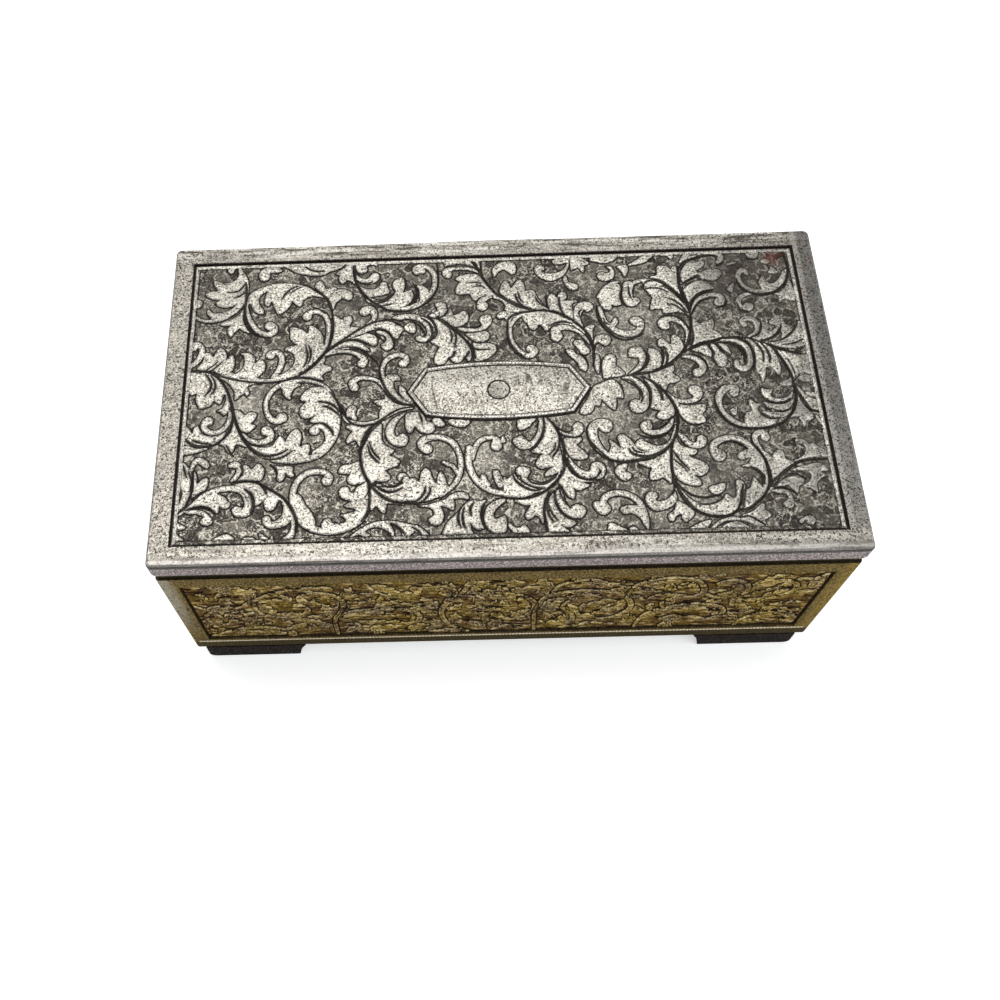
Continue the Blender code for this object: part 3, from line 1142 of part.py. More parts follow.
def movement_cover():
    """Clear sheet over the movement, with a hole for the stop pin and a finger notch."""
    half_y = INNER_Y - GAP
    high_x = PARTITION_X - PARTITION_THICKNESS / 2 - GAP
    sheet = block((-INNER_X + GAP, CASE_Y - half_y, COVER_BOTTOM),
                  (high_x, CASE_Y + half_y, COVER_TOP))
    cut(sheet, drill(STOP_PIN_X, STOP_PIN_Y, COVER_BOTTOM, COVER_TOP,
                     STOP_PIN_RADIUS + 2 * RUNNING_GAP, 14))
    cut(sheet, drill(high_x, CASE_Y, COVER_BOTTOM, COVER_TOP, NOTCH_RADIUS, 24))
    return finish(sheet, "movement_cover", clear_plastic())


def cover_ledges():
    """Card strips on the front and rear walls that carry the clear sheet."""
    high_x = PARTITION_X - PARTITION_THICKNESS / 2 - GAP
    top = COVER_BOTTOM - GAP
    for name, side in (("front_ledge", -1), ("rear_ledge", 1)):
        edge = CASE_Y + side * (INNER_Y - GAP)
        inner = edge - side * LEDGE_WIDTH
        strip = block((-INNER_X + GAP, min(edge, inner), top - LEDGE_HEIGHT),
                      (high_x, max(edge, inner), top))
        finish(strip, name, card())


def lid_lining():
    """Padded velvet panel in the lid, crowned towards the well."""
    half_x = LID_LENGTH / 2 - LID_SIDE - LID_LINING_MARGIN
    half_y = LID_WIDTH / 2 - LID_SIDE - LID_LINING_MARGIN
    pad = block((-half_x, CASE_Y - half_y, LINING_BOTTOM), (half_x, CASE_Y + half_y, LINING_TOP))
    bm = bmesh.new()
    bm.from_mesh(pad.data)
    bmesh.ops.subdivide_edges(bm, edges=[e for e in bm.edges
                                         if abs(e.verts[0].co.z - e.verts[1].co.z) < ON_FACE],
                              cuts=9, use_grid_fill=True)
    for vert in bm.verts:
        if vert.co.z < LINING_BOTTOM + ON_FACE:
            u = vert.co.x / half_x
            v = (vert.co.y - CASE_Y) / half_y
            fade = max(0.0, 1 - u ** 4) * max(0.0, 1 - v ** 4)
            vert.co.z -= LID_LINING_CROWN * fade ** 0.6
    bm.to_mesh(pad.data)
    bm.free()
    return finish(pad, "lid_lining", velvet(), (0, HINGE_Y, HINGE_Z))


def hold(names, pivot_name, place_at):
    """Parent moving pieces to an empty that stands on their axis."""
    pivot = bpy.data.objects.new(pivot_name, None)
    pivot.location = place_at
    PARTS.objects.link(pivot)
    for name in names:
        obj = bpy.data.objects[name]
        obj.parent = pivot
        obj.location = obj.location - Vector(place_at)


def build():
    clear_scene()
    case_body()
    lid_shell()
    hinge_pin()
    for name, sign_x, sign_y in (("foot_front_left", -1, -1), ("foot_front_right", 1, -1),
                                 ("foot_rear_left", -1, 1), ("foot_rear_right", 1, 1)):
        bracket_foot(name, sign_x, sign_y)
    base_felt()
    key_cup()
    winding_key()
    winding_arbor()
    bedplate()
    bed_screws()
    comb()
    small_screws()
    spring_bridge()
    great_wheel()
    mainspring()
    cylinder_arbor()
    pinned_cylinder()
    cylinder_gear()
    second_wheel()
    worm_shaft()
    governor_fan()
    governor_frame()
    stop_pin()
    brake_arm()
    stop_spring()
    tray_lining()
    partition()
    movement_cover()
    cover_ledges()
    lid_lining()
    hold(("lid_shell", "lid_lining"), "lid_axis", (0, HINGE_Y, HINGE_Z))
    hold(("winding_key", "winding_arbor"), "key_axis", (KEY_X, KEY_Y, FOOT_HEIGHT))
    hold(("great_wheel", "mainspring"), "great_wheel_axis", (KEY_X, KEY_Y, CROWN_PITCH_Z))
    hold(("cylinder_arbor", "pinned_cylinder", "cylinder_gear"), "cylinder_axis",
         (AXIS_X, GEAR_Y, AXIS_Z))
    hold(("second_wheel",), "second_axis", (SECOND_X, WORM_Y, AXIS_Z))
    hold(("worm_shaft", "governor_fan"), "worm_axis", (WORM_X, WORM_Y, AXIS_Z))
    hold(("stop_pin", "brake_arm"), "stop_axis", (STOP_PIN_X, STOP_PIN_Y, STOP_COLLAR_BOTTOM))


build()
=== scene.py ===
"""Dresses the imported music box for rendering: cast relief, velvet, felt, springs and materials."""

import math

import bmesh
import bpy
import numpy as np
from mathutils import Matrix, Vector


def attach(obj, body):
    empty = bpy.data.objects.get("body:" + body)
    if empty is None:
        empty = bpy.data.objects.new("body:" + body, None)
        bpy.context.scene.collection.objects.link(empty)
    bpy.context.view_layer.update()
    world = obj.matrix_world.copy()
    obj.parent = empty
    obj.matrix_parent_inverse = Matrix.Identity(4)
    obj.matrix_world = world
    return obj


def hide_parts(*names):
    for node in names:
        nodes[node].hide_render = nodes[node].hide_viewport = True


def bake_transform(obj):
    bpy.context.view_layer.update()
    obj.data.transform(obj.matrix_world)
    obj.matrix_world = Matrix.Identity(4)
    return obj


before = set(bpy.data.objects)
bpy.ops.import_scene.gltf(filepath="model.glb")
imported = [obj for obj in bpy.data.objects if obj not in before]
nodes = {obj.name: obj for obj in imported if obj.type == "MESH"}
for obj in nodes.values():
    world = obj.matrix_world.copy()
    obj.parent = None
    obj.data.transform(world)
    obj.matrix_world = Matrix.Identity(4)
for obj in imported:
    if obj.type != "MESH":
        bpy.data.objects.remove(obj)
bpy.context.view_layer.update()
scene = bpy.context.scene

MM = 0.001

# The case stands a little forward of the origin, because the hinge reaches out behind it
CASE_Y = -1.675

# The camera, fitted to the photograph with the box on its floor at z = 0

CAMERA_AT = Vector((-10.44, -102.525, 202.99)) * MM
CAMERA_FORWARD = Vector((-0.0213, 0.4395, -0.8980))
CAMERA_RIGHT = Vector((0.9994, -0.0144, -0.0307))
FOCAL_SHARE = 1.09863
SENSOR = 36.0
SHIFT = (0.0830, 0.0124)

forward = CAMERA_FORWARD.normalized()
up = CAMERA_RIGHT.cross(forward).normalized()
right = forward.cross(up)
camera_data = bpy.data.cameras.new("camera")
camera_data.sensor_width = SENSOR
camera_data.lens = FOCAL_SHARE * SENSOR
camera_data.shift_x, camera_data.shift_y = SHIFT
camera_data.clip_start = 0.01
camera_data.clip_end = 20.0
camera = bpy.data.objects.new("camera", camera_data)
scene.collection.objects.link(camera)
turned = Matrix((right, up, -forward)).transposed().to_4x4()
camera.matrix_world = Matrix.Translation(CAMERA_AT) @ turned
scene.camera = camera
scene.view_settings.view_transform = "Standard"


class Shader:
    """A small builder of node materials."""

    def __init__(self, name):
        self.material = bpy.data.materials.new(name)
        self.material.use_nodes = True
        self.tree = self.material.node_tree
        self.tree.nodes.clear()
        self.output = self.tree.nodes.new("ShaderNodeOutputMaterial")
        self.surface = None
        self._place = None

    def node(self, kind, **settings):
        made = self.tree.nodes.new("ShaderNode" + kind)
        for key, value in settings.items():
            setattr(made, key, value)
        return made

    def link(self, source, target):
        if isinstance(source, bpy.types.NodeSocket):
            self.tree.links.new(source, target)
        elif isinstance(source, (tuple, list)) and len(source) == 3 and len(target.default_value) == 4:
            target.default_value = (*source, 1.0)
        else:
            target.default_value = source

    def place(self):
        """The point on the surface in the object's own metres."""
        if self._place is None:
            self._place = self.node("TexCoord").outputs["Object"]
        return self._place

    def stretched(self, scale, turn=(0.0, 0.0, 0.0)):
        mapping = self.node("Mapping")
        self.link(self.place(), mapping.inputs["Vector"])
        mapping.inputs["Scale"].default_value = scale
        mapping.inputs["Rotation"].default_value = turn
        return mapping.outputs["Vector"]

    def noise(self, size, detail=2.0, roughness=0.5, vector=None, distortion=0.0):
        """Noise whose features are about size metres across, from 0 to 1."""
        made = self.node("TexNoise")
        self.link(vector or self.place(), made.inputs["Vector"])
        made.inputs["Scale"].default_value = 1.0 / size
        made.inputs["Detail"].default_value = detail
        made.inputs["Roughness"].default_value = roughness
        made.inputs["Distortion"].default_value = distortion
        return made.outputs["Fac"]

    def cell_edges(self, size, vector):
        """How far each point lies from the edges between cells."""
        made = self.node("TexVoronoi", feature="DISTANCE_TO_EDGE")
        self.link(vector, made.inputs["Vector"])
        made.inputs["Scale"].default_value = 1.0 / size
        return made.outputs["Distance"]

    def warped(self, size, amount):
        """The place pushed about by noise, so that cells lose their straight edges."""
        made = self.node("TexNoise")
        self.link(self.place(), made.inputs["Vector"])
        made.inputs["Scale"].default_value = 1.0 / size
        shift = self.node("VectorMath", operation="MULTIPLY_ADD")
        self.tree.links.new(made.outputs["Color"], shift.inputs[0])
        shift.inputs[1].default_value = (amount, amount, amount)
        self.tree.links.new(self.place(), shift.inputs[2])
        return shift.outputs[0]

    def cell_tones(self, size, vector):
        """A random tone for each cell, from 0 to 1."""
        made = self.node("TexVoronoi")
        self.link(vector, made.inputs["Vector"])
        made.inputs["Scale"].default_value = 1.0 / size
        apart = self.node("SeparateColor")
        self.tree.links.new(made.outputs["Color"], apart.inputs[0])
        return apart.outputs[0]

    def attribute(self, name):
        return self.node("Attribute", attribute_name=name).outputs["Fac"]

    def between(self, value, low, high, out_low=0.0, out_high=1.0):
        """A smooth step of value from low to high."""
        made = self.node("MapRange", interpolation_type="SMOOTHSTEP")
        self.link(value, made.inputs["Value"])
        made.inputs["From Min"].default_value = low
        made.inputs["From Max"].default_value = high
        made.inputs["To Min"].default_value = out_low
        made.inputs["To Max"].default_value = out_high
        return made.outputs["Result"]

    def math(self, operation, first, second=0.0, third=None):
        made = self.node("Math", operation=operation)
        self.link(first, made.inputs[0])
        self.link(second, made.inputs[1])
        if third is not None:
            self.link(third, made.inputs[2])
        return made.outputs[0]

    def times(self, first, second):
        return self.math("MULTIPLY", first, second)

    def most(self, first, second):
        return self.math("MAXIMUM", first, second)

    def within(self, value, rise, fall):
        """1 between two smooth steps, each given as where it starts and ends."""
        return self.times(self.between(value, *rise), self.between(value, *fall))

    def mix(self, factor, first, second):
        made = self.node("Mix", data_type="RGBA")
        self.link(factor, made.inputs[0])
        self.link(first, made.inputs[6])
        self.link(second, made.inputs[7])
        return made.outputs[2]

    def split(self, vector):
        made = self.node("SeparateXYZ")
        self.link(vector, made.inputs[0])
        return made.outputs

    def facing(self):
        """The surface's own direction, in the object's frame."""
        return self.split(self.node("TexCoord").outputs["Normal"])

    def bump(self, height, distance, strength=1.0, normal=None):
        made = self.node("Bump")
        self.link(height, made.inputs["Height"])
        made.inputs["Distance"].default_value = distance
        made.inputs["Strength"].default_value = strength
        if normal is not None:
            self.link(normal, made.inputs["Normal"])
        return made.outputs["Normal"]

    def principled(self, **values):
        made = self.node("BsdfPrincipled")
        for key, value in values.items():
            self.link(value, made.inputs[key.replace("_", " ")])
        self.surface = made
        self.tree.links.new(made.outputs[0], self.output.inputs["Surface"])
        return self.material

    def tint(self, colour):
        """The colour that the surface mirrors at a shallow angle."""
        self.surface.inputs["Specular Tint"].default_value = (*colour, 1.0)


def assign(target, material):
    """Gives a whole object one material, on all its slots."""
    if not target.data.materials:
        target.data.materials.append(material)
    for index in range(len(target.data.materials)):
        target.data.materials[index] = material


# Colours shared by the metals
# The first colour below is the dirt in pits and also painted shade: round raised shapes, in cuts, and in the dark
# strips and bands of the cast metals.
DIRT_AND_SHADE = (0.022, 0.018, 0.015)
STAIN = (0.115, 0.040, 0.028)
# The smudge colour below also paints shade on the back half of the lid's plate.
SMUDGE_AND_SHADE = (0.052, 0.042, 0.036)

# In the tones below, outline and reach set the band of painted shadow and dirt round raised shapes, rim and glint set
# painted highlights in the bright colour, and the tone for broad blotches also paints shade on the tops towards the
# lid's right.
LID_TONES = {
    "top": ((0.335, 0.310, 0.260), (0.560, 0.530, 0.460)),
    "bright": (0.93, 0.90, 0.83),
    "pit": (0.040, 0.032, 0.026),
    "ground": ((0.030, 0.025, 0.021), (0.110, 0.100, 0.082)),
    "fleck": (0.56, 0.53, 0.46),
    "blotch_and_shade": (0.180, 0.172, 0.152),
    "shade_from": (0.026, 0.050),
    "outline": 0.88,
    "reach": -0.28,
    "rim": 0.30,
    "glint": 0.74,
    "metal": (0.88, 0.62),
    "drift": 0.0030,
    "even": 0.0,
    "dashes": 0.0,
    "ragged": 0.20,
    "edge": (1.0, 1.0, 1.0),
}
WALL_TONES = {
    "top": ((0.118, 0.087, 0.064), (0.262, 0.190, 0.046)),
    "bright": (0.74, 0.60, 0.32),
    "pit": (0.012, 0.007, 0.004),
    "ground": ((0.064, 0.045, 0.036), (0.150, 0.106, 0.026)),
    "fleck": (0.40, 0.29, 0.12),
    "blotch_and_shade": (0.090, 0.062, 0.050),
    "shade_from": (0.5, 0.6),
    "outline": 0.96,
    "reach": -0.22,
    "rim": 0.36,
    "glint": 0.42,
    "metal": (0.94, 0.93),
    "drift": 0.0062,
    "even": 0.75,
    "dashes": 0.97,
    "ragged": 0.10,
    "edge": (0.46, 0.36, 0.20),
}


def relief_metal(name, tones):
    """Cast metal. The mesh says how far, in millimetres, each point lies inside the raised shapes and cuts."""
    s = Shader(name)
    ragged = s.noise(0.00045, 2.0, 0.6)
    shift = s.math("SUBTRACT", s.attribute("inside"), tones["ragged"] / 2)
    edge = s.math("MULTIPLY_ADD", ragged, tones["ragged"], shift)
    top = s.between(edge, -0.03, 0.03)
    reach = tones["reach"]
    # A band round the foot of each raised shape, painted dark as shadow and dirt
    outline = s.within(edge, (reach - 0.06, reach + 0.06), (0.02, -0.05))
    # A painted highlight just inside the edge of each raised shape
    rim = s.within(edge, (0.02, 0.07), (0.26, 0.14))
    cut = s.between(s.math("MULTIPLY_ADD", ragged, 0.08, s.math("SUBTRACT", s.attribute("groove"), 0.04)), -0.05, 0.04)
    speck = s.noise(0.00034, 2.5, 0.7)
    pits = s.between(speck, 0.465, 0.415)
    glints = s.between(s.noise(0.00036, 2.0, 0.65), 0.52, 0.58)
    x = s.split(s.place())[0]
    # Towards the lid's right the tops are painted darker as shade
    far = s.between(x, *tones["shade_from"])

    bent = s.warped(0.0016, 0.0011)
    patch = s.between(s.cell_tones(0.0019, bent), 0.35, 0.85)
    drift = s.between(s.noise(tones["drift"], 3.0, 0.6), 0.36, 0.64)
    patch = s.math("MULTIPLY_ADD", drift, tones["even"], s.times(patch, 1.0 - tones["even"]))
    ground = s.mix(patch, tones["ground"][0], tones["ground"][1])
    flecks = s.between(s.noise(0.00052, 3.0, 0.75, distortion=1.4), 0.52, 0.59)
    drifts = s.between(s.noise(0.0036, 3.0, 0.6), 0.42, 0.60, 0.15, 1.0)
    cracks = s.between(s.cell_edges(0.0019, bent), 0.11, 0.02)
    cracks = s.times(cracks, s.between(s.noise(0.0012, 2.0, 0.6), 0.45, 0.58))
    pale = s.times(flecks, s.most(drifts, s.attribute("wear")))
    pale = s.most(pale, s.times(cracks, 0.70))
    ground = s.mix(s.times(pale, 0.85), ground, tones["fleck"])
    ground = s.mix(s.times(s.attribute("wear"), 0.30), ground, tones["fleck"])
    ground = s.mix(s.times(pits, 0.60), ground, DIRT_AND_SHADE)

    tops = s.mix(drift, tones["top"][0], tones["top"][1])
    tops = s.mix(s.times(glints, tones["glint"]), tops, tones["bright"])
    # Painted shade on the tops towards the lid's right, in patches
    shade_patches = s.between(s.noise(0.0042, 3.0, 0.65), 0.40, 0.60, 0.10, 0.80)
    tops = s.mix(s.times(far, shade_patches), tops, tones["blotch_and_shade"])
    # The painted highlight inside the shapes' edges
    tops = s.mix(s.times(rim, tones["rim"]), tops, tones["bright"])
    tops = s.mix(s.between(s.attribute("wear"), 1.0, 2.0, 0.0, 0.85), tops, tones["bright"])
    tops = s.mix(s.times(pits, 0.90), tops, tones["pit"])

    colour = s.mix(top, ground, tops)
    dashes = s.noise(0.00075, 2.0, 0.6, vector=s.stretched((0.38, 0.38, 1.0)))
    colour = s.mix(s.between(dashes, 0.425, 0.385, 0.0, tones["dashes"]), colour, tones["pit"])
    # Pale dashes are painted highlights
    colour = s.mix(s.between(dashes, 0.585, 0.635, 0.0, 0.55 * tones["dashes"]), colour, tones["bright"])
    broad = s.between(s.noise(0.011, 2.0, 0.5), 0.45, 0.72, 0.0, 0.28)
    colour = s.mix(broad, colour, s.mix(0.5, tones["blotch_and_shade"], tones["pit"]))
    colour = s.mix(s.attribute("smudge_and_shade"), colour, SMUDGE_AND_SHADE)
    # The painted shadow round raised shapes is lighter towards the lid's right
    outline = s.times(outline, s.math("MULTIPLY_ADD", far, -0.40, tones["outline"]))
    # Painted shade and dirt: the outlines round raised shapes, and the dark cuts, which are painted shade in the
    # border's groove
    dark = s.most(outline, s.times(cut, 0.93))
    colour = s.mix(dark, colour, DIRT_AND_SHADE)
    colour = s.mix(s.attribute("stain"), colour, STAIN)
    rough = s.math("MULTIPLY_ADD", pits, 0.22, 0.46)
    rough = s.math("MULTIPLY_ADD", dark, 0.25, rough)
    fine = s.bump(speck, 0.00007, 0.6)
    normal = s.bump(s.noise(0.0013, 3.0, 0.6), 0.00012, 0.5, fine)
    low, high = tones["metal"]
    metal = s.math("MULTIPLY_ADD", top, high - low, low)
    metal = s.most(metal, s.times(dark, 0.97))
    made = s.principled(Base_Color=colour, Metallic=metal, Roughness=rough, Normal=normal)
    s.tint(tones["edge"])
    return made


# Places on the lid's border, in metres: along y at its back, front and right corner, then along x at its right
BORDER_BACK = (0.0265, 0.0280)
BORDER_FRONT = (-0.0298, -0.0310)
FRONT_ROUND = (-0.0317, -0.0323)
FRONT_SHINE = ((-0.0321, -0.0325), (-0.0332, -0.0328))
MITRE = (-0.0302, -0.0290)
LESS_SHADE_IN_FRONT = (-0.030, 0.004, 0.22, 1.0)
RIGHT_OUTER = (0.0538, 0.0552)
RIGHT_LINE = ((0.0538, 0.0540), (0.0552, 0.0546))
PITTED_LEFT, PITTED_RIGHT = (-0.030, -0.052), (0.016, 0.044)

STREAK = (0.72, 0.69, 0.63)
SCORE = (0.050, 0.040, 0.032)
SLEEK = (0.262, 0.242, 0.230)
SHINE = (0.72, 0.69, 0.64)
# Painted shade that darkens the border towards its right
RIGHT_SHADE = (0.115, 0.104, 0.088)
RUST = (0.150, 0.075, 0.038)
COOL = (0.100, 0.106, 0.112)
PALE_LINE = (0.52, 0.50, 0.46)
PIT = (0.036, 0.029, 0.023)

# The ends of the case's front wall carry painted reflections: pale at the left and above, golden at the right
STILE_FRONT, STILE_RISE = (-0.0300, -0.0312), (0.010, 0.028)
STILE_EDGE = (-0.0542, -0.0562)
PALE_STILE_REFLECTION = (0.30, 0.28, 0.24)
GOLD_STILE_REFLECTION = (0.27, 0.185, 0.055)
BAND_SOFT = 0.0001


def border_wear(s, plain, x, y, blotch_and_shade):
    """The lid's border: streaked at its back and front, sleek where it rounds, painted darker as shade and rusty at its
    right.
    """
    along = s.most(s.times(s.between(y, *BORDER_FRONT), 0.5), s.between(y, *BORDER_BACK))
    streaks = s.noise(0.0008, 3.0, 0.65, vector=s.stretched((0.10, 1.0, 1.0)))
    plain = s.mix(s.times(along, s.between(streaks, 0.52, 0.60, 0.0, 0.75)), plain, STREAK)
    sleek = s.between(y, *FRONT_ROUND)
    plain = s.mix(s.times(sleek, 0.65), plain, SLEEK)
    plain = s.mix(s.times(s.within(y, *FRONT_SHINE), 0.40), plain, SHINE)
    plain = s.mix(s.times(along, s.between(streaks, 0.45, 0.39, 0.0, 0.85)), plain, SCORE)
    # The border is painted darker towards its right as shade, less so in front, and rusts there
    right_end = s.times(s.between(x, *blotch_and_shade), s.between(y, *LESS_SHADE_IN_FRONT))
    plain = s.mix(s.times(right_end, 0.62), plain, RIGHT_SHADE)
    rust = s.between(s.noise(0.0030, 3.0, 0.6), 0.56, 0.68, 0.0, 0.55)
    plain = s.mix(s.times(rust, right_end), plain, RUST)
    mitre = s.between(y, *MITRE)
    plain = s.mix(s.times(mitre, s.between(x, *RIGHT_OUTER, 0.0, 0.42)), plain, COOL)
    line = s.times(s.within(x, *RIGHT_LINE), 0.40)
    return s.mix(s.times(mitre, line), plain, PALE_LINE), sleek


def shell_metal(name, side, face, metal=0.60, blotch_and_shade=None, reflected_from=None, strips=(), bands=(), tint=None):
    """Cast metal of the lid's border and the case's rails: pale and pitted on top, painted darker on its sides as
    shade.
    """
    s = Shader(name)
    speck = s.noise(0.00030, 2.5, 0.7)
    pits = s.between(speck, 0.465, 0.405)
    holes = s.between(s.noise(0.00062, 2.0, 0.6), 0.395, 0.345)
    glints = s.between(s.noise(0.00036, 2.0, 0.65), 0.52, 0.58)
    tone = s.between(s.noise(0.0040, 3.0, 0.6), 0.3, 0.7)
    drag = s.between(s.noise(0.0016, 3.0, 0.6, vector=s.stretched((0.12, 1.0, 1.0))), 0.35, 0.65)
    crowd = s.between(s.noise(0.0060, 3.0, 0.65), 0.42, 0.62)
    upward = s.between(s.facing()[2], 0.35, 0.80)
    x, y, z = s.split(s.place())
    plain = s.mix(tone, face, tuple(c * 1.30 for c in face))
    plain = s.mix(s.times(drag, 0.40), plain, tuple(c * 0.58 for c in face))
    plain = s.mix(s.times(glints, 0.62), plain, tuple(min(c * 2.3, 0.92) for c in face))
    if blotch_and_shade is not None:
        plain, sleek = border_wear(s, plain, x, y, blotch_and_shade)
    pitted = s.times(pits, s.math("MULTIPLY_ADD", crowd, 0.40, 0.50))
    pitted = s.most(pitted, s.times(holes, 0.92))
    if blotch_and_shade is not None:
        ends = s.most(s.between(x, *PITTED_LEFT), s.between(x, *PITTED_RIGHT))
        pitted = s.most(pitted, s.times(pits, ends))
        pitted = s.times(pitted, s.math("MULTIPLY_ADD", sleek, -0.65, 1.0))
    plain = s.mix(pitted, plain, PIT)
    # The sides are the same metal painted darker as shade, with painted glints
    shaded_flank = s.mix(tone, side, tuple(c * 1.9 for c in side))
    shaded_flank = s.mix(s.times(glints, 0.70), shaded_flank, tuple(min(c * 7.0, 0.6) for c in side))
    # Painted reflections at the ends of the case: pale at its left, gold at its right
    if reflected_from is not None:
        pale = s.times(s.between(x, *reflected_from, 0.0, 0.85), s.between(z, *STILE_RISE))
        shaded_flank = s.mix(s.times(pale, s.between(y, *STILE_FRONT)), shaded_flank, PALE_STILE_REFLECTION)
        shaded_flank = s.mix(s.between(x, -reflected_from[0], -reflected_from[1], 0.0, 0.6), shaded_flank, GOLD_STILE_REFLECTION)
    shaded_flank = s.mix(s.times(pitted, 0.9), shaded_flank, DIRT_AND_SHADE)
    colour = s.mix(upward, shaded_flank, plain)
    for low, high, share in strips:
        colour = s.mix(s.between(z, low, high, 0.0, share), colour, DIRT_AND_SHADE)
    for low, high, share in bands:
        inside = s.within(z, (low - BAND_SOFT, low + BAND_SOFT), (high + BAND_SOFT, high - BAND_SOFT))
        colour = s.mix(s.times(inside, share), colour, DIRT_AND_SHADE)
    rough = s.math("MULTIPLY_ADD", pits, 0.25, 0.44)
    fine = s.bump(speck, 0.00006, 0.55)
    normal = s.bump(s.noise(0.0020, 3.0, 0.6), 0.00010, 0.4, fine)
    made = s.principled(Base_Color=colour, Metallic=metal, Roughness=rough, Normal=normal)
    if tint is not None:
        s.tint(tint)
    return made


def turned_metal(name, colour, dark, roughness, grain=(1.0, 1.0, 1.0), size=0.0003):
    """Machined metal with a fine drawn grain and faint darker spots of old oil."""
    s = Shader(name)
    lines = s.noise(size, 2.0, 0.6, vector=s.stretched(grain))
    spots = s.between(s.noise(0.0022, 3.0, 0.6), 0.35, 0.75)
    shade = s.mix(s.between(lines, 0.3, 0.7), tuple(c * 0.86 for c in colour), colour)
    shade = s.mix(s.times(spots, 0.35), shade, dark)
    rough = s.between(lines, 0.2, 0.8, roughness - 0.06, roughness + 0.08)
    normal = s.bump(lines, 0.00003, 0.35)
    return s.principled(Base_Color=shade, Metallic=0.95, Roughness=rough, Normal=normal)


def cast_zinc(name, colour, dark):
    """Die-cast bed metal: matt, with a fine orange-peel skin and dull patches."""
    s = Shader(name)
    skin = s.noise(0.0006, 3.0, 0.6)
    patches = s.between(s.noise(0.005, 3.0, 0.55), 0.3, 0.75)
    shade = s.mix(patches, colour, dark)
    shade = s.mix(s.between(skin, 0.55, 0.75, 0.0, 0.3), shade, (0.36, 0.355, 0.34))
    rough = s.between(skin, 0.3, 0.7, 0.48, 0.62)
    return s.principled(Base_Color=shade, Metallic=0.8, Roughness=rough, Normal=s.bump(skin, 0.00006, 0.5))


def pile(name, dark, mid, light, size):
    """Velvet or felt: soft brushed patches over a short pile."""
    s = Shader(name)
    fibres = s.noise(size, 3.0, 0.75)
    brushed = s.noise(0.013, 3.0, 0.65, vector=s.stretched((1.0, 0.6, 1.0)))
    shade = s.mix(s.between(brushed, 0.30, 0.70, 0.35, 1.0), dark, mid)
    shade = s.mix(s.between(fibres, 0.50, 0.75, 0.0, 0.6), shade, light)
    normal = s.bump(fibres, 0.00025, 0.7)
    made = s.principled(Base_Color=shade, Roughness=0.85, Normal=normal)
    s.surface.inputs["Sheen Weight"].default_value = 0.55
    s.surface.inputs["Sheen Roughness"].default_value = 0.35
    s.surface.inputs["Sheen Tint"].default_value = (*light, 1.0)
    s.surface.inputs["Specular IOR Level"].default_value = 0.15
    return made


COVER_IOR = 1.20


def clear_plastic(name):
    """Old clear acrylic with hairline scratches and dust. It mirrors less than real acrylic, to show what it covers."""
    s = Shader(name)
    hairs = s.between(s.noise(0.0006, 2.0, 0.5, vector=s.stretched((0.08, 1.0, 1.0), (0, 0, 0.5))), 0.66, 0.72)
    dust = s.between(s.noise(0.0035, 4.0, 0.65), 0.60, 0.88)
    colour = s.mix(dust, (0.97, 0.98, 0.975), (0.86, 0.87, 0.85))
    rough = s.math("MULTIPLY_ADD", dust, 0.10, 0.015)
    rough = s.math("MULTIPLY_ADD", hairs, 0.12, rough)
    made = s.principled(Base_Color=colour, Roughness=rough, Normal=s.bump(hairs, 0.00002, 0.4))
    s.surface.inputs["Transmission Weight"].default_value = 0.99
    s.surface.inputs["IOR"].default_value = COVER_IOR
    s.surface.inputs["Specular IOR Level"].default_value = 0.06
    return made


# A drawing lists shapes as points that a curve runs through, from the middle of its panel, in tenths of a
# millimetre. A leaf is a closed outline. A band, which is raised, and a line, which is cut, also have half a width at
# each point, in hundredths of a millimetre.
DRAWING_SCALE = np.array((10.0, 10.0, 100.0))
# The depth of a point that lies in no shape
OUTSIDE = -9.0


def read_rows(text):
    """The rows of a drawing. A row that ends in a comma goes on in the next line."""
    return text.strip().replace(",\n", ",").splitlines()


def read_points(row):
    """The points of one row, in millimetres."""
    points = np.array([[float(v) for v in p.split()] for p in row.split(",")])
    return points / DRAWING_SCALE[: points.shape[1]]


def read_shapes(text):
    """The drawing as (kind, points) pairs."""
    shapes = []
    kind = None
    for row in read_rows(text):
        if row.startswith("#"):
            kind = row[1:].strip()
        else:
            shapes.append((kind, read_points(row)))
    return shapes


def curve_through(points, closed, step):
    """Close points along a Catmull-Rom curve through the given ones."""
    count = len(points)
    made = []
    for i in range(count if closed else count - 1):
        if closed:
            before, a, b, after = (points[(i + k) % count] for k in (-1, 0, 1, 2))
        else:
            before, a, b, after = (points[min(max(i + k, 0), count - 1)] for k in (-1, 0, 1, 2))
        pieces = max(2, int(np.hypot(*(b - a)[:2]) / step))
        t = (np.arange(pieces) / pieces)[:, None]
        made.append(
            0.5
            * (
                2 * a
                + (b - before) * t
                + (2 * before - 5 * a + 4 * b - after) * t**2
                + (3 * a - before - 3 * b + after) * t**3
            )
        )
    if not closed:
        made.append(points[-1:])
    return np.concatenate(made)


def smooth(low, high, value):
    t = np.clip((value - low) / (high - low), 0.0, 1.0)
    return t * t * (3.0 - 2.0 * t)


def value_noise(xs, ys, size, seed):
    """Soft random heights from 0 to 1 over a grid, about size apart."""
    rng = np.random.default_rng(seed)
    u = (xs - xs.min()) / size
    v = (ys - ys.min()) / size
    table = rng.random((int(u.max()) + 3, int(v.max()) + 3))
    i = u.astype(int)
    j = v.astype(int)
    fu = (u - i) ** 2 * (3 - 2 * (u - i))
    fv = (v - j) ** 2 * (3 - 2 * (v - j))
    low = table[i, j] * (1 - fu) + table[i + 1, j] * fu
    high = table[i, j + 1] * (1 - fu) + table[i + 1, j + 1] * fu
    return low * (1 - fv) + high * fv


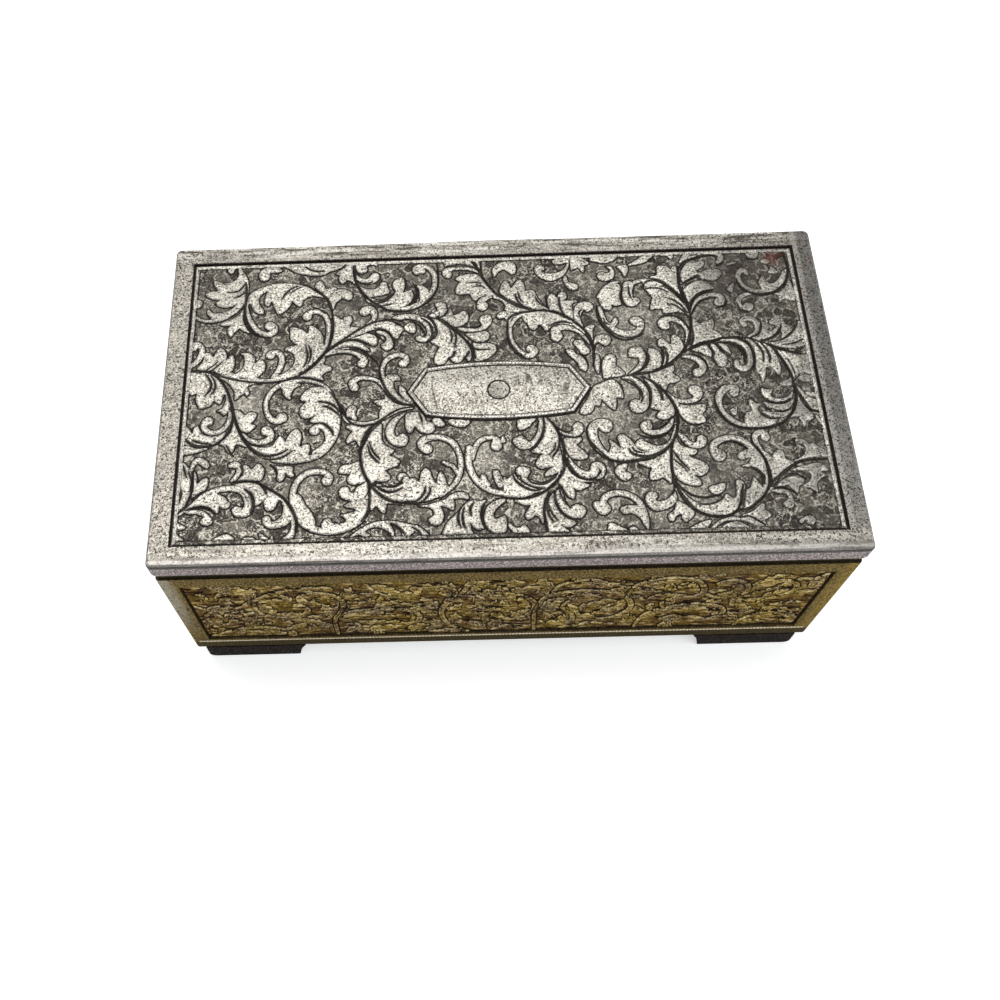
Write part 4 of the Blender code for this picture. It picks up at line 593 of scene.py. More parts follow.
class ReliefField:
    """Height and tone of a flat-topped cast relief over a rectangle, in millimetres."""

    SHOULDER = 0.15
    CURVE_STEP = 0.09
    CUT_DEPTH = 0.85

    def __init__(self, width, height, pitch, seed):
        self.xs = np.linspace(-width / 2, width / 2, int(round(width / pitch)) + 1)
        self.ys = np.linspace(-height / 2, height / 2, int(round(height / pitch)) + 1)
        shape = (len(self.xs), len(self.ys))
        self.inside = np.full(shape, OUTSIDE)
        self.groove = np.full(shape, OUTSIDE)
        self.stain = np.zeros(shape)
        self.wear = np.zeros(shape)
        self.smudge_and_shade = np.zeros(shape)
        self.X, self.Y = np.meshgrid(self.xs, self.ys, indexing="ij")
        self.seed = seed

    def window(self, points, margin):
        low = points[:, :2].min(axis=0) - margin
        high = points[:, :2].max(axis=0) + margin
        i0, i1 = np.searchsorted(self.xs, (low[0], high[0]))
        j0, j1 = np.searchsorted(self.ys, (low[1], high[1]))
        return slice(i0, i1), slice(j0, j1)

    def leaf(self, points):
        outline = curve_through(points, True, self.CURVE_STEP)
        at = self.window(outline, 0.6)
        x, y = self.X[at], self.Y[at]
        if not x.size:
            return
        gap = np.full(x.shape, 1e9)
        odd = np.zeros(x.shape, bool)
        for (x0, y0), (x1, y1) in zip(outline, np.roll(outline, -1, axis=0)):
            gap = np.minimum(gap, (x - x0) ** 2 + (y - y0) ** 2)
            if y0 != y1:
                odd ^= ((y0 > y) != (y1 > y)) & (x < (x1 - x0) * (y - y0) / (y1 - y0) + x0)
        depth = np.where(odd, np.sqrt(gap), -np.sqrt(gap))
        self.inside[at] = np.maximum(self.inside[at], depth)

    def reach(self, points):
        """How far inside a line of changing width each point near it lies."""
        line = curve_through(points, False, self.CURVE_STEP)
        at = self.window(line, line[:, 2].max() + 0.5)
        x, y = self.X[at], self.Y[at]
        depth = np.full(x.shape, OUTSIDE)
        for px, py, width in line:
            depth = np.maximum(depth, width - np.hypot(x - px, y - py))
        return at, depth

    def band(self, points):
        at, depth = self.reach(points)
        self.inside[at] = np.maximum(self.inside[at], depth)

    def line(self, points):
        at, depth = self.reach(points)
        self.groove[at] = np.maximum(self.groove[at], depth)

    def draw(self, text):
        for kind, points in read_shapes(text):
            getattr(self, kind)(points)

    def tones(self):
        """What the material needs at each grid point."""
        return {
            "inside": np.clip(self.inside, -1.0, 1.5),
            "groove": np.clip(self.groove, -1.0, 1.0),
            "stain": self.stain,
            "wear": self.wear,
            "smudge_and_shade": self.smudge_and_shade,
        }

    def heights(self, rise):
        """Heights above the ground, up to rise."""
        cut = smooth(-0.10, 0.09, self.groove)
        flat = smooth(-0.10, self.SHOULDER, self.inside)
        crown = 0.90 + 0.10 * smooth(0.0, 1.2, self.inside)
        ground = 0.55 * value_noise(self.X, self.Y, 1.3, self.seed) + 0.45 * value_noise(
            self.X, self.Y, 0.55, self.seed + 1
        )
        pitted = value_noise(self.X, self.Y, 0.42, self.seed + 2)
        z = flat * crown * rise - flat * 0.045 * rise * pitted
        z = z * (1.0 - self.CUT_DEPTH * cut)
        return z + (1.0 - flat) * (1.0 - cut) * 0.22 * rise * ground


def grid_mesh(name, points, attributes):
    """A mesh over a grid of points, shape (columns, rows, 3), with float attributes."""
    columns, rows = points.shape[:2]
    index = np.arange(columns * rows).reshape(columns, rows)
    faces = np.stack((index[:-1, :-1], index[1:, :-1], index[1:, 1:], index[:-1, 1:]), axis=-1).reshape(-1, 4)
    mesh = bpy.data.meshes.new(name)
    mesh.vertices.add(columns * rows)
    mesh.vertices.foreach_set("co", points.reshape(-1).astype(np.float32))
    mesh.loops.add(faces.size)
    mesh.loops.foreach_set("vertex_index", faces.reshape(-1).astype(np.int32))
    mesh.polygons.add(len(faces))
    mesh.polygons.foreach_set("loop_start", (np.arange(len(faces)) * 4).astype(np.int32))
    mesh.update(calc_edges=True)
    mesh.polygons.foreach_set("use_smooth", np.ones(len(faces), bool))
    for key, values in attributes.items():
        made = mesh.attributes.new(key, "FLOAT", "POINT")
        made.data.foreach_set("value", values.reshape(-1).astype(np.float32))
    made = bpy.data.objects.new(name, mesh)
    scene.collection.objects.link(made)
    return made


def relief_pieces(name, field, z, place, material, body, tiles):
    """The field as tiles side by side. place turns (x, y, z) millimetres into a point of the row frame."""
    tones = field.tones()
    edges = np.linspace(0, len(field.xs) - 1, tiles + 1).astype(int)
    for number, (first, last) in enumerate(zip(edges[:-1], edges[1:])):
        part = slice(first, last + 1)
        points = place(field.X[part], field.Y[part], z[part]) * MM
        marks = {key: values[part] for key, values in tones.items()}
        piece = grid_mesh(f"{name}_{number + 1}" if tiles > 1 else name, points, marks)
        assign(piece, material)
        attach(piece, body)


LID_DRAWING = """
# leaf
-440 196,-436 211,-426 221,-410 229,-394 234,-370 235,-348 231,-330 224,-316 213,-303 202,-312 204,-324 205,
-336 200,-340 192,-344 183,-352 187,-359 196,-362 185,-371 175,-382 168,-388 178,-392 188,-396 197,-401 186,
-407 190,-408 202,-404 219,-415 211,-419 198,-415 186,-409 176,-411 169,-421 172,-428 180,-432 190
-301 101,-302 116,-308 129,-318 138,-326 141,-327 134,-329 125,-337 131,-346 136,-359 138,-360 126,-359 114,
-352 105,-346 100,-356 99,-367 94,-366 89,-358 87,-352 80,-350 70,-352 60,-358 51,-368 43,-380 37,-386 33,-370 33,
-352 38,-336 46,-324 56,-312 69,-302 82,-297 91
-395 31,-425 33,-445 37,-465 41,-455 43,-444 50,-438 60,-437 70,-439 81,-445 86,-435 87,-426 84,-420 76,-419 65,
-410 73,-403 67,-401 58,-403 48,-410 40,-414 35
-519 56,-505 54,-490 51,-473 44,-464 46,-456 56,-455 70,-458 82,-463 82,-469 74,-470 84,-474 94,-482 99,-488 93,
-492 81,-498 88,-505 90,-509 86,-509 76,-514 65
-534 49,-518 48,-504 46,-490 41,-478 31,-469 18,-462 3,-458 -11,-458 -23,-462 -33,-467 -38,-473 -32,-480 -29,
-471 -25,-467 -16,-465 -6,-467 5,-471 -3,-473 -12,-478 -15,-486 -9,-491 -18,-500 -22,-509 -23,-514 -15,-517 -4,
-516 7,-524 4,-530 9,-532 20,-530 30
-536 174,-529 163,-515 155,-500 154,-482 158,-466 167,-453 180,-443 199,-439 215,-439 234,-442 249,-450 264,
-458 276,-459 266,-458 256,-463 246,-472 240,-484 239,-492 243,-502 245,-501 236,-494 223,-504 222,-515 216,
-510 209,-500 204,-488 203,-496 196,-490 189,-478 186,-466 188,-460 192,-464 184,-476 177,-490 174,-500 175,
-508 183,-510 174,-501 161,-515 161,-526 167
-535 202,-527 204,-520 198,-523 188,-530 188
-477 274,-470 278,-466 269,-471 262,-477 265
-444 182,-446 165,-443 150,-436 136,-432 130,-442 133,-450 139,-458 132,-465 122,-470 130,-471 139,-466 146,
-476 146,-485 149,-476 156,-464 160,-452 170
-380 264,-386 270,-400 271,-414 269,-420 260,-420 250,-414 242,-406 243,-401 250,-402 258,-395 261,-386 260
-374 277,-366 267,-354 259,-340 254,-320 251,-304 252,-294 258,-280 263,-269 270,-263 278,-320 278
-319 227,-314 236,-308 238,-302 228,-299 220,-290 223,-280 222,-282 217,-289 210,-295 200,-304 207,-312 217
-290 179,-293 197,-288 209,-280 217,-266 218,-254 212,-251 202,-255 195,-262 194,-268 199,-276 194,-282 186,-284 176
-249 279,-252 265,-250 245,-247 230,-255 236,-262 238,-268 232,-273 233,-276 242,-275 250,-281 253,-270 263,
-260 273,-254 280
-284 160,-276 157,-270 152,-264 157,-254 159,-251 150,-256 138,-246 135,-235 132,-250 122,-270 109,-288 94,-284 115,
-282 140
-346 37,-330 43,-318 54,-309 67,-301 77,-297 69,-300 59,-288 55,-286 47,-296 43,-302 35,-299 27,-308 29,-320 33,
-334 35
-374 19,-369 9,-368 2,-362 -6,-355 -10,-354 1,-349 11,-338 19,-354 22
-420 -99,-412 -110,-400 -117,-383 -120,-382 -129,-358 -134,-336 -134,-316 -130,-300 -123,-288 -112,-279 -98,
-272 -82,-269 -65,-269 -48,-272 -30,-279 -12,-289 2,-301 12,-316 13,-328 7,-336 -4,-337 -13,-328 -16,-336 -26,
-338 -38,-333 -47,-322 -48,-311 -43,-320 -55,-312 -58,-300 -59,-289 -66,-283 -80,-286 -96,-294 -108,-308 -116,
-320 -120,-319 -108,-320 -100,-327 -99,-336 -103,-334 -92,-334 -80,-341 -69,-350 -74,-357 -84,-360 -93,-364 -86,
-370 -82,-375 -89,-381 -99,-392 -103,-406 -102
-460 48,-479 39,-463 26,-452 9,-450 -8,-442 -1,-434 4,-430 -1,-426 6,-430 17,-420 23,-408 23,-424 26,-440 31
-449 -29,-438 -32,-431 -39,-424 -34,-412 -36,-413 -46,-420 -56,-412 -60,-417 -67,-424 -73,-432 -71,-440 -63,-445 -49
-450 -50,-452 -68,-460 -82,-470 -94,-462 -98,-457 -108,-448 -110,-443 -96,-434 -98,-424 -100,-432 -86,-440 -74,
-446 -60
-534 -58,-524 -63,-518 -72,-516 -62,-510 -57,-506 -66,-498 -76,-484 -79,-470 -76,-462 -71,-466 -82,-476 -92,
-490 -96,-504 -99,-515 -96,-526 -94,-534 -84
-534 -99,-524 -96,-508 -102,-490 -101,-504 -108,-520 -112,-533 -110
-490 -192,-476 -183,-460 -179,-442 -180,-428 -187,-420 -200,-416 -216,-420 -227,-430 -231,-440 -226,-442 -216,
-435 -211,-429 -216,-423 -212,-424 -200,-430 -189,-444 -183,-462 -184,-468 -187,-456 -194,-450 -202,-446 -206,
-450 -214,-458 -214,-464 -210,-465 -222,-473 -220,-480 -212,-494 -208,-512 -210,-503 -202
-444 -169,-426 -167,-410 -169,-400 -172,-396 -179,-389 -182,-376 -189,-360 -201,-348 -218,-340 -236,-339 -256,
-342 -270,-358 -271,-350 -264,-345 -252,-346 -241,-354 -248,-366 -252,-380 -252,-389 -246,-392 -236,-386 -230,
-380 -233,-377 -240,-368 -238,-360 -228,-359 -214,-365 -202,-370 -208,-374 -218,-382 -221,-389 -216,-392 -202,
-398 -208,-405 -210,-408 -198,-412 -188,-422 -179,-434 -174
-444 -164,-436 -155,-432 -145,-427 -136,-420 -138,-414 -144,-406 -134,-398 -137,-393 -146,-394 -156,-399 -164,
-410 -165,-426 -163
-376 -139,-366 -140,-356 -139,-346 -142,-346 -150,-343 -158,-352 -159,-358 -152,-360 -162,-366 -168,-372 -161,
-370 -152
-537 -124,-527 -129,-518 -140,-513 -154,-514 -172,-514 -190,-518 -204,-525 -212,-534 -222,-530 -206,-526 -190,
-528 -178,-537 -162,-537 -140
-509 -146,-504 -156,-503 -168,-496 -161,-490 -157,-485 -161,-486 -172,-489 -179,-500 -186,-510 -194,-508 -174
-519 -219,-504 -216,-489 -219,-478 -228,-473 -238,-480 -244,-490 -242,-493 -236,-488 -229,-500 -223,-512 -223
-534 -254,-526 -262,-518 -269,-532 -270
-470 -271,-459 -264,-448 -261,-439 -266,-439 -271
-420 -268,-409 -268,-401 -271,-420 -271
-396 -261,-386 -266,-381 -272,-392 -272
-536 -236,-526 -241,-516 -247,-528 -252,-536 -249
# band
-387 36 30,-378 48 45,-373 63 50,-373 76 50,-380 86 50,-390 86 50,-393 81 75
-296 96 30,-293 120 35,-293 144 38,-300 163 42,-314 171 45,-327 169 50,-331 161 80
-441 196 30,-439 176 35,-430 152 40,-417 133 45,-401 125 50,-390 129 60,-390 139 75,-397 143 85
-532 61 30,-522 71 45,-515 83 50,-513 95 50,-518 105 50,-525 107 60,-529 102 70
-510 48 12,-470 39 18,-440 31 25,-400 29 30,-370 32 28,-345 41 20
-282 -4 15,-296 14 22,-314 23 28,-336 27 30,-357 24 42,-376 17 42,-389 4 40,-396 -15 38,-394 -34 38,-386 -48 50,
-375 -53 55,-368 -46 90
-312 -73 85,-310 -67 50,-303 -65 45,-295 -69 50,-289 -80 55,-288 -93 60,-295 -106 65,-308 -117 70
-493 -49 85,-500 -56 50,-496 -66 50,-484 -72 45,-470 -68 42,-460 -56 38,-456 -40 32,-458 -30 20
-393 -71 90,-386 -76 60,-386 -86 55,-396 -92 50,-410 -92 40,-422 -86 30,-432 -76 20
-490 -134 50,-496 -128 60,-504 -124 50,-511 -130 40,-514 -142 25
-449 -136 40,-442 -134 60,-435 -140 45,-437 -152 35,-446 -164 20
-528 -224 15,-510 -209 25,-494 -192 28,-476 -181 28,-452 -176 30,-430 -180 40,-416 -194 45,-413 -212 55,
-421 -223 75,-433 -221 85
-289 -169 85,-285 -162 55,-294 -153 50,-308 -151 50,-324 -155 50,-338 -169 50,-344 -188 50,-343 -208 55,
-336 -228 60,-322 -246 70,-302 -258 55,-280 -262 40,-260 -260 30
-339 -202 100,-332 -218 110,-322 -232 110,-313 -244 70
# line
-534 55 16,-505 51 20,-480 41 22,-450 32 22,-420 26 20,-390 25 20,-360 29.5 20,-340 38 20,-320 53 22,-305 71 24,
-293 92 24,-288 115 24,-286 150 22,-290 183 24,-305 208 24,-328 227 16
-332 99 10,-328 82 18,-329 67 18,-334 54 10
-327 99 10,-323 86 18,-323 72 18,-327 60 10
-484 70 12,-493 61 17,-504 53 15
-477 69 12,-486 59 17,-498 50 15
-504 46 15,-496 34 20,-492 22 22,-495 10 20,-502 1 14
-494 42 12,-488 32 16,-485 21 18,-487 10 16,-492 3 10
-498 49 15,-482 37 22,-470 22 25,-461 2 27,-454 -20 28,-451 -42 26,-453 -62 26,-460 -78 25,-474 -92 22,-490 -100 16
-451 -34 20,-444 -56 25,-436 -77 28,-426 -94 30,-414 -108 28,-398 -117 22,-380 -119 20,-366 -115 22,-356 -108 10
-400 -122 10,-380 -126 18,-363 -122 20,-348 -111 10
-444 240 14,-450 228 20,-458 220 20,-476 218 10
-440 224 14,-450 212 20,-461 206 12
-443 235 20,-441 206 26,-443 176 26,-438 150 26,-426 130 25,-410 120 20
-376 202 15,-370 213 20,-360 223 22,-348 228 12
-362 213 12,-352 221 17,-340 227 10
-321 182 14,-310 177 20,-299 166 15
-340 273 12,-328 264 20,-314 259 20,-302 259 10
-307 -17 14,-293 -19 22,-280 -26 24,-271 -37 20
-299 -26 12,-289 -29 20,-279 -36 20,-270 -45 15
-313 -59 14,-300 -59.5 22,-290 -66 26,-283 -75 24,-280 -84 10
-279 -9 16,-272 -24 22,-266 -41 25
-530 -83 20,-518 -94 28,-504 -98 28,-482 -97 20
-516 -86 15,-504 -91 20,-486 -94 15
-459 -98 14,-452 -110 18,-445 -119 10
-540 -122 12,-529 -135 20,-521 -156 12
-518 -146 18,-512 -162 22,-511 -184 22,-518 -206 18
-444 -170 20,-426 -166 24,-406 -168 26,-394 -176 26,-388 -189 20
-396 -172 16,-376 -185 26,-358 -200 28,-346 -218 28,-337 -240 24,-336 -260 14
-423 -181 18,-412 -192 30,-408 -208 26,-412 -224 14
-519 -216 16,-498 -211 24,-480 -215 24,-468 -224 14
-383 -136 22,-374 -146 25,-372 -160 14
-432 -137 20,-429 -150 22,-438 -164 15
# leaf
-299 77,-286 89,-272 99,-258 105,-244 104,-234 100,-226 92,-220 84,-230 87,-240 90,-254 91,-270 89,-286 84
-254 111,-242 114,-229 120,-220 120,-212 116,-207 108,-208 98,-216 95,-223 101,-234 107,-244 110
-274 106,-254 118,-234 132,-218 141,-200 145,-182 145,-173 137,-164 133,-161 126,-166 119,-172 108,-179 112,
-185 122,-196 129,-210 129,-226 124,-240 118,-256 112
-209 125,-196 124,-186 116,-180 102,-179 92,-188 84,-196 87,-200 96,-194 100,-190 108,-196 116,-206 121
-180 153,-164 159,-144 159,-126 153,-114 144,-107 130,-108 114,-114 104,-124 99,-136 102,-139 110,-132 113,-126 109,
-120 114,-120 126,-126 137,-138 146,-154 150,-166 148
-158 135,-150 141,-143 139,-140 132,-140 122,-146 119,-154 123,-160 129
-114 155,-104 152,-94 146,-84 136,-74 125,-62 112,-54 98,-46 82,-44 66,-49 57,-55 68,-62 57,-72 54,-79 61,-83 67,
-89 56,-97 51,-106 53,-108 63,-104 77,-99 88,-109 95,-113 100,-106 106,-101 114,-101 128,-106 142
-226 141,-220 139,-212 146,-207 158,-209 171,-218 179,-231 178,-238 170,-236 162,-228 159,-220 163,-216 157,-219 148
-240 235,-230 230,-220 229,-209 233,-203 241,-205 250,-214 252,-220 244,-226 240,-236 242,-243 248,-246 242
-244 279,-245 264,-240 254,-232 253,-225 259,-226 268,-216 272,-208 268,-206 274,-216 278,-230 276
-239 223,-233 210,-222 199,-210 193,-198 192,-188 196,-180 203,-174 209,-178 218,-179 227,-174 235,-164 240,
-158 237,-156 228,-158 218,-160 207,-153 210,-147 212,-143 204,-144 193,-150 184,-158 177,-170 176,-186 177,
-202 178,-214 184,-226 196,-188 206,-188 218,-190 228,-196 232,-201 228,-204 221,-214 216,-226 217
-200 178,-186 177,-164 177,-146 181,-132 186,-131 200,-132 212,-136 221,-126 221,-118 214,-113 207,-107 204,
-112 192,-120 183,-134 175,-152 169,-172 169,-188 172
-84 278,-85 266,-82 262,-70 263,-54 262,-40 260,-28 253,-36 266,-46 278
-90 248,-86 256,-76 259,-60 259,-42 258,-30 252,-24 245,-32 249,-46 253,-64 254,-74 251,-73 243,-78 236,-86 239
-66 234,-58 240,-44 243,-29 242,-22 236,-16 225,-8 212,-1 202,-1 195,-14 195,-26 191,-32 185,-38 189,-41 198,
-46 200,-56 199,-65 201,-67 209,-63 220,-57 227,-62 229
-37 279,-28 267,-23 254,-21 264,-22 279
-30 169,-22 163,-14 166,-11 175,-15 182,-6 189,0 190,-10 194,-22 190,-29 181
-104 179,-96 183,-88 181,-84 174,-88 164,-96 157,-108 152,-116 156,-106 161,-100 168
-97 152,-89 164,-80 170,-74 161,-73 154,-64 157,-54 163,-48 158,-46 148,-50 138,-60 131,-72 130,-82 139,-90 146
-66 126,-56 129,-42 125,-28 126,-23 132,-27 142,-22 151,-12 153,-6 148,-6 138,-12 128,-22 121,-36 117,-50 118,
-59 120
-52 114,-40 116,-26 117,-16 118,-11 110,-14 101,-24 96,-36 98,-46 106
-40 94,-30 92,-16 93,-3 89,0 82,-3 73,-14 63,-26 58,-37 57,-39 66,-37 78
-194 27,-188 33,-176 34,-169 29,-168 22,-176 22,-179 16,-178 6,-172 -6,-160 -19,-150 -26,-164 -24,-176 -17,-186 -7,
-194 9,-198 20
-169 10,-164 9,-158 2,-150 -9,-142 -20,-136 -29,-146 -26,-158 -18,-168 -4
-163 -29,-176 -24,-187 -14,-194 -6,-194 -15,-206 -17,-213 -20,-204 -27,-199 -32,-203 -41,-202 -53,-194 -48,-182 -40,
-168 -34,-150 -31
-259 -68,-251 -64,-240 -67,-228 -69,-213 -64,-220 -73,-226 -84,-230 -96,-234 -106,-240 -100,-242 -94,-250 -96,
-256 -100,-258 -93,-253 -83,-248 -77,-254 -72
-224 -96,-218 -83,-210 -72,-200 -64,-199 -76,-199 -92,-194 -104,-184 -111,-178 -116,-186 -124,-176 -129,-170 -136,
-174 -144,-186 -149,-194 -152,-188 -159,-185 -166,-192 -172,-202 -173,-210 -171,-217 -176,-224 -164,-231 -149,
-233 -130,-231 -112
-192 -76,-188 -64,-179 -54,-166 -46,-158 -43,-170 -56,-177 -70,-178 -82,-174 -89,-166 -84,-158 -86,-155 -95,
-160 -105,-172 -108,-184 -101,-191 -90
-159 -50,-154 -44,-142 -42,-135 -44,-128 -49,-124 -60,-114 -65,-110 -76,-116 -83,-126 -84,-136 -80,-142 -72,
-144 -69,-148 -80,-154 -82,-159 -70
-114 -60,-108 -54,-98 -56,-93 -66,-98 -72,-108 -70
-87 -61,-78 -57,-64 -58,-50 -59,-52 -66,-60 -73,-72 -73,-82 -69
-270 -154,-265 -142,-250 -139,-236 -134,-234 -149,-228 -164,-226 -171,-236 -176,-248 -177,-255 -171,-255 -164,
-250 -156,-258 -157
-240 -183,-230 -177,-224 -172,-221 -182,-224 -196,-234 -205,-250 -207,-264 -201,-269 -190,-264 -182,-254 -182,
-251 -190,-244 -192
-260 -216,-250 -209,-236 -207,-224 -199,-219 -189,-219 -210,-221 -228,-230 -244,-244 -256,-262 -263,-280 -264,
-290 -261,-296 -250,-292 -240,-283 -238,-278 -246,-266 -247,-257 -244,-260 -236,-266 -232,-254 -229,-242 -226,
-242 -222,-252 -219
-218 -190,-210 -183,-200 -194,-188 -206,-174 -213,-164 -216,-188 -213,-192 -220,-194 -230,-201 -227,-208 -218,
-216 -224,-219 -210
-220 -176,-209 -190,-196 -202,-184 -209,-168 -210,-150 -210,-140 -212,-124 -210,-108 -204,-92 -194,-79 -182,
-76 -176,-86 -188,-92 -182,-96 -168,-102 -158,-107 -166,-110 -179,-116 -169,-120 -156,-127 -150,-134 -158,-138 -174,
-144 -169,-152 -169,-159 -178,-168 -189,-184 -195,-198 -192,-208 -184
-250 -272,-240 -262,-226 -253,-210 -246,-190 -244,-170 -247,-152 -252,-140 -255,-124 -271,-136 -271,-146 -264,
-154 -271,-164 -271,-168 -262,-176 -253,-186 -249,-182 -258,-179 -268,-182 -271,-190 -262,-202 -256,-216 -256,
-226 -262,-218 -269,-226 -272,-236 -268
-126 -218,-110 -213,-96 -208,-86 -200,-72 -196,-60 -200,-59 -209,-70 -207,-82 -209,-81 -218,-84 -228,-94 -223,
-104 -220,-100 -232,-100 -244,-108 -254,-118 -253,-124 -245,-120 -240,-115 -236,-116 -228,-122 -223,-140 -219
-100 -271,-98 -259,-92 -248,-82 -238,-72 -228,-62 -216,-52 -212,-40 -213,-30 -212,-38 -222,-41 -238,-39 -252,
-36 -262,-46 -264,-52 -259,-57 -252,-56 -264,-54 -271,-74 -271
-20 -216,-6 -210,0 -210,0 -216,-10 -223,-19 -236,-16 -246,-9 -243,0 -242,0 -266,-12 -272,-24 -268,-34 -256,-34 -240,
-30 -226
# band
-298 77 20,-282 83 30,-262 84 35,-246 80 40,-234 72 50,-229 64 60,-233 58 80
-246 10 75,-249 19 65,-244 26 50,-232 29 40,-218 27 32,-206 22 30,-198 13 25,-190 1 22,-178 -13 20,-164 -24 16
-162 56 75,-156 61 50,-158 70 45,-168 74 45,-182 71 45,-193 61 40,-198 46 38,-197 30 30,-193 14 25,-186 -2 20
-264 -45 20,-258 -54 30,-246 -60 35,-228 -62 30,-210 -59 28,-194 -51 25,-174 -40 22,-146 -33 15
-256 -44 40,-252 -34 50,-247 -32 50,-249 -44 50,-244 -52 30
-126 254 60,-130 261 55,-126 265 45,-114 260 45,-105 247 45,-103 232 45,-105 217 42,-113 200 38,-124 188 30
-136 252 60,-138 259 50,-132 264 45
-124 -114 90,-130 -112 60,-134 -103 60,-126 -95 60,-110 -92 50,-94 -95 50,-81 -104 50,-73 -118 45,-69 -136 42,
-70 -156 42,-76 -174 38,-88 -189 32,-104 -202 25
-97 -140 30,-90 -144 35,-82 -148 30,-74 -162 30
-165 -166 80,-159 -172 50,-162 -180 40,-174 -186 35,-190 -186 30,-206 -179 20
-48 -136 15,-46 -120 35,-40 -106 42,-30 -98 42,-18 -96 42,-9 -100 60,-9 -112 90
-54 -114 50,-56 -136 50,-53 -156 50,-46 -172 50,-34 -186 50,-18 -196 45,0 -201 40
-33 -169 42,-31 -178 50,-26 -184 40
-12 -162 50,-9 -172 62,-6 -184 55
# line
-299 82 20,-280 99 22,-260 114 24,-240 129 24,-220 141 24,-200 147.5 24,-182 146 22,-168 139 20,-161 131 12
-296 75 15,-276 80 15,-256 79 18,-242 72 15
-280 89 10,-260 93 16,-240 90 20,-226 80 20,-210 64 18,-202 52 10
-256 108 10,-244 109 18,-230 102 20,-220 94 14
-228 122 10,-214 120 18,-202 112 18,-194 102 12
-212 131 10,-196 128 20,-184 117 22,-177 100 22,-179 88 14
-194 152 10,-176 149 14,-160 143 14
-149 148 14,-136 138 20,-126 124 22,-123 112 16
-129 150 14,-116 139 24,-110 124 26,-112 108 22,-122 98 14
-130 155 14,-112 150 20,-98 146 24,-82 131 26,-66 116 26,-52 101 26,-42 86 24,-32 80 22,-12 80 14
-41 82 18,-37 62 18
-79 122 12,-76 110 18,-78 97 14
-72 120 12,-69 106 18,-72 87 14
-72 77 20,-76 68 26,-84 63 16
-47 77 16,-51 69 24,-56 62 16
-250 279 16,-249 254 24,-244 230 28,-234 210 28,-220 192 26,-204 180 22,-188 170 18,-170 166 16,-150 166 12
-238 231 14,-226 229 20,-216 232 15
-212 190 12,-198 191 22,-186 202 14
-209 184 12,-193 189 24,-182 199 22,-176 207 12
-198 179 12,-186 181 16,-178 183 8
-140 219 10,-135 208 35,-138 194 40,-146 182 30,-156 177 15
-159 240 12,-156 224 16,-159 208 14
-99 270 14,-97 248 20,-99 216 20,-108 198 18,-122 182 18,-136 172 14
-40 279 22,-29 260 24,-20 242 26,-12 226 28,-3 210 28,6 196 26,20 185 26,40 170 24,60 162 22
-22 279 18,-20 260 20,-19 243 20
-82 262 18,-60 265 20,-36 260 18,-24 248 16
-46 223 12,-32 224 18,-20 222 12
-36 214 10,-22 216 16,-14 210 10
-84 174 12,-82 164 20,-90 153 20,-104 150 14
-64 129 12,-50 128 22,-34 128 22,-25 132 12
-54 116 10,-38 116 14,-24 119 10
-200 61 16,-203 42 22,-199 22 25,-191 2 25,-179 -14 25,-162 -26 22,-144 -30 14
-144 -32 14,-166 -35 20,-184 -44 22,-200 -56 22,-218 -71 24,-228 -88 26,-234 -110 26,-234 -134 26,-228 -158 26,
-216 -180 26,-200 -199 26,-182 -210 25,-160 -213 22,-140 -216 20
-286 2 18,-276 -14 25,-266 -32 26,-259 -49 25,-248 -62 22,-230 -66 20,-212 -63 16
-223 -169 14,-220 -184 20,-219 -206 22,-222 -228 20,-232 -244 16
-222 -104 12,-218 -120 20,-210 -132 22,-204 -138 14
-220 -98 10,-214 -116 18,-206 -127 18,-202 -132 10
-208 -182 12,-194 -182 22,-178 -183 22,-168 -174 22,-164 -166 12
-198 -190 10,-182 -192 16,-166 -186 14
-128 -185 12,-130 -196 20,-139 -208 20,-152 -213 12
-119 -187 12,-122 -198 18,-131 -210 18,-142 -215 10
-136 -45 12,-133 -54 20,-131 -62 12
-100 -54 12,-94 -63 18,-89 -68 12
-72 -226 12,-76 -238 22,-75 -252 22,-72 -259 10
-66 -224 12,-69 -238 20,-68 -254 20,-64 -262 10
-50 -215 12,-56 -226 25,-55 -239 14
-33 -219 14,-38 -234 24,-36 -252 24,-30 -264 15
-186 -249 14,-176 -254 25,-166 -264 20,-162 -271 12
-150 -257 14,-142 -263 20,-136 -271 14
# leaf
2 240,0 250,6 260,16 267,30 269,40 264,43 254,41 244,34 240,28 246,24 250,16 250,9 244,4 236
12 200,14 214,19 224,25 225,29 218,32 210,38 218,44 226,50 227,55 218,57 204,64 204,72 202,76 190,82 178,90 168,
96 161,80 160,66 164,52 171,40 178,26 186
94 162,95 176,96 188,102 194,108 192,112 186,116 194,122 198,128 194,129 186,124 179,134 178,144 178,150 174,
142 169,138 160,137 146,136 138,128 144,118 152,106 158
130 134,138 139,139 152,142 164,150 172,162 175,172 170,174 162,168 156,162 153,157 158,152 150,150 140,151 129,
153 122,146 128,138 132
60 153,74 155,90 155,106 151,120 143,132 134,142 125,150 116,156 106,146 116,132 126,118 130,104 128,94 120,88 115,
84 122,79 128,76 129,72 122,66 118,60 122,56 132,50 140,50 149
104 124,118 127,130 124,142 116,152 106,159 94,162 84,152 98,144 108,132 115,120 117,113 114,116 104,112 96,104 92,
97 98,96 110,98 120
4 150,10 158,20 159,30 156,40 152,30 144,26 134,24 128,22 138,16 145,8 144
0 201,10 194,24 184,40 172,54 164,60 159,48 154,40 156,30 158,19 162,20 170,16 180,8 186,0 189
127 230,132 232,134 220,142 216,150 212,150 204,142 201,134 205,129 214,126 222
76 252,82 258,90 257,94 250,88 244,96 240,106 239,120 242,130 250,135 262,126 260,114 260,109 266,116 272,128 278,
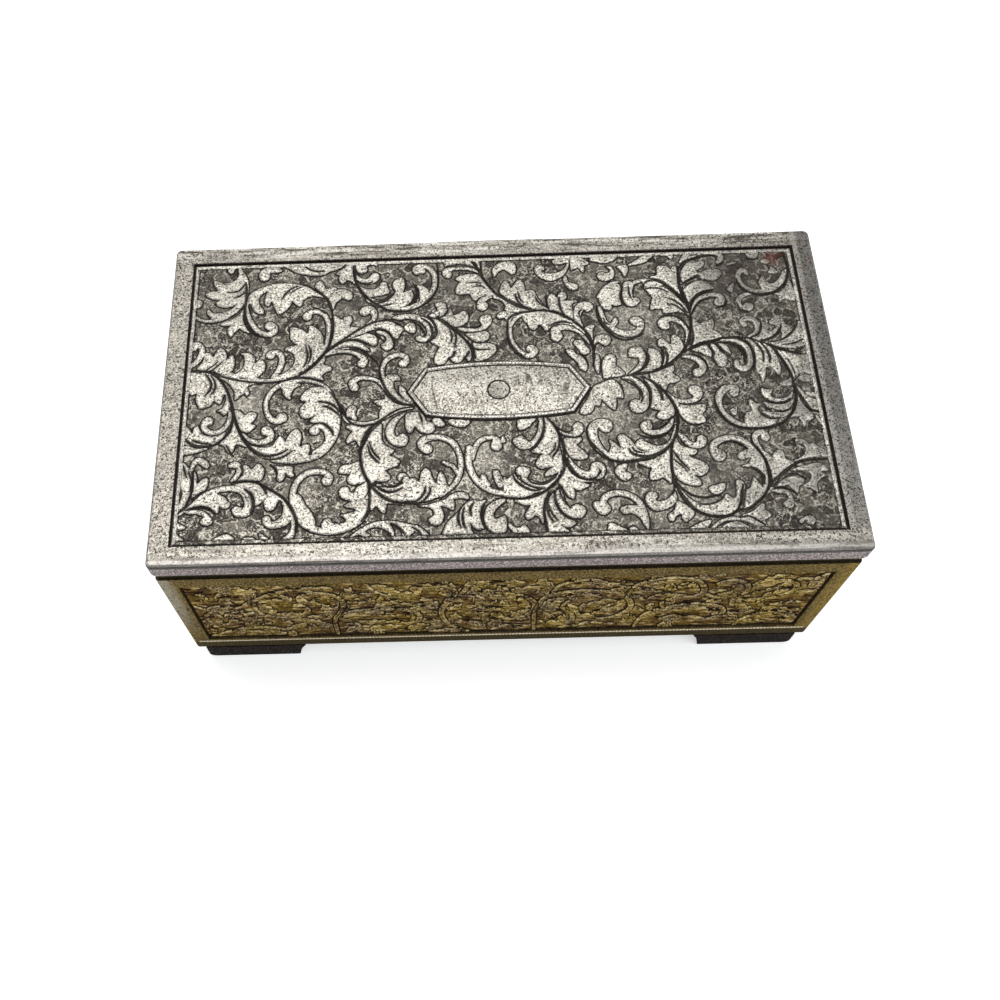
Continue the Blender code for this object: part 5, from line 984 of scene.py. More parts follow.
139 278,139 264,136 250,128 236,116 227,102 223,88 229,78 240
142 278,141 260,142 246,148 248,154 250,162 240,165 246,166 255,174 259,168 266,160 274,156 278
176 267,186 262,200 259,214 262,224 269,229 278,204 278,186 274
204 251,214 249,218 236,213 224,200 219,189 224,187 232,194 239,203 236,210 239,210 246
244 252,260 254,274 258,284 266,292 276,280 278,268 270,258 262
224 250,234 253,242 250,242 239,236 227,232 236,228 243
186 182,193 198,204 209,216 213,224 209,226 196,224 182,224 168,214 164,206 167,206 159,198 155,190 160,187 170
230 206,236 216,248 214,244 208,242 196,240 184,246 179,252 181,257 173,250 165,239 162,231 169,228 184
182 164,184 146,190 130,200 114,214 102,230 98,246 102,257 114,259 128,253 138,242 139,235 132,240 123,247 120,
243 113,232 110,220 112,208 119,214 128,213 138,209 139,202 127,196 132,192 144,189 158
266 216,280 219,294 216,300 214,300 204,290 208,280 208,270 204,268 210
274 188,284 194,296 197,300 196,300 184,290 183,282 184
276 166,280 177,290 178,300 176,300 164,290 155,282 157
286 130,292 138,300 139,300 116,290 112,284 120
154 116,164 124,173 124,169 114,168 102,166 86,164 98,159 108
169 84,172 98,180 103,192 103,198 96,196 86,188 81,180 86,176 89
134 88,140 94,150 92,154 82,160 74,158 66,148 64,142 74
120 74,132 73,136 65,144 61,151 52,154 40,150 30,142 34,138 46,132 54,124 64
167 60,174 62,176 52,174 38,172 24,167 36
180 46,188 60,198 62,204 54,202 40,210 32,216 22,204 17,190 16,180 14,179 26
226 58,228 70,238 77,250 74,255 62,253 48,244 32,230 22,222 20,232 30,242 42,242 54,235 55
260 66,263 72,274 69,280 62,282 48,278 36,268 28,252 23,242 23,254 36,260 50
288 68,292 69,293 56,290 44,282 34,286 46,286 58
177 6,188 10,196 10,206 2,209 -14,208 -26,200 -24,197 -26,196 -40,192 -49,184 -42,176 -32,172 -28,168 -40,160 -38,
157 -46,150 -54,139 -56,134 -50,140 -38,150 -24,156 -10,164 0
210 14,224 10,234 0,239 -14,237 -30,229 -30,222 -32,218 -40,220 -50,229 -56,240 -54,249 -44,251 -30,252 -16,248 0,
238 12,226 17
246 15,258 4,268 -6,276 -12,282 -24,288 -38,292 -50,289 -62,280 -68,270 -70,262 -66,262 -60,268 -53,259 -50,253 -46,
256 -32,258 -16,254 0
284 -16,290 -26,298 -36,300 -40,300 -58,296 -46,290 -32
232 -80,240 -72,249 -73,251 -82,250 -90,264 -88,276 -80,286 -69,288 -72,282 -86,270 -96,254 -100,242 -97,234 -90
290 -82,283 -98,276 -112,262 -124,246 -130,230 -130,222 -124,218 -116,210 -104,200 -96,192 -102,194 -112,196 -124,
188 -114,178 -106,180 -118,176 -128,172 -132,166 -130,174 -140,186 -146,204 -148,224 -145,246 -140,264 -130,
278 -118,289 -100
220 -116,230 -106,240 -114,254 -120,268 -118,278 -110,270 -120,254 -129,236 -129,226 -124
143 -94,147 -78,158 -68,172 -66,184 -72,185 -83,178 -91,168 -90,162 -82,159 -96,162 -110,170 -126,176 -134,162 -126,
150 -110
96 -84,108 -89,119 -88,120 -78,128 -71,136 -76,136 -88,128 -96,116 -98,104 -95
104 -102,116 -101,130 -99,132 -106,124 -113,128 -120,136 -128,140 -138,128 -142,116 -140,109 -132,104 -118
106 -150,114 -162,124 -172,136 -177,150 -174,156 -164,152 -154,144 -154,142 -162,136 -164,126 -159,116 -148,109 -138
144 -152,154 -147,164 -152,167 -164,162 -174,152 -179,140 -180,124 -178,110 -166,104 -154,106 -168,116 -178,
130 -183,150 -182,152 -176,160 -166,154 -156
100 -146,106 -164,116 -178,132 -186,138 -190,128 -196,118 -198,112 -193,114 -204,111 -213,104 -210,98 -200,94 -189,
89 -184,94 -170
182 -166,189 -155,202 -152,202 -158,198 -166,206 -170,207 -177,198 -183,189 -179
222 -150,236 -148,252 -142,266 -134,276 -124,274 -140,272 -160,272 -180,270 -190,264 -184,258 -179,248 -183,
238 -182,238 -172,242 -162,234 -159
6 -104,0 -106,0 -96,4 -94
60 -62,52 -61,32 -62,28 -72,30 -82,38 -82,48 -76,53 -69
63 -62,76 -60,82 -68,89 -80,94 -96,94 -112,96 -126,98 -140,96 -156,90 -170,80 -182,70 -193,62 -198,52 -200,60 -194,
72 -184,82 -174,89 -166,76 -170,68 -171,70 -164,81 -154,70 -156,60 -156,54 -148,60 -136,66 -130,58 -128,49 -124,
58 -116,66 -102,70 -86,69 -74
0 -172,6 -174,12 -169,18 -166,22 -174,30 -182,42 -190,54 -196,44 -204,26 -209,10 -209,0 -205
16 -214,30 -212,44 -209,58 -203,70 -199,64 -214,61 -230,61 -246,59 -256,54 -246,48 -241,42 -246,34 -248,32 -239,
38 -229,41 -223,30 -222
82 -206,90 -194,94 -206,98 -220,104 -231,109 -226,116 -224,126 -228,129 -236,124 -245,114 -249,100 -244,90 -234,
84 -222
74 -208,81 -202,82 -220,88 -236,98 -247,106 -252,112 -256,106 -262,98 -264,88 -260,96 -268,98 -272,70 -272,64 -264,
65 -250,65 -230,68 -216
4 -260,6 -254,14 -262,22 -262,28 -257,33 -262,36 -271,14 -272
162 -264,166 -258,176 -262,186 -268,190 -272,164 -272
196 -268,202 -266,208 -271,198 -272
184 -234,190 -229,202 -228,212 -228,210 -220,218 -220,224 -232,227 -248,227 -264,224 -272,219 -262,213 -250,
202 -242,190 -243
226 -216,232 -206,242 -205,246 -212,242 -220,250 -222,262 -218,273 -206,276 -210,276 -220,268 -230,254 -237,
240 -238,230 -231
260 -246,266 -242,272 -234,276 -224,284 -226,294 -234,300 -240,300 -248,292 -256,284 -260,281 -254,280 -247,
272 -249,266 -258,260 -256
# band
26 128 35,25 110 38,28 94 42,36 78 48,48 66 50,59 65 50,66 74 60,60 79 80
29 132 30,38 145 30,54 153 30,74 155 30,94 154 30
184 184 20,196 202 25,210 213 22,224 216 15
244 179 20,243 194 25,248 210 30,260 217 35,276 217 35,294 212 30,300 209 30
26 -104 70,34 -112 75,46 -112 55,56 -103 40,64 -88 35,67 -70 30
32 -99 50,37 -104 50,42 -109 40
29 -160 80,39 -160 50,34 -172 50,44 -182 40,60 -187 40,74 -183 35,86 -173 25
72 -168 30,80 -164 25,88 -159 15
148 -226 70,156 -236 75,164 -232 50,158 -222 50,162 -212 50,174 -206 50,190 -206 50,206 -213 50,216 -224 50
# line
102 158 14,120 148 22,138 134 24,152 118 26,163 100 26,167 80 26,167 60 24,164 40 20
22 128 16,24 142 22,36 152 25,54 156 26,80 159 26,100 156 25,114 150 22
22 126 16,21 106 24,26 86 26,38 69 26,50 59 16
94 125 12,106 131 22,120 133 24,134 129 16
39 196 12,41 184 22,47 174 22,56 165 12
44 199 12,46 186 18,52 176 12
74 189 14,80 176 20,96 162 14
94 199 10,92 180 14,96 164 14
116 186 14,115 170 20,119 154 20,126 144 14
108 196 10,110 191 14,114 184 10
138 156 10,139 170 16,149 174 12
151 139 12,148 150 16,153 158 14
166 58 18,170 78 16,173 87 10
143 63 14,152 56 24,156 42 20
180 168 14,180 146 22,187 124 25,200 106 25,216 94 25,236 94 22,256 104 16
189 163 12,192 156 20,204 154 12
190 139 10,192 129 16,200 124 12
229 204 18,225 188 30,226 172 28,234 162 14
240 204 14,240 189 20,243 179 12
252 69 14,259 58 25,257 44 26,246 30 24,228 21 16
282 61 12,284 48 18,280 35 14
290 66 14,292 52 24,288 40 18,280 33 10
220 19 14,244 22 24,266 25 26,284 32 25,300 39 22
242 16 14,260 5 24,274 -10 28,286 -28 30,294 -50 30,295 -74 28,290 -96 26,280 -116 26,264 -130 25,244 -139 25,
220 -146 24,196 -148 22,174 -143 22,158 -130 22,147 -112 22,142 -90 20,146 -76 12
228 17 12,244 6 25,254 -12 28,254 -32 26,249 -50 14
200 10 12,208 -4 20,211 -20 14
210 12 12,226 2 20,238 -10 25,241 -26 20,238 -36 12
264 0 14,272 -16 28,274 -32 20
286 -64 16,276 -78 24,264 -86 20,250 -89 14
226 -96 12,238 -102 20,256 -104 22,274 -97 22,287 -82 16
208 -124 12,214 -134 24,229 -139 24,248 -138 18
214 -122 12,220 -130 20,234 -133 12
78 -60 16,89 -74 24,97 -94 26,102 -116 26,102 -138 26,99 -160 25,88 -178 25,72 -194 25,50 -207 24,28 -211 20,
8 -209 18,-14 -209 16
72 -62 14,72 -80 22,67 -98 22,58 -112 20,46 -122 16
95 -110 12,92 -122 20,82 -136 12
89 -109 10,87 -120 16,77 -132 10
82 -66 14,94 -80 20,106 -89 20,118 -92 12
104 -96 14,120 -100 20,134 -97 12
106 -138 20,109 -154 25,122 -173 25,138 -180 22,156 -180 16
89 -166 14,80 -176 25,64 -185 26,46 -182 22,38 -172 14
16 -168 16,20 -178 24,32 -190 24,50 -197 20,66 -193 12
81 -198 20,82 -218 25,89 -236 25,102 -248 22,120 -250 14
74 -202 14,68 -220 22,69 -240 22,76 -254 16
70 -224 10,75 -240 18,83 -252 12
89 -191 14,92 -208 20,100 -224 16
66 -212 16,62 -234 22,64 -258 22,66 -270 14
277 -130 18,275 -154 24,275 -178 25,275 -198 22,270 -210 16
280 -178 14,280 -198 24,288 -220 25,300 -238 22
# leaf
286 -22,296 -36,314 -40,332 -36,342 -24,340 -10,330 -6,321 -9,320 -18,326 -26,322 -31,310 -33,298 -30
297 -40,300 -60,308 -74,320 -80,338 -78,341 -72,337 -62,343 -54,344 -44,334 -43,316 -45,302 -42
292 -97,298 -112,308 -123,324 -127,335 -120,337 -109,329 -102,323 -107,320 -115,311 -114,302 -102
287 -106,294 -120,306 -126,319 -130,315 -138,304 -140,314 -146,326 -152,334 -162,330 -172,320 -178,309 -176,
316 -184,319 -192,312 -196,300 -194,288 -188,280 -178,277 -166,279 -140,282 -120
283 -200,296 -218,314 -229,334 -229,350 -220,356 -212,366 -220,372 -215,374 -198,375 -188,384 -189,388 -198,
383 -210,378 -224,370 -238,358 -247,340 -249,318 -245,300 -235,288 -219
330 -200,340 -196,356 -193,354 -204,344 -212,334 -210
406 -132,396 -133,387 -138,384 -146,390 -150,400 -147,405 -149,398 -158,388 -162,400 -165,412 -169,420 -178,
422 -160,416 -144
404 -183,410 -192,415 -200,419 -206,410 -218,398 -228,384 -236,384 -226,387 -216,389 -206,394 -204,399 -196
424 -134,432 -139,440 -148,442 -142,450 -134,459 -137,460 -150,466 -154,474 -160,462 -170,448 -182,435 -194,
434 -174,430 -154
472 -156,486 -149,494 -140,496 -130,490 -124,484 -122,481 -116,488 -114,498 -118,503 -126,509 -123,518 -130,
528 -138,536 -145,532 -149,514 -149,496 -150
440 -199,452 -188,464 -184,476 -185,484 -190,480 -198,474 -202,470 -214,462 -206,456 -199,446 -202
430 -209,440 -206,452 -208,460 -216,461 -228,459 -238,450 -240,444 -232,450 -227,454 -222,450 -215,442 -214
480 -202,492 -206,502 -213,503 -198,512 -188,520 -184,514 -176,526 -175,522 -166,510 -160,494 -163,476 -168,
468 -173,482 -173,496 -180,493 -192
376 -252,394 -244,408 -232,414 -233,413 -242,422 -249,418 -256,410 -260,412 -270,402 -268,390 -259
342 -272,352 -264,366 -262,376 -266,386 -274,364 -274
288 -274,300 -266,314 -260,326 -258,322 -266,314 -274,304 -272
464 -264,472 -257,484 -255,490 -262,485 -270,477 -268,474 -262,468 -268
419 -36,417 -46,420 -58,410 -62,406 -70,406 -82,420 -86,440 -85,456 -79,444 -75,434 -66,430 -54,436 -46,428 -44
384 -56,390 -52,396 -50,394 -60,392 -66,386 -64
442 -14,450 -18,460 -18,455 -28,460 -35,474 -36,486 -30,493 -22,488 -36,474 -41,458 -41,446 -34,441 -24
440 -42,444 -53,452 -54,464 -58,478 -57,488 -48,492 -38,478 -46,460 -47
436 -60,446 -69,460 -72,476 -69,488 -57,474 -62,454 -62
436 -70,446 -77,460 -77,450 -73
498 -16,504 -30,510 -46,520 -58,534 -61,540 -54,538 -40,526 -39,516 -32,510 -24,504 -14
472 -78,484 -72,492 -72,498 -82,500 -92,504 -88,506 -80,514 -79,520 -73,516 -64,509 -54,503 -42,500 -30,496 -46,
486 -64
523 -69,529 -76,532 -88,526 -82
473 -6,480 -12,492 -10,496 -2,495 8,490 2,482 -1
506 4,516 9,526 8,536 10,532 0,524 -4,512 -2
514 -25,528 -26,534 -31,520 -33
304 278,310 274,316 270,321 264,326 270,322 278
280 224,292 228,294 238,296 248,306 248,314 246,318 240,324 247,329 246,328 226,327 204,329 186,320 196,310 208,
298 218
268 202,284 208,300 202,314 190,326 174,336 156,341 138,334 142,322 147,308 146,296 146,294 154,284 156,274 154,
276 166,280 176,276 188
288 92,298 80,302 82,303 94,308 99,316 94,320 84,322 74,316 64,304 52,292 42,294 56,293 70,288 76,280 76,280 88
260 23,280 29,298 37,300 26,296 22,304 14,308 8,300 2,288 0,284 -8,280 -12,272 -2,260 6
344 132,350 128,354 121,362 124,372 127,378 129,380 120,377 108,384 102,390 93,384 90,368 86,350 82,338 76,342 88,
343 104,343 120
336 66,348 72,360 76,364 70,368 60,366 52,356 56,348 62
368 77,375 76,380 68,384 60,392 52,392 40,386 32,378 32,370 42,368 52,372 62
382 78,392 76,398 68,400 56,392 58,388 66
430 86,450 84,462 74,472 64,477 50,480 34,480 20,475 11,469 20,464 28,456 26,454 16,450 4,446 -2,444 10,439 22,
440 40,441 56,436 74
486 59,498 55,514 50,530 50,538 44,538 30,530 26,534 16,526 11,518 15,510 13,504 8,502 24,496 42
468 76,480 78,496 84,508 94,518 108,522 120,532 116,536 96,534 76,520 66,500 65,482 69
440 87,454 84,470 88,482 96,489 106,484 107,476 100,470 104,474 112,468 118,460 122,456 114,456 102,448 94
476 117,480 126,490 134,500 128,502 116,510 106,516 98,504 90,492 86,494 96,490 110
470 206,474 214,480 220,483 210,490 202,500 206,508 214,514 226,518 230,516 216,506 200,490 190,476 189,472 196
490 226,494 234,496 240,502 234,508 228,500 224
494 180,500 174,500 162,508 168,516 166,526 164,530 174,528 190,524 208,514 192,502 182
456 272,462 278,474 278,479 270,474 262,466 259,459 263
480 250,484 256,494 256,498 250,490 246
342 244,350 253,364 254,376 256,380 252,376 244,368 239,364 234,372 226,362 226,350 220,340 212,335 216,336 232
366 230,376 234,388 239,400 238,408 230,402 220,394 214,382 214,370 218,368 224
337 200,350 209,364 213,376 211,384 206,390 196,382 194,366 190,352 180,342 168,338 184
336 254,342 268,352 278,362 278,356 269,368 270,376 272,364 266,348 260
418 246,426 252,438 252,432 248
412 192,420 202,426 206,424 194,420 186
290 176,302 174,312 171,304 166,292 168
# band
354 -141 110,347 -132 65,349 -120 60,362 -111 50,380 -109 50,398 -116 50,410 -132 50,419 -152 60,423 -174 40,
422 -194 35,414 -212 35,398 -228 35,382 -240 25
434 -109 70,432 -101 55,423 -101 50,417 -109 45,418 -121 40,424 -134 25
322 -276 15,336 -264 25,350 -258 30,366 -256 30,384 -260 30,398 -269 25,406 -276 15
395 -22 75,398 -14 60,390 -11 50,380 -14 60,370 -26 60,367 -40 50,370 -56 45,381 -72 45,396 -83 40,416 -87 30,
436 -87 25,454 -82 20
295 119 80,289 126 55,297 132 50,310 132 50,323 125 42,331 112 35,332 96 30,328 80 22
339 20 80,348 26 60,349 36 55,342 46 50,330 52 35,318 53 20
408 40 40,408 32 50,416 26 55,426 28 55,432 38 55,433 54 50,428 70 45,414 82 35,400 84 25,388 85 20
482 60 15,490 44 25,496 26 25,499.5 8 22,499 -8 15
432 116 50,430 124 50,438 129 50,450 124 45,453 110 40,449 98 35,436 90 25
445 154 85,435 149 50,429 158 45,430 170 45,440 179 35,454 182 20
452 226 40,449 233 50,442 232 50,436 222 45,438 206 45,448 193 45,464 186 45,480 186 45,496 192 45,510 204 40,
519 218 35,522 230 25
404 253 35,410 260 50,410 269 50,402 275 50,388 275 45,376 272 35
395 165 85,401 173 50,396 180 45,384 182 40,370 179 35,356 170 32,348 158 25,343 144 16
# line
278 -184 14,282 -202 24,291 -222 26,304 -239 26,322 -249 26,342 -252 26,359 -249 25,372 -241 24,388 -239 24,
404 -228 24,419 -213 24,429 -196 26,444 -184 26,460 -170 26,480 -158 25,500 -153 24,518 -153 20,534 -152 16
429 -200 20,431 -184 30,430 -166 28,427 -150 26,420 -134 24,412 -120 22,411 -108 16
280 -130 12,289 -148 20,302 -166 12
279 -146 10,288 -155 16,300 -169 10
279 -188 12,289 -201 22,304 -213 24,322 -217 24,340 -214 20,350 -216 12
306 -229 10,324 -230 16,340 -226 16,352 -218 10
370 -242 14,378 -226 26,382 -208 24,386 -196 14
364 -118 14,378 -115 22,392 -122 24,402 -130 16
400 -164 12,412 -170 24,420 -182 26,419 -196 16
462 -178 12,476 -180 20,488 -188 14
434 -203 12,450 -203 22,462 -209 20,469 -217 12
370 -255 12,386 -253 20,398 -260 20,410 -270 12
336 -269 10,348 -262 18,362 -260 10
362 -26 12,361 -40 22,365 -58 24,376 -76 26,392 -88 26,414 -92 26,440 -91 26,462 -85 26,478 -73 26,490 -56 26,
497 -36 26,498 -16 26,497 4 26,493 22 25,486 42 24,478 60 20,470 74 16
447 -38 12,460 -44 22,476 -43 22,488 -36 14
441 -45 12,446 -55 18,454 -55 10
458 -60 12,470 -61 20,482 -57 14
433 -65 12,446 -73.5 20,462 -74.5 12
501 -20 14,508 -40 22,518 -59 22,534 -63 14
498 -2 20,504 4 10
333 248 14,331 226 26,330 206 28,333 186 30,339 164 28,342 140 25,340 118 26,335 96 28,327 76 28,316 60 26,
302 46 26,286 36 24,266 27 20
266 209 12,280 217 20,294 214 24,310 202 25,324 186 25,334 168 22
319 62 16,334 71 24,352 79 26,372 83.5 26,390 89 26,414 91 26,434 88 24,454 79 22,466 75 20,480 67 22,500 60 20,
522 53 14
306 176 10,316 172 20,328 160 22,338 144 14
304 164 10,316 162 18,328 151 20,337 139 12
266 198 12,280 200 20,296 198 20,308 190 12
288 135 14,302 140 24,318 137 26,330 124 26,336 110 20
283 74 14,286 58 26,281 41 16
290 70 12,293 56 20,288 42 12
330 59 10,344 54 22,355 43 24,359 28 16
384 80 14,402 79 30,418 68 36,424 52 32,422 39 14
410 87 12,428 83 22,437 68 28,439 50 30,437 34 26,429 22 20
439 85 10,450 70 22,455 54 22,453 38 14
452 80 10,461 66 22,465 50 24,464 36 16
366 72 12,372 60 20,369 49 20,374 35 16
384 72 10,390 62 16,400 55 12
461 126 12,460 112 22,454 97 24,440 89 16
462 83 12,478 89 22,490 100 22,494 112 14
472 80 10,490 82 18,508 94 22,520 110 20,524 124 14
490 72 10,510 74 16,528 82 14
432 216 10,436 199 22,450 185 25,470 180 28,494 184 28,512 198 26,522 216 24,526 236 22,524 260 18,518 280 14
425 164 10,430 148 20,444 143 14
332 242 14,344 256 24,362 263 26,380 269 30,398 269 16
415 254 10,408 248 16,400 246 10
334 206 14,348 216 24,366 223 14
336 196 12,346 206 16,360 213 10
388 193 14,372 189 24,358 180 25,348 166 24,343 150 16
410 170 12,405 159 22,390 155 14
378 174 12,364 170 20,353 158 22,344 143 16
456 262 12,466 257 20,478 260 14
524 276 10,529 240 16,530 200 16,534 170 14
"""


# The lid's panel, in millimetres
LID_PANEL = (108.1, 56.6)
LID_PITCH = 0.14
LID_GROUND = 43.93
LID_RISE = 0.40
LID_TILES = 4

GROOVE_REACH = 0.36
FILLET_REACH = 1.0
FILLET_RISE = 0.24
FILLET_HALF = 0.30
FRONT_CUT = 0.62

CARTOUCHE_Y = -0.4
CARTOUCHE_TIP = 15.4
CARTOUCHE_SHOULDER = (12.4, 4.6)
CARTOUCHE_BOW = 1.0
PLATE_LEVEL = 44.215
PLATE_CROWN = 0.13
RIM_LEVEL = 44.41
RIM_WIDTH = 0.46
BEAD_PITCH = 0.56
BEAD_RISE = 0.07
DIMPLE_RADIUS = 1.85
MOAT_AT, MOAT_HALF = 0.20, 0.22
SEAM_IN, SEAM_HALF = 0.14, 0.19
RING_HALF = 0.16
BEAD_GAP_HALF = 0.07
PLATE_CLEAR = 0.42
SCRATCH_RISE = 0.015

# Smudged spots on the plate: x, y, size and depth of tone
PLATE_SPOTS = (
    (5.2, 1.9, 0.55, 0.85),
    (7.2, 1.2, 0.40, 0.60),
    (11.4, -0.2, 0.75, 0.75),
    (11.0, 2.0, 0.50, 0.55),
    (-3.8, 2.0, 0.60, 0.45),
)
PLATE_MARKS = """
# line
-110 26 10,-113 8 12,-110 -14 14,-106 -32 14,-104 -40 8
46 29 14,54 16 20,58 2 10
64 30 6,74 18 13,72 4 6
-48 12 8,-43 23 14,-32 30 10
-50 -22 8,-44 -30 12
118 26 6,120 6 10,114 -22 6
"""

# Worn spots on the panel: x, y and size
WEAR_SPOTS = (
    (22.0, 2.0, 6.5),
    (17.0, -6.0, 5.0),
    (24.0, 13.0, 5.0),
    (-4.0, -13.0, 4.0),
    (30.0, -21.0, 5.0),
    (-44.0, -2.0, 4.0),
)
TARNISH_AT = (43.0, 22.5)
STAIN_AT, STAIN_RADIUS = (50.2, 26.2), 2.6


def cartouche_outline():
    """The plate's outline: pointed ends and gently bowed long sides."""
    sx, sy = CARTOUCHE_SHOULDER
    bowed = [(x, sy + CARTOUCHE_BOW * (1 - (x / sx) ** 2)) for x in np.linspace(sx, -sx, 29)]
    half = [(CARTOUCHE_TIP, 0.0), *bowed, (-CARTOUCHE_TIP, 0.0)]
    lower = [(-x, -y) for x, y in bowed]
    return np.array(half + lower)


def polygon_depth(X, Y, corners):
    """Distance inside a polygon, and the length along its outline to the nearest point."""
    gap = np.full(X.shape, 1e9)
    along = np.zeros(X.shape)
    odd = np.zeros(X.shape, bool)
    walked = 0.0
    for (x0, y0), (x1, y1) in zip(corners, np.roll(corners, -1, axis=0)):
        length = math.hypot(x1 - x0, y1 - y0)
        t = np.clip(((X - x0) * (x1 - x0) + (Y - y0) * (y1 - y0)) / length**2, 0.0, 1.0)
        near = np.hypot(X - x0 - t * (x1 - x0), Y - y0 - t * (y1 - y0))
        closer = near < gap
        gap = np.where(closer, near, gap)
        along = np.where(closer, walked + t * length, along)
        if y0 != y1:
            odd ^= ((y0 > Y) != (y1 > Y)) & (X < (x1 - x0) * (Y - y0) / (y1 - y0) + x0)
        walked += length
    return np.where(odd, gap, -gap), along


lid_field = ReliefField(*LID_PANEL, LID_PITCH, seed=7)
lid_field.draw(LID_DRAWING)

half_x, half_y = LID_PANEL[0] / 2, LID_PANEL[1] / 2
to_edge = np.minimum(half_x - np.abs(lid_field.X), half_y - np.abs(lid_field.Y))
keep = to_edge > FILLET_REACH
lid_field.inside = np.where(keep, lid_field.inside, OUTSIDE)
lid_field.groove = np.where(keep, lid_field.groove, OUTSIDE)
lid_z = LID_GROUND + lid_field.heights(LID_RISE)

# A dark groove inside the border, then a thin raised fillet
groove = 1.0 - smooth(GROOVE_REACH - 0.12, GROOVE_REACH + 0.06, to_edge)
fillet = smooth(GROOVE_REACH, GROOVE_REACH + 0.12, to_edge) * (1 - smooth(FILLET_REACH - 0.25, FILLET_REACH, to_edge))
front = half_y + lid_field.Y < np.minimum(FILLET_REACH, half_x - np.abs(lid_field.X))
fillet = np.where(front, 0.0, fillet)
lid_z = lid_z * (1 - groove) + groove * (LID_GROUND - 0.01)
lid_z = np.maximum(lid_z, LID_GROUND + FILLET_RISE * fillet * (1 - groove))
# The groove is painted dark as shade, and along the front the dark reaches further in
lid_field.groove = np.maximum(lid_field.groove, np.where(front, FRONT_CUT, GROOVE_REACH - 0.03) - to_edge)
fillet_depth = FILLET_HALF - np.abs(to_edge - (GROOVE_REACH + FILLET_REACH) / 2)
lid_field.inside = np.where(front, lid_field.inside, np.maximum(lid_field.inside, fillet_depth))

# The plate at the middle, with its milled rim and the round dimple
plate, along = polygon_depth(lid_field.X, lid_field.Y - CARTOUCHE_Y, cartouche_outline())
bead = np.cos(along * 2 * math.pi / BEAD_PITCH)
rim = smooth(-0.05, 0.12, plate) * (1 - smooth(RIM_WIDTH, RIM_WIDTH + 0.10, plate))
rim_z = RIM_LEVEL + BEAD_RISE * (0.4 + 0.6 * bead) * np.clip(1 - ((plate - 0.30) / 0.34) ** 2, 0, 1)
from_middle = np.hypot(lid_field.X, lid_field.Y - CARTOUCHE_Y)
bowl = 1 - smooth(0.0, 1.0, (from_middle / DIMPLE_RADIUS) ** 4)
ring = np.exp(-(((from_middle - DIMPLE_RADIUS) / 0.20) ** 2))
scratch = value_noise(lid_field.X, lid_field.Y * 0.35, 0.6, 31)
across_plate = (lid_field.Y - CARTOUCHE_Y) / (CARTOUCHE_SHOULDER[1] + CARTOUCHE_BOW)
crown = PLATE_CROWN * np.clip(1 - across_plate**2, 0, 1) * (1 - 0.6 * (lid_field.X / CARTOUCHE_TIP) ** 2)
plate_z = PLATE_LEVEL + crown * (1 - 0.85 * bowl) + SCRATCH_RISE * scratch
on_plate = plate > 0.0
lid_z = np.where(on_plate, plate_z, lid_z)
lid_z = np.where(rim > 0.0, np.maximum(lid_z * (1 - rim) + rim * rim_z, rim * rim_z), lid_z)
around = plate > -PLATE_CLEAR
lid_field.inside = np.where(around, OUTSIDE, lid_field.inside)
lid_field.groove = np.where(around, OUTSIDE, lid_field.groove)
lid_field.inside = np.where(plate > -0.3, plate + 0.02, lid_field.inside)
moat = MOAT_HALF - np.abs(plate + MOAT_AT)
seam = SEAM_HALF - np.abs(plate - RIM_WIDTH - SEAM_IN)
ring_cut = RING_HALF - np.abs(from_middle - DIMPLE_RADIUS)
bead_gap = np.minimum(BEAD_GAP_HALF - np.abs(along % BEAD_PITCH - BEAD_PITCH / 2), plate - 0.20)
bead_gap = np.where(plate < RIM_WIDTH, bead_gap, OUTSIDE)
lid_field.groove = np.maximum.reduce((lid_field.groove, moat, seam, ring_cut, bead_gap))

# The plate is painted darker towards the back as shade, darker in its dimple, and has been smudged
dull = 0.11 + 0.25 * smooth(-0.2, 0.95, across_plate) + 0.24 * smooth(0.0, 1.0, bowl)
for spot_x, spot_y, spot_size, depth in PLATE_SPOTS:
    near = np.hypot((lid_field.X - spot_x) / spot_size, (lid_field.Y - spot_y) / (spot_size * 1.5))
    dull = np.maximum(dull, depth * (1 - smooth(0.75, 1.20, near + 0.35 * scratch)))
lid_field.smudge_and_shade = np.where(plate > RIM_WIDTH, dull, 0.0)
for mark in read_shapes(PLATE_MARKS):
    at, depth = lid_field.reach(mark[1])
    lid_field.smudge_and_shade[at] = np.maximum(lid_field.smudge_and_shade[at], 0.85 * smooth(-0.14, 0.10, depth))
tarnished = np.hypot(lid_field.X - TARNISH_AT[0], (lid_field.Y - TARNISH_AT[1]) * 1.1)
tarnished = 0.52 * (1 - smooth(4.0, 9.5, tarnished + 3.0 * value_noise(lid_field.X, lid_field.Y, 2.2, 43)))
lid_field.smudge_and_shade = np.maximum(lid_field.smudge_and_shade, tarnished)

# A reddish stain in the back right corner
blot = np.hypot(lid_field.X - STAIN_AT[0], (lid_field.Y - STAIN_AT[1]) * 0.9)
ragged = value_noise(lid_field.X, lid_field.Y, 0.9, 41)
lid_field.stain = 0.75 * (1 - smooth(STAIN_RADIUS - 1.4, STAIN_RADIUS + 0.6, blot + 1.6 * ragged))

# Where hands have rubbed the ground pale
for wear_x, wear_y, wear_size in WEAR_SPOTS:
    spot = np.exp(-(((lid_field.X - wear_x) ** 2 + (lid_field.Y - wear_y) ** 2) / wear_size**2))
    lid_field.wear = np.maximum(lid_field.wear, spot)
lid_field.wear = np.where((plate > 0.02) & (plate < RIM_WIDTH), 2.0, lid_field.wear)

relief_pieces(
    "lid_relief",
    lid_field,
    lid_z,
    lambda x, y, z: np.stack((x, y + CASE_Y, z), axis=-1),
    relief_metal("relief_silver", LID_TONES),
    "lid",
    LID_TILES,
)
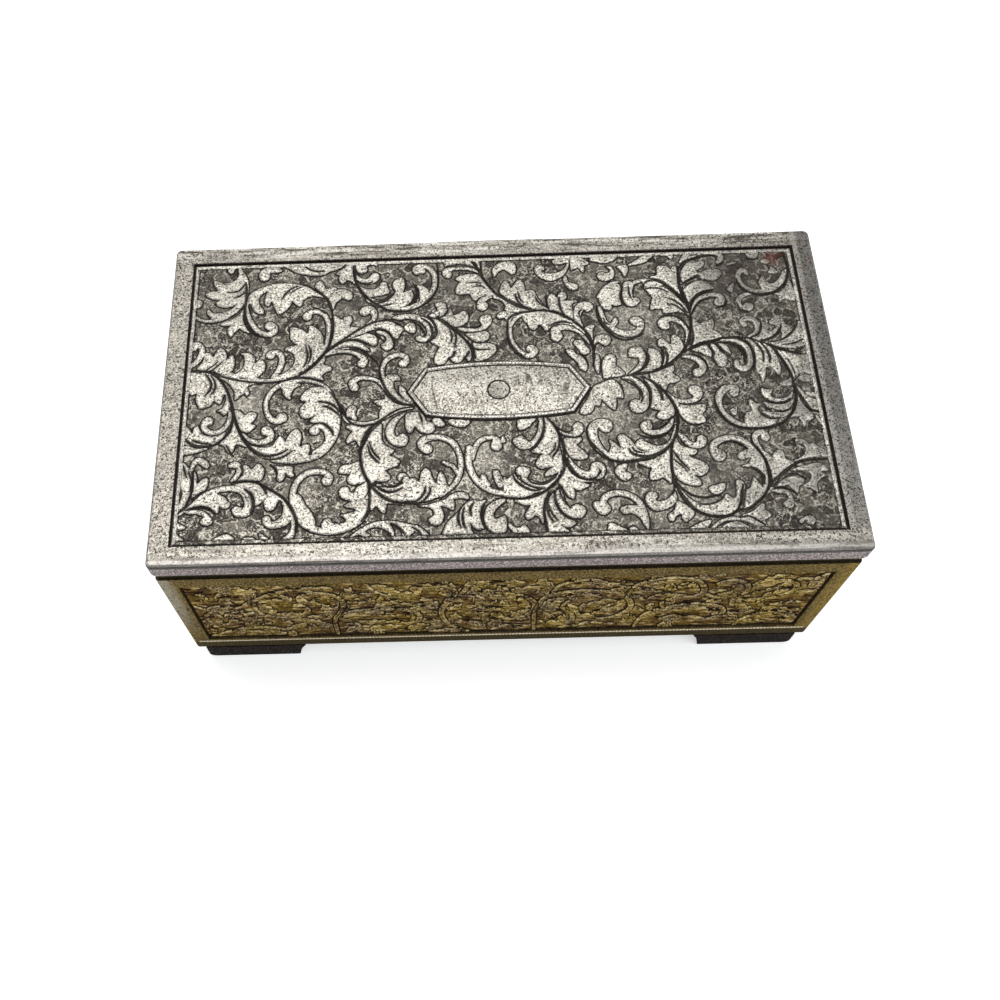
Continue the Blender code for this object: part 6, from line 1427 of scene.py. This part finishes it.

# In metres: where the border's right side is painted darker as shade and rusts, and the dark step below its top
BORDER_SHADE_AND_RUST = (0.0505, 0.0545)
FILLET_SHADOW = (0.0435, 0.0442)
# The first colour of each cast metal is the painted shade of its sides, the second its top
lid_metal = shell_metal(
    "lid_cast",
    (0.086, 0.070, 0.067),
    (0.290, 0.270, 0.235),
    blotch_and_shade=BORDER_SHADE_AND_RUST,
    bands=((*FILLET_SHADOW, 1.0),),
)
assign(nodes["lid_shell"], lid_metal)


# The walls' drawing is a list of stems with how many leaves each bears on its left and right side
FRONT_STEMS = """
2 1:-540 261,-506 235,-461 246,-436 272,-402 301,-365 320,-326 329,-298 322
2 2:-428 276,-432 239,-421 209,-387 194,-354 204,-342 229,-356 250
3 2:-300 104,-300 127,-299 172,-291 201,-280 231,-278 268,-295 296,-324 304,-348 289,-346 269
3 2:-292 184,-280 209,-254 220,-210 224,-173 220,-150 198,-149 166,-170 148,-192 158
2 1:-234 346,-224 316,-204 288,-173 281,-148 294,-150 314
2 2:-91 264,-82 290,-92 316,-116 326,-132 314
1 2:-91 264,-69 296,-63 320,-52 340
3 2:-54 98,-86 127,-104 168,-106 214,-91 262
3 3:-91 264,-61 279,-24 287,13 283,42 261,56 231,53 194,34 168,4 166,-10 186
3 3:62 102,60 140,58 190,64 231,72 261,94 279,131 287,168 283,205 261,224 224,223 187,200 156,168 150,150 170
2 1:114 240,106 210,124 180,128 146,110 126,92 136
2 2:84 284,92 310,116 330,146 334,164 318
3 2:213 246,220 298,242 324,279 334,316 324,335 298,342 268,328 246,304 250
3 3:246 100,250 142,264 179,301 205,346 213,384 196,396 160,374 134,348 144
2 2:342 268,361 246,398 231,436 228,474 239,496 266,490 298,464 312,446 296
2 1:400 231,416 264,408 300,382 318,366 304
2 2:430 102,440 134,466 160,500 166,524 148,518 124
1 1:-506 234,-526 206,-516 172,-490 166,-480 182
2 2:-536 106,-504 126,-464 146,-420 144,-386 124,-384 106
1 1:536 338,520 314,524 286
1 1:-494 344,-472 316,-444 314
1 1:-248 124,-224 116,-206 128
1 1:284 146,306 128,300 108
1 1:-14 110,10 128,30 114
1 1:-34 336,-6 316,24 328
1 1:-396 342,-376 350,-348 342
"""

LEAF_SHAPE = np.array(
    [
        (0.0, -0.04), (0.22, 0.13), (0.45, 0.21), (0.53, 0.13), (0.72, 0.18), (0.80, 0.09), (1.0, 0.02),
        (0.84, -0.07), (0.80, -0.17), (0.62, -0.12), (0.50, -0.20), (0.30, -0.16), (0.12, -0.12),
    ]
)
LEAF_LENGTH = 6.6
LEAF_LEAN = math.radians(50)
STEM_WIDTH = (0.34, 0.60)
STEM_CUT = 0.13
KNOB = 0.95
SPARE_TRIES = 1300
SPARE_SIZES = (6.0, 2.2)

WALL_LOW, WALL_HIGH = 9.6, 35.1
WALL_MIDDLE = (WALL_LOW + WALL_HIGH) / 2
WALL_PITCH = 0.16
WALL_FACE_Y, WALL_FACE_X = 31.45, 57.3
WALL_STILE = 3.1
WALL_GROUND = 0.46
WALL_RISE = 0.40
WALL_FRAME = 0.5


def leaf_at(foot, out, size, side):
    """The outline and vein of one leaf that grows from foot along out and bends to its side."""
    wide = np.array((-out[1], out[0])) * side
    bend = -0.22 * LEAF_SHAPE[:, 0] ** 2
    outline = foot + size * (LEAF_SHAPE[:, :1] * out + (LEAF_SHAPE[:, 1:] + bend[:, None]) * wide)
    veins = []
    for start, lean in ((0.06, -0.22), (0.20, -0.52), (0.34, 0.10)):
        run = np.array((0.0, 0.20, 0.42))[:, None]
        path = foot + size * ((start + run) * out + (lean * (start + run) ** 2 + lean * 0.15) * wide)
        veins.append(np.hstack((path, [[0.05], [0.11], [0.03]])))
    return outline, veins


def sprig(field, row, shift, turned):
    """One stem that ends in a knob, edged by cut lines, with leaves leaning off both sides."""
    counts, places = row.split(":")
    points = (read_points(places) - (shift, WALL_MIDDLE)) * (turned, 1.0)
    share = np.linspace(0, 1, len(points))[:, None]
    width = STEM_WIDTH[0] + (STEM_WIDTH[1] - STEM_WIDTH[0]) * share
    line = curve_through(points, False, 0.4)
    along = np.gradient(line, axis=0)
    along /= np.hypot(*along.T)[:, None]
    across = np.stack((-along[:, 1], along[:, 0]), axis=-1)
    for side, count in zip((1, -1), (int(c) for c in counts.split())):
        for k in range(count):
            at = int(len(line) * (0.10 + 0.70 * (k + (0.0 if side > 0 else 0.45)) / max(count, 1)))
            lean = side * LEAF_LEAN
            out = along[at] * math.cos(lean) + across[at] * math.sin(lean)
            outline, veins = leaf_at(line[at], out, LEAF_LENGTH * (1.0 - 0.2 * k / max(count, 1)), side)
            field.leaf(outline)
            for vein in veins:
                field.line(vein)
    width[-1] = KNOB
    field.band(np.hstack((points, width)))
    grown = STEM_WIDTH[0] + (STEM_WIDTH[1] - STEM_WIDTH[0]) * np.linspace(0, 1, len(line))
    for side in (1, -1):
        edge = line[1:-4:2] + side * across[1:-4:2] * (grown[1:-4:2] + 0.10)[:, None]
        if len(edge) > 2:
            field.line(np.hstack((edge, np.full((len(edge), 1), STEM_CUT))))


def spare_leaves(field, rng):
    """Small leaves in whatever room the stems leave, the larger ones first."""
    reach_x, reach_y = field.xs.max() - 1.0, field.ys.max() - 1.0
    for size in np.linspace(*SPARE_SIZES, SPARE_TRIES):
        foot = np.array((rng.uniform(-reach_x, reach_x), rng.uniform(-reach_y, reach_y)))
        turn = rng.uniform(0, 2 * math.pi)
        outline, veins = leaf_at(foot, np.array((math.cos(turn), math.sin(turn))), size, rng.choice((-1, 1)))
        if np.any(np.abs(outline) > (reach_x, reach_y)):
            continue
        i = np.searchsorted(field.xs, outline[:, 0])
        j = np.searchsorted(field.ys, outline[:, 1])
        middle = outline.mean(axis=0)
        mid_depth = field.inside[np.searchsorted(field.xs, middle[0]), np.searchsorted(field.ys, middle[1])]
        if mid_depth < -0.5 and np.sum(field.inside[i, j] > -0.30) <= 2:
            field.leaf(outline)
            for vein in veins:
                field.line(vein)


def wall_relief(name, width, stems, shift, turned, place, seed):
    field = ReliefField(width, WALL_HIGH - WALL_LOW, WALL_PITCH, seed)
    for row in read_rows(stems):
        sprig(field, row, shift, turned)
    spare_leaves(field, np.random.default_rng(seed))
    to_edge = np.minimum(field.xs.max() - np.abs(field.X), field.ys.max() - np.abs(field.Y))
    field.inside = np.where(to_edge > WALL_FRAME, field.inside, OUTSIDE)
    field.groove = np.where(to_edge > WALL_FRAME, field.groove, WALL_FRAME - 0.15 - to_edge)
    z = field.heights(WALL_RISE) * smooth(WALL_FRAME - 0.2, WALL_FRAME, to_edge)
    relief_pieces(name, field, z, place, relief_metal(name, WALL_TONES), "case", 1)


WALL_WIDE = 2 * (WALL_FACE_X - WALL_STILE)
WALL_DEEP = 2 * (WALL_FACE_Y - WALL_STILE)


def on_front(x, y, z):
    return np.stack((x, CASE_Y - WALL_FACE_Y + WALL_GROUND - z, y + WALL_MIDDLE), axis=-1)


def on_rear(x, y, z):
    return np.stack((-x, CASE_Y + WALL_FACE_Y - WALL_GROUND + z, y + WALL_MIDDLE), axis=-1)


def on_right(x, y, z):
    return np.stack((WALL_FACE_X - WALL_GROUND + z, x + CASE_Y, y + WALL_MIDDLE), axis=-1)


def on_left(x, y, z):
    return np.stack((-WALL_FACE_X + WALL_GROUND - z, CASE_Y - x, y + WALL_MIDDLE), axis=-1)


wall_relief("front_relief", WALL_WIDE, FRONT_STEMS, 0.0, 1.0, on_front, 11)
wall_relief("rear_relief", WALL_WIDE, FRONT_STEMS, 0.0, -1.0, on_rear, 12)
wall_relief("right_relief", WALL_DEEP, FRONT_STEMS, 10.0, 1.0, on_right, 13)
wall_relief("left_relief", WALL_DEEP, FRONT_STEMS, -14.0, -1.0, on_left, 14)


# The case: dark strips by their height in metres, the upper one painted shadow under the lid and the lower one darker
# below the bead, then the bead of the bottom rail in millimetres
RIM_SHADE_STRIP = 0.0384
RAIL_DARK = 0.0083
RIM_SOFT, RAIL_SOFT = 0.0001, 0.0003
BEAD_Z = 8.75
BEAD_RADIUS = 0.20
BEAD_TWIST = 0.62
BEAD_INSET = 1.1
BEAD_SIDES = 6
BEAD_STEP = 0.10
BEAD_LUMP = 0.28
BEAD_SUNK = 0.07

# Here too the first colour is the painted shade of the sides, for the case and its feet
case_metal = shell_metal(
    "case_cast",
    (0.052, 0.038, 0.017),
    (0.100, 0.078, 0.042),
    metal=0.85,
    reflected_from=STILE_EDGE,
    tint=(0.56, 0.50, 0.34),
    strips=((RIM_SHADE_STRIP - RIM_SOFT, RIM_SHADE_STRIP + RIM_SOFT, 0.92), (RAIL_DARK + RAIL_SOFT, RAIL_DARK - RAIL_SOFT, 0.90)),
)
assign(nodes["case_body"], case_metal)
foot_metal = shell_metal("foot_cast", (0.010, 0.008, 0.007), (0.020, 0.017, 0.014), metal=0.9, tint=(0.4, 0.4, 0.4))
for foot in ("foot_front_left", "foot_front_right", "foot_rear_left", "foot_rear_right"):
    assign(nodes[foot], foot_metal)


def tube_mesh(name, rings):
    """A mesh skinned over rings of points, each ring a list of the same length."""
    bm = bmesh.new()
    rows = [[bm.verts.new(p) for p in ring] for ring in rings]
    count = len(rows[0])
    for a, b in zip(rows[:-1], rows[1:]):
        for k in range(count):
            bm.faces.new((a[k], a[(k + 1) % count], b[(k + 1) % count], b[k]))
    bm.faces.new(reversed(rows[0]))
    bm.faces.new(rows[-1])
    bmesh.ops.recalc_face_normals(bm, faces=bm.faces)
    for face in bm.faces:
        face.smooth = True
    mesh = bpy.data.meshes.new(name)
    bm.to_mesh(mesh)
    bm.free()
    made = bpy.data.objects.new(name, mesh)
    scene.collection.objects.link(made)
    return made


def beading(name, half, place):
    """A thin roped bead along one wall."""
    rings = []
    steps = int(2 * half / BEAD_STEP)
    for k in range(steps + 1):
        run = -half + 2 * half * k / steps
        ring = []
        for side in range(BEAD_SIDES):
            angle = 2 * math.pi * side / BEAD_SIDES
            lump = 1 + BEAD_LUMP * math.cos(2 * math.pi * run / BEAD_TWIST + angle)
            ring.append(place(run, BEAD_RADIUS * lump * math.cos(angle), BEAD_RADIUS * lump * math.sin(angle)))
        rings.append(ring)
    piece = tube_mesh(name, rings)
    assign(piece, lit_bead_metal)
    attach(piece, "case")


# The bead is the case's cast metal; its pale colour is a painted highlight
lit_bead_metal = turned_metal("bead_cast", (0.62, 0.54, 0.40), (0.16, 0.12, 0.08), 0.34, size=0.0005)
wall_y, wall_x = WALL_FACE_Y - BEAD_SUNK, WALL_FACE_X - BEAD_SUNK
long_half, short_half = WALL_FACE_X - BEAD_INSET, WALL_FACE_Y - BEAD_INSET
beading("front_bead", long_half, lambda t, u, v: Vector((t, CASE_Y - wall_y - u, BEAD_Z + v)) * MM)
beading("rear_bead", long_half, lambda t, u, v: Vector((t, CASE_Y + wall_y + u, BEAD_Z + v)) * MM)
beading("left_bead", short_half, lambda t, u, v: Vector((-wall_x - u, CASE_Y + t, BEAD_Z + v)) * MM)
beading("right_bead", short_half, lambda t, u, v: Vector((wall_x + u, CASE_Y + t, BEAD_Z + v)) * MM)


# The linings, in millimetres
WELL_LEFT, WELL_RIGHT = -11.1, 54.6
LINING_HALF_Y = 28.75
WELL_UNDER, WELL_RIM = 7.7, 38.4
TUB_WALL = 1.4
TUB_CORNER = 2.0
PAD_HALF = (53.9, 28.15)
PAD_TOP, PAD_EDGE, PAD_CROWN = 42.35, 41.1, 40.16
PAD_SEAM = 4.0
PAD_LIP = 0.62
TUB_UNDER_INSETS = (24.0, 12.0, 3.0, 0.5)
TUB_SIDE_HEIGHTS = (14.0, 22.0, 30.0)
TUB_FOOT = 11.4
TUB_SWELL = 0.14
TUB_FLOOR_INSETS = (3.4, 4.4, 6.0, 9.0, 13.0, 18.0, 24.0, 27.6)
TUB_FLOOR_RISE = 0.55
RING_STEPS = 26
PAD_STEPS = 40
PAD_BACK_INSETS = (26.0, 14.0, 4.0, 1.2)
PAD_FRONT_INSETS = np.concatenate((np.linspace(1.0, 3.4, 6), np.linspace(3.7, 4.3, 5), np.linspace(4.9, 27.4, 16)))
SEAM_DEPTH, SEAM_WIDTH = 0.26, 0.42


def rounded_ring(middle, half, corner, z, steps, pull=0.0):
    """Points round a rectangle with round corners, its sides drawn in between the corners by pull."""
    points = []
    corner = min(max(corner, 0.02), 0.9 * min(half))
    flats = (2 * (half[0] - corner), 2 * (half[1] - corner))
    for quarter in range(4):
        sx, sy = ((1, 1), (-1, 1), (-1, -1), (1, -1))[quarter]
        cx, cy = sx * (half[0] - corner), sy * (half[1] - corner)
        for k in range(9):
            angle = math.pi / 2 * (quarter + k / 8)
            points.append((cx + corner * math.cos(angle), cy + corner * math.sin(angle)))
        flat = flats[0] if quarter % 2 == 0 else flats[1]
        for k in range(1, steps):
            share = k / steps
            inward = pull * math.sin(math.pi * share)
            if quarter % 2 == 0:
                points.append((cx - sx * flat * share, cy + sy * (corner - inward)))
            else:
                points.append((cx + sx * (corner - inward), cy - sy * flat * share))
    return [Vector((middle[0] + x, middle[1] + y, z)) * MM for x, y in points]


def rumpled(piece, amount, size, seed):
    """Small soft unevenness along the surface's own directions."""
    mesh = piece.data
    count = len(mesh.vertices)
    places = np.empty(count * 3)
    ways = np.empty(count * 3)
    mesh.vertices.foreach_get("co", places)
    mesh.vertices.foreach_get("normal", ways)
    places, ways = places.reshape(-1, 3), ways.reshape(-1, 3)
    rng = np.random.default_rng(seed)
    wave = np.zeros(count)
    for _ in range(6):
        way = rng.normal(size=3)
        way *= 2 * math.pi / (size * rng.uniform(0.7, 1.6) * np.linalg.norm(way))
        wave += np.sin(places @ way + rng.uniform(0, 6.28)) / 6
    mesh.vertices.foreach_set("co", (places + ways * (wave * amount)[:, None]).reshape(-1))
    mesh.update()


def well_velvet():
    """The tub: card sides with a rounded lip and a thinly padded floor, covered in velvet."""
    middle = ((WELL_LEFT + WELL_RIGHT) / 2, CASE_Y)
    half = ((WELL_RIGHT - WELL_LEFT) / 2, LINING_HALF_Y)
    rings = []

    def ring(inset, z, corner, pull=0.0):
        inner = (half[0] - inset, half[1] - inset)
        rings.append(rounded_ring(middle, inner, corner, z, RING_STEPS, pull))

    for inset in TUB_UNDER_INSETS:
        ring(inset, WELL_UNDER, 0.3)
    for z in (WELL_UNDER + 0.3, *TUB_SIDE_HEIGHTS, WELL_RIM - 0.7):
        ring(0.02, z, 0.3)
    for k in range(9):
        angle = math.pi * k / 8
        lip = TUB_WALL / 2
        ring(lip - lip * math.cos(angle), WELL_RIM - lip + lip * math.sin(angle), 0.3 + 0.7 * k / 8)
    for z in np.linspace(WELL_RIM - 1.6, TUB_FOOT, 12):
        swell = TUB_SWELL * math.sin(math.pi * (WELL_RIM - z) / (WELL_RIM - TUB_FOOT))
        ring(TUB_WALL + swell, z, TUB_CORNER - 0.6, 0.1)
    floor = WELL_UNDER + TUB_WALL
    for k in range(1, 6):
        angle = math.pi / 2 * k / 5
        ring(TUB_WALL + 1.2 * (1 - math.cos(angle)), floor + 1.4 * (1 - math.sin(angle)), TUB_CORNER)
    ring(TUB_WALL + 1.5, floor - 0.25, TUB_CORNER)
    for inset in TUB_FLOOR_INSETS:
        rise = TUB_FLOOR_RISE * math.sin(min(1.0, (inset - 2.9) / 12.0) * math.pi / 2)
        ring(inset, floor - 0.1 + rise, TUB_CORNER + 0.4)
    piece = tube_mesh("well_velvet", rings)
    rumpled(piece, 0.06 * MM, 9 * MM, 3)
    assign(piece, velvet)
    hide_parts("tray_lining")
    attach(piece, "case")


def lid_pad():
    """The padded panel in the lid: a crowned cushion with a stitched line near its edge."""
    middle = (0.0, CASE_Y)
    rings = []

    def ring(inset, z, corner, pull=0.0):
        inner = (PAD_HALF[0] - inset, PAD_HALF[1] - inset)
        rings.append(rounded_ring(middle, inner, corner, z, PAD_STEPS, pull))

    for inset in PAD_BACK_INSETS:
        ring(inset, PAD_TOP, 1.0)
    for k in range(8):
        angle = math.pi / 2 * (1 - k / 7 * 1.9)
        ring(PAD_LIP - PAD_LIP * math.cos(angle), PAD_EDGE + PAD_LIP * math.sin(angle) + 0.3, 1.6, 0.25)
    for inset in PAD_FRONT_INSETS:
        share = min(1.0, inset / 14.0)
        crown = PAD_EDGE - (PAD_EDGE - PAD_CROWN) * math.sin(math.pi / 2 * share) ** 0.8
        seam = SEAM_DEPTH * math.exp(-(((inset - PAD_SEAM) / SEAM_WIDTH) ** 2))
        ring(inset, crown + seam, 2.0)
    piece = tube_mesh("lid_pad", rings)
    rumpled(piece, 0.05 * MM, 11 * MM, 5)
    assign(piece, velvet)
    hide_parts("lid_lining")
    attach(piece, "lid")


FELT_EASED = 0.00016


def felt_sheet():
    """The felt under the floor, cut round the key's cup and the bed screws, with its sharp edges eased."""
    bm = bmesh.new()
    bm.from_mesh(nodes["base_felt"].data)
    bmesh.ops.remove_doubles(bm, verts=bm.verts, dist=0.00001)
    bmesh.ops.dissolve_limit(bm, angle_limit=math.radians(2), verts=bm.verts, edges=bm.edges)
    sharp = [e for e in bm.edges if len(e.link_faces) == 2 and e.calc_face_angle() > math.radians(60)]
    bmesh.ops.bevel(bm, geom=sharp, offset=FELT_EASED, segments=3, profile=0.5, affect="EDGES")
    for face in bm.faces:
        face.smooth = False
    mesh = bpy.data.meshes.new("felt_sheet")
    bm.to_mesh(mesh)
    flat_area = sum(f.calc_area() for f in bm.faces if f.normal.z > 0.9)
    bm.free()
    piece = bpy.data.objects.new("felt_sheet", mesh)
    scene.collection.objects.link(piece)
    assign(piece, pile("felt_green", (0.010, 0.034, 0.018), (0.020, 0.062, 0.033), (0.060, 0.130, 0.075), 0.00022))
    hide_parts("base_felt")
    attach(piece, "case")


SPRING_AT = (-40.6, 23.175)
SPRING_LOW, SPRING_HIGH = 22.12, 27.28
SPRING_RADIUS, SPRING_WIRE = 1.5, 0.155
SPRING_TURNS = 6.5
SPRING_CLOSED = 0.75
SPRING_STEPS, SPRING_SIDES = 28, 8
CLOSED_RISE = 0.16


def stop_coil():
    """The stop pin's spring, closed at both ends."""
    rings = []
    steps = int(SPRING_TURNS * SPRING_STEPS)
    rise = SPRING_HIGH - SPRING_LOW - 2 * SPRING_WIRE
    climb = []
    for k in range(steps + 1):
        turn = SPRING_TURNS * k / steps
        open_share = smooth(0.0, SPRING_CLOSED, turn) * (1 - smooth(SPRING_TURNS - SPRING_CLOSED, SPRING_TURNS, turn))
        climb.append(CLOSED_RISE + (1 - CLOSED_RISE) * float(open_share))
    heights = np.concatenate(([0.0], np.cumsum(climb[1:])))
    heights = SPRING_LOW + SPRING_WIRE + rise * heights / heights[-1]
    for k in range(steps + 1):
        angle = 2 * math.pi * SPRING_TURNS * k / steps
        out = Vector((math.cos(angle), math.sin(angle), 0.0))
        at = Vector((*SPRING_AT, heights[k])) + out * SPRING_RADIUS
        ring = []
        for side in range(SPRING_SIDES):
            turn = 2 * math.pi * side / SPRING_SIDES
            ring.append((at + out * SPRING_WIRE * math.cos(turn) + Vector((0, 0, SPRING_WIRE * math.sin(turn)))) * MM)
        rings.append(ring)
    piece = tube_mesh("stop_coil", rings)
    assign(piece, steel)
    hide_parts("stop_spring")
    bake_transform(piece)


# Materials of the parts that stay as they are, and of the linings
velvet = pile("velvet_wine", (0.060, 0.004, 0.010), (0.155, 0.012, 0.028), (0.420, 0.085, 0.110), 0.00026)
card = pile("velvet_card", (0.070, 0.005, 0.012), (0.170, 0.014, 0.030), (0.420, 0.090, 0.115), 0.00030)
steel = turned_metal("steel_drawn", (0.36, 0.355, 0.34), (0.14, 0.125, 0.11), 0.34, (1.0, 1.0, 6.0))
comb_steel = turned_metal("steel_ground", (0.40, 0.39, 0.37), (0.17, 0.15, 0.125), 0.34, (0.15, 1.0, 1.0), 0.0002)
screw_steel = turned_metal("steel_zinced", (0.31, 0.31, 0.295), (0.10, 0.09, 0.075), 0.40)
blued = turned_metal("steel_blued", (0.045, 0.060, 0.135), (0.030, 0.028, 0.035), 0.28, (1.0, 1.0, 5.0))
brass = turned_metal("brass_turned", (0.46, 0.30, 0.095), (0.20, 0.12, 0.045), 0.34, (6.0, 6.0, 1.0))
brass_sheet = turned_metal("brass_sheet", (0.42, 0.28, 0.095), (0.18, 0.11, 0.045), 0.38, (0.2, 1.0, 1.0))
cylinder_brass = turned_metal("brass_cylinder", (0.47, 0.32, 0.115), (0.21, 0.13, 0.05), 0.34, (1.0, 8.0, 1.0), 0.00025)
cast_bed = cast_zinc("zinc_bed", (0.150, 0.146, 0.138), (0.085, 0.081, 0.076))

FINISHES = (
    (steel, "hinge_pin", "winding_arbor", "cylinder_arbor", "stop_pin", "worm_shaft"),
    (comb_steel, "comb"),
    (screw_steel, "bed_screw_1", "bed_screw_2", "bed_screw_3", "bed_screw_4", "comb_screw_1", "comb_screw_2"),
    (screw_steel, "bridge_screw_1", "bridge_screw_2", "governor_screw"),
    (blued, "mainspring", "brake_arm"),
    (brass, "winding_key", "great_wheel", "cylinder_gear", "second_wheel", "governor_fan"),
    (brass_sheet, "governor_frame", "spring_bridge"),
    (cylinder_brass, "pinned_cylinder"),
    (cast_bed, "bedplate"),
    (card, "partition", "front_ledge", "rear_ledge"),
    (clear_plastic("acrylic_cover"), "movement_cover"),
)
for finish, *names in FINISHES:
    for name in names:
        assign(nodes[name], finish)
assign(nodes["key_cup"], turned_metal("cup_tinplate", (0.30, 0.285, 0.26), (0.13, 0.11, 0.085), 0.42, (1.0, 1.0, 7.0)))

well_velvet()
lid_pad()
felt_sheet()
stop_coil()


FLOOR_SIZE = 6.0
LAMPS_AIM = Vector((0.0, 0.0, 0.02))
FLOOR_GLOW = 0.50
WORLD_LEVEL = 0.52
# Each lamp: name, place, size in metres, watts and colour
LAMPS = (
    ("key", (-0.12, 0.27, 1.00), (0.6, 0.5), 6.1, (1.0, 0.985, 0.96)),
    ("fill", (0.60, -0.35, 0.60), (0.7, 0.6), 2.7, (0.96, 0.98, 1.0)),
)


def floor_and_light():
    """A plain floor that glows a little to the camera and in mirrors, a pale world and two soft lamps."""
    mesh = bpy.data.meshes.new("floor")
    half = FLOOR_SIZE / 2
    mesh.from_pydata([(-half, -half, 0), (half, -half, 0), (half, half, 0), (-half, half, 0)], [], [(0, 1, 2, 3)])
    floor = bpy.data.objects.new("floor", mesh)
    scene.collection.objects.link(floor)
    s = Shader("floor_white")
    path = s.node("LightPath")
    seen = s.most(path.outputs["Is Camera Ray"], path.outputs["Is Glossy Ray"])
    seen = s.most(seen, path.outputs["Is Transmission Ray"])
    s.principled(Base_Color=(0.86, 0.86, 0.86), Roughness=0.9)
    glow = s.node("Emission")
    s.link(s.times(seen, FLOOR_GLOW), glow.inputs["Strength"])
    both = s.node("AddShader")
    s.tree.links.new(s.surface.outputs[0], both.inputs[0])
    s.tree.links.new(glow.outputs[0], both.inputs[1])
    s.tree.links.new(both.outputs[0], s.output.inputs["Surface"])
    assign(floor, s.material)

    world = bpy.data.worlds.new("studio")
    scene.world = world
    world.use_nodes = True
    tree = world.node_tree
    tree.nodes["Background"].inputs["Color"].default_value = (0.96, 0.98, 1.0, 1.0)
    tree.nodes["Background"].inputs["Strength"].default_value = WORLD_LEVEL

    for name, place, size, power, warmth in LAMPS:
        lamp = bpy.data.lights.new(name, "AREA")
        lamp.shape = "RECTANGLE"
        lamp.size, lamp.size_y = size
        lamp.energy = power
        lamp.color = warmth
        made = bpy.data.objects.new(name, lamp)
        made.location = place
        made.rotation_euler = (LAMPS_AIM - Vector(place)).to_track_quat("-Z", "Y").to_euler()
        scene.collection.objects.link(made)


floor_and_light()
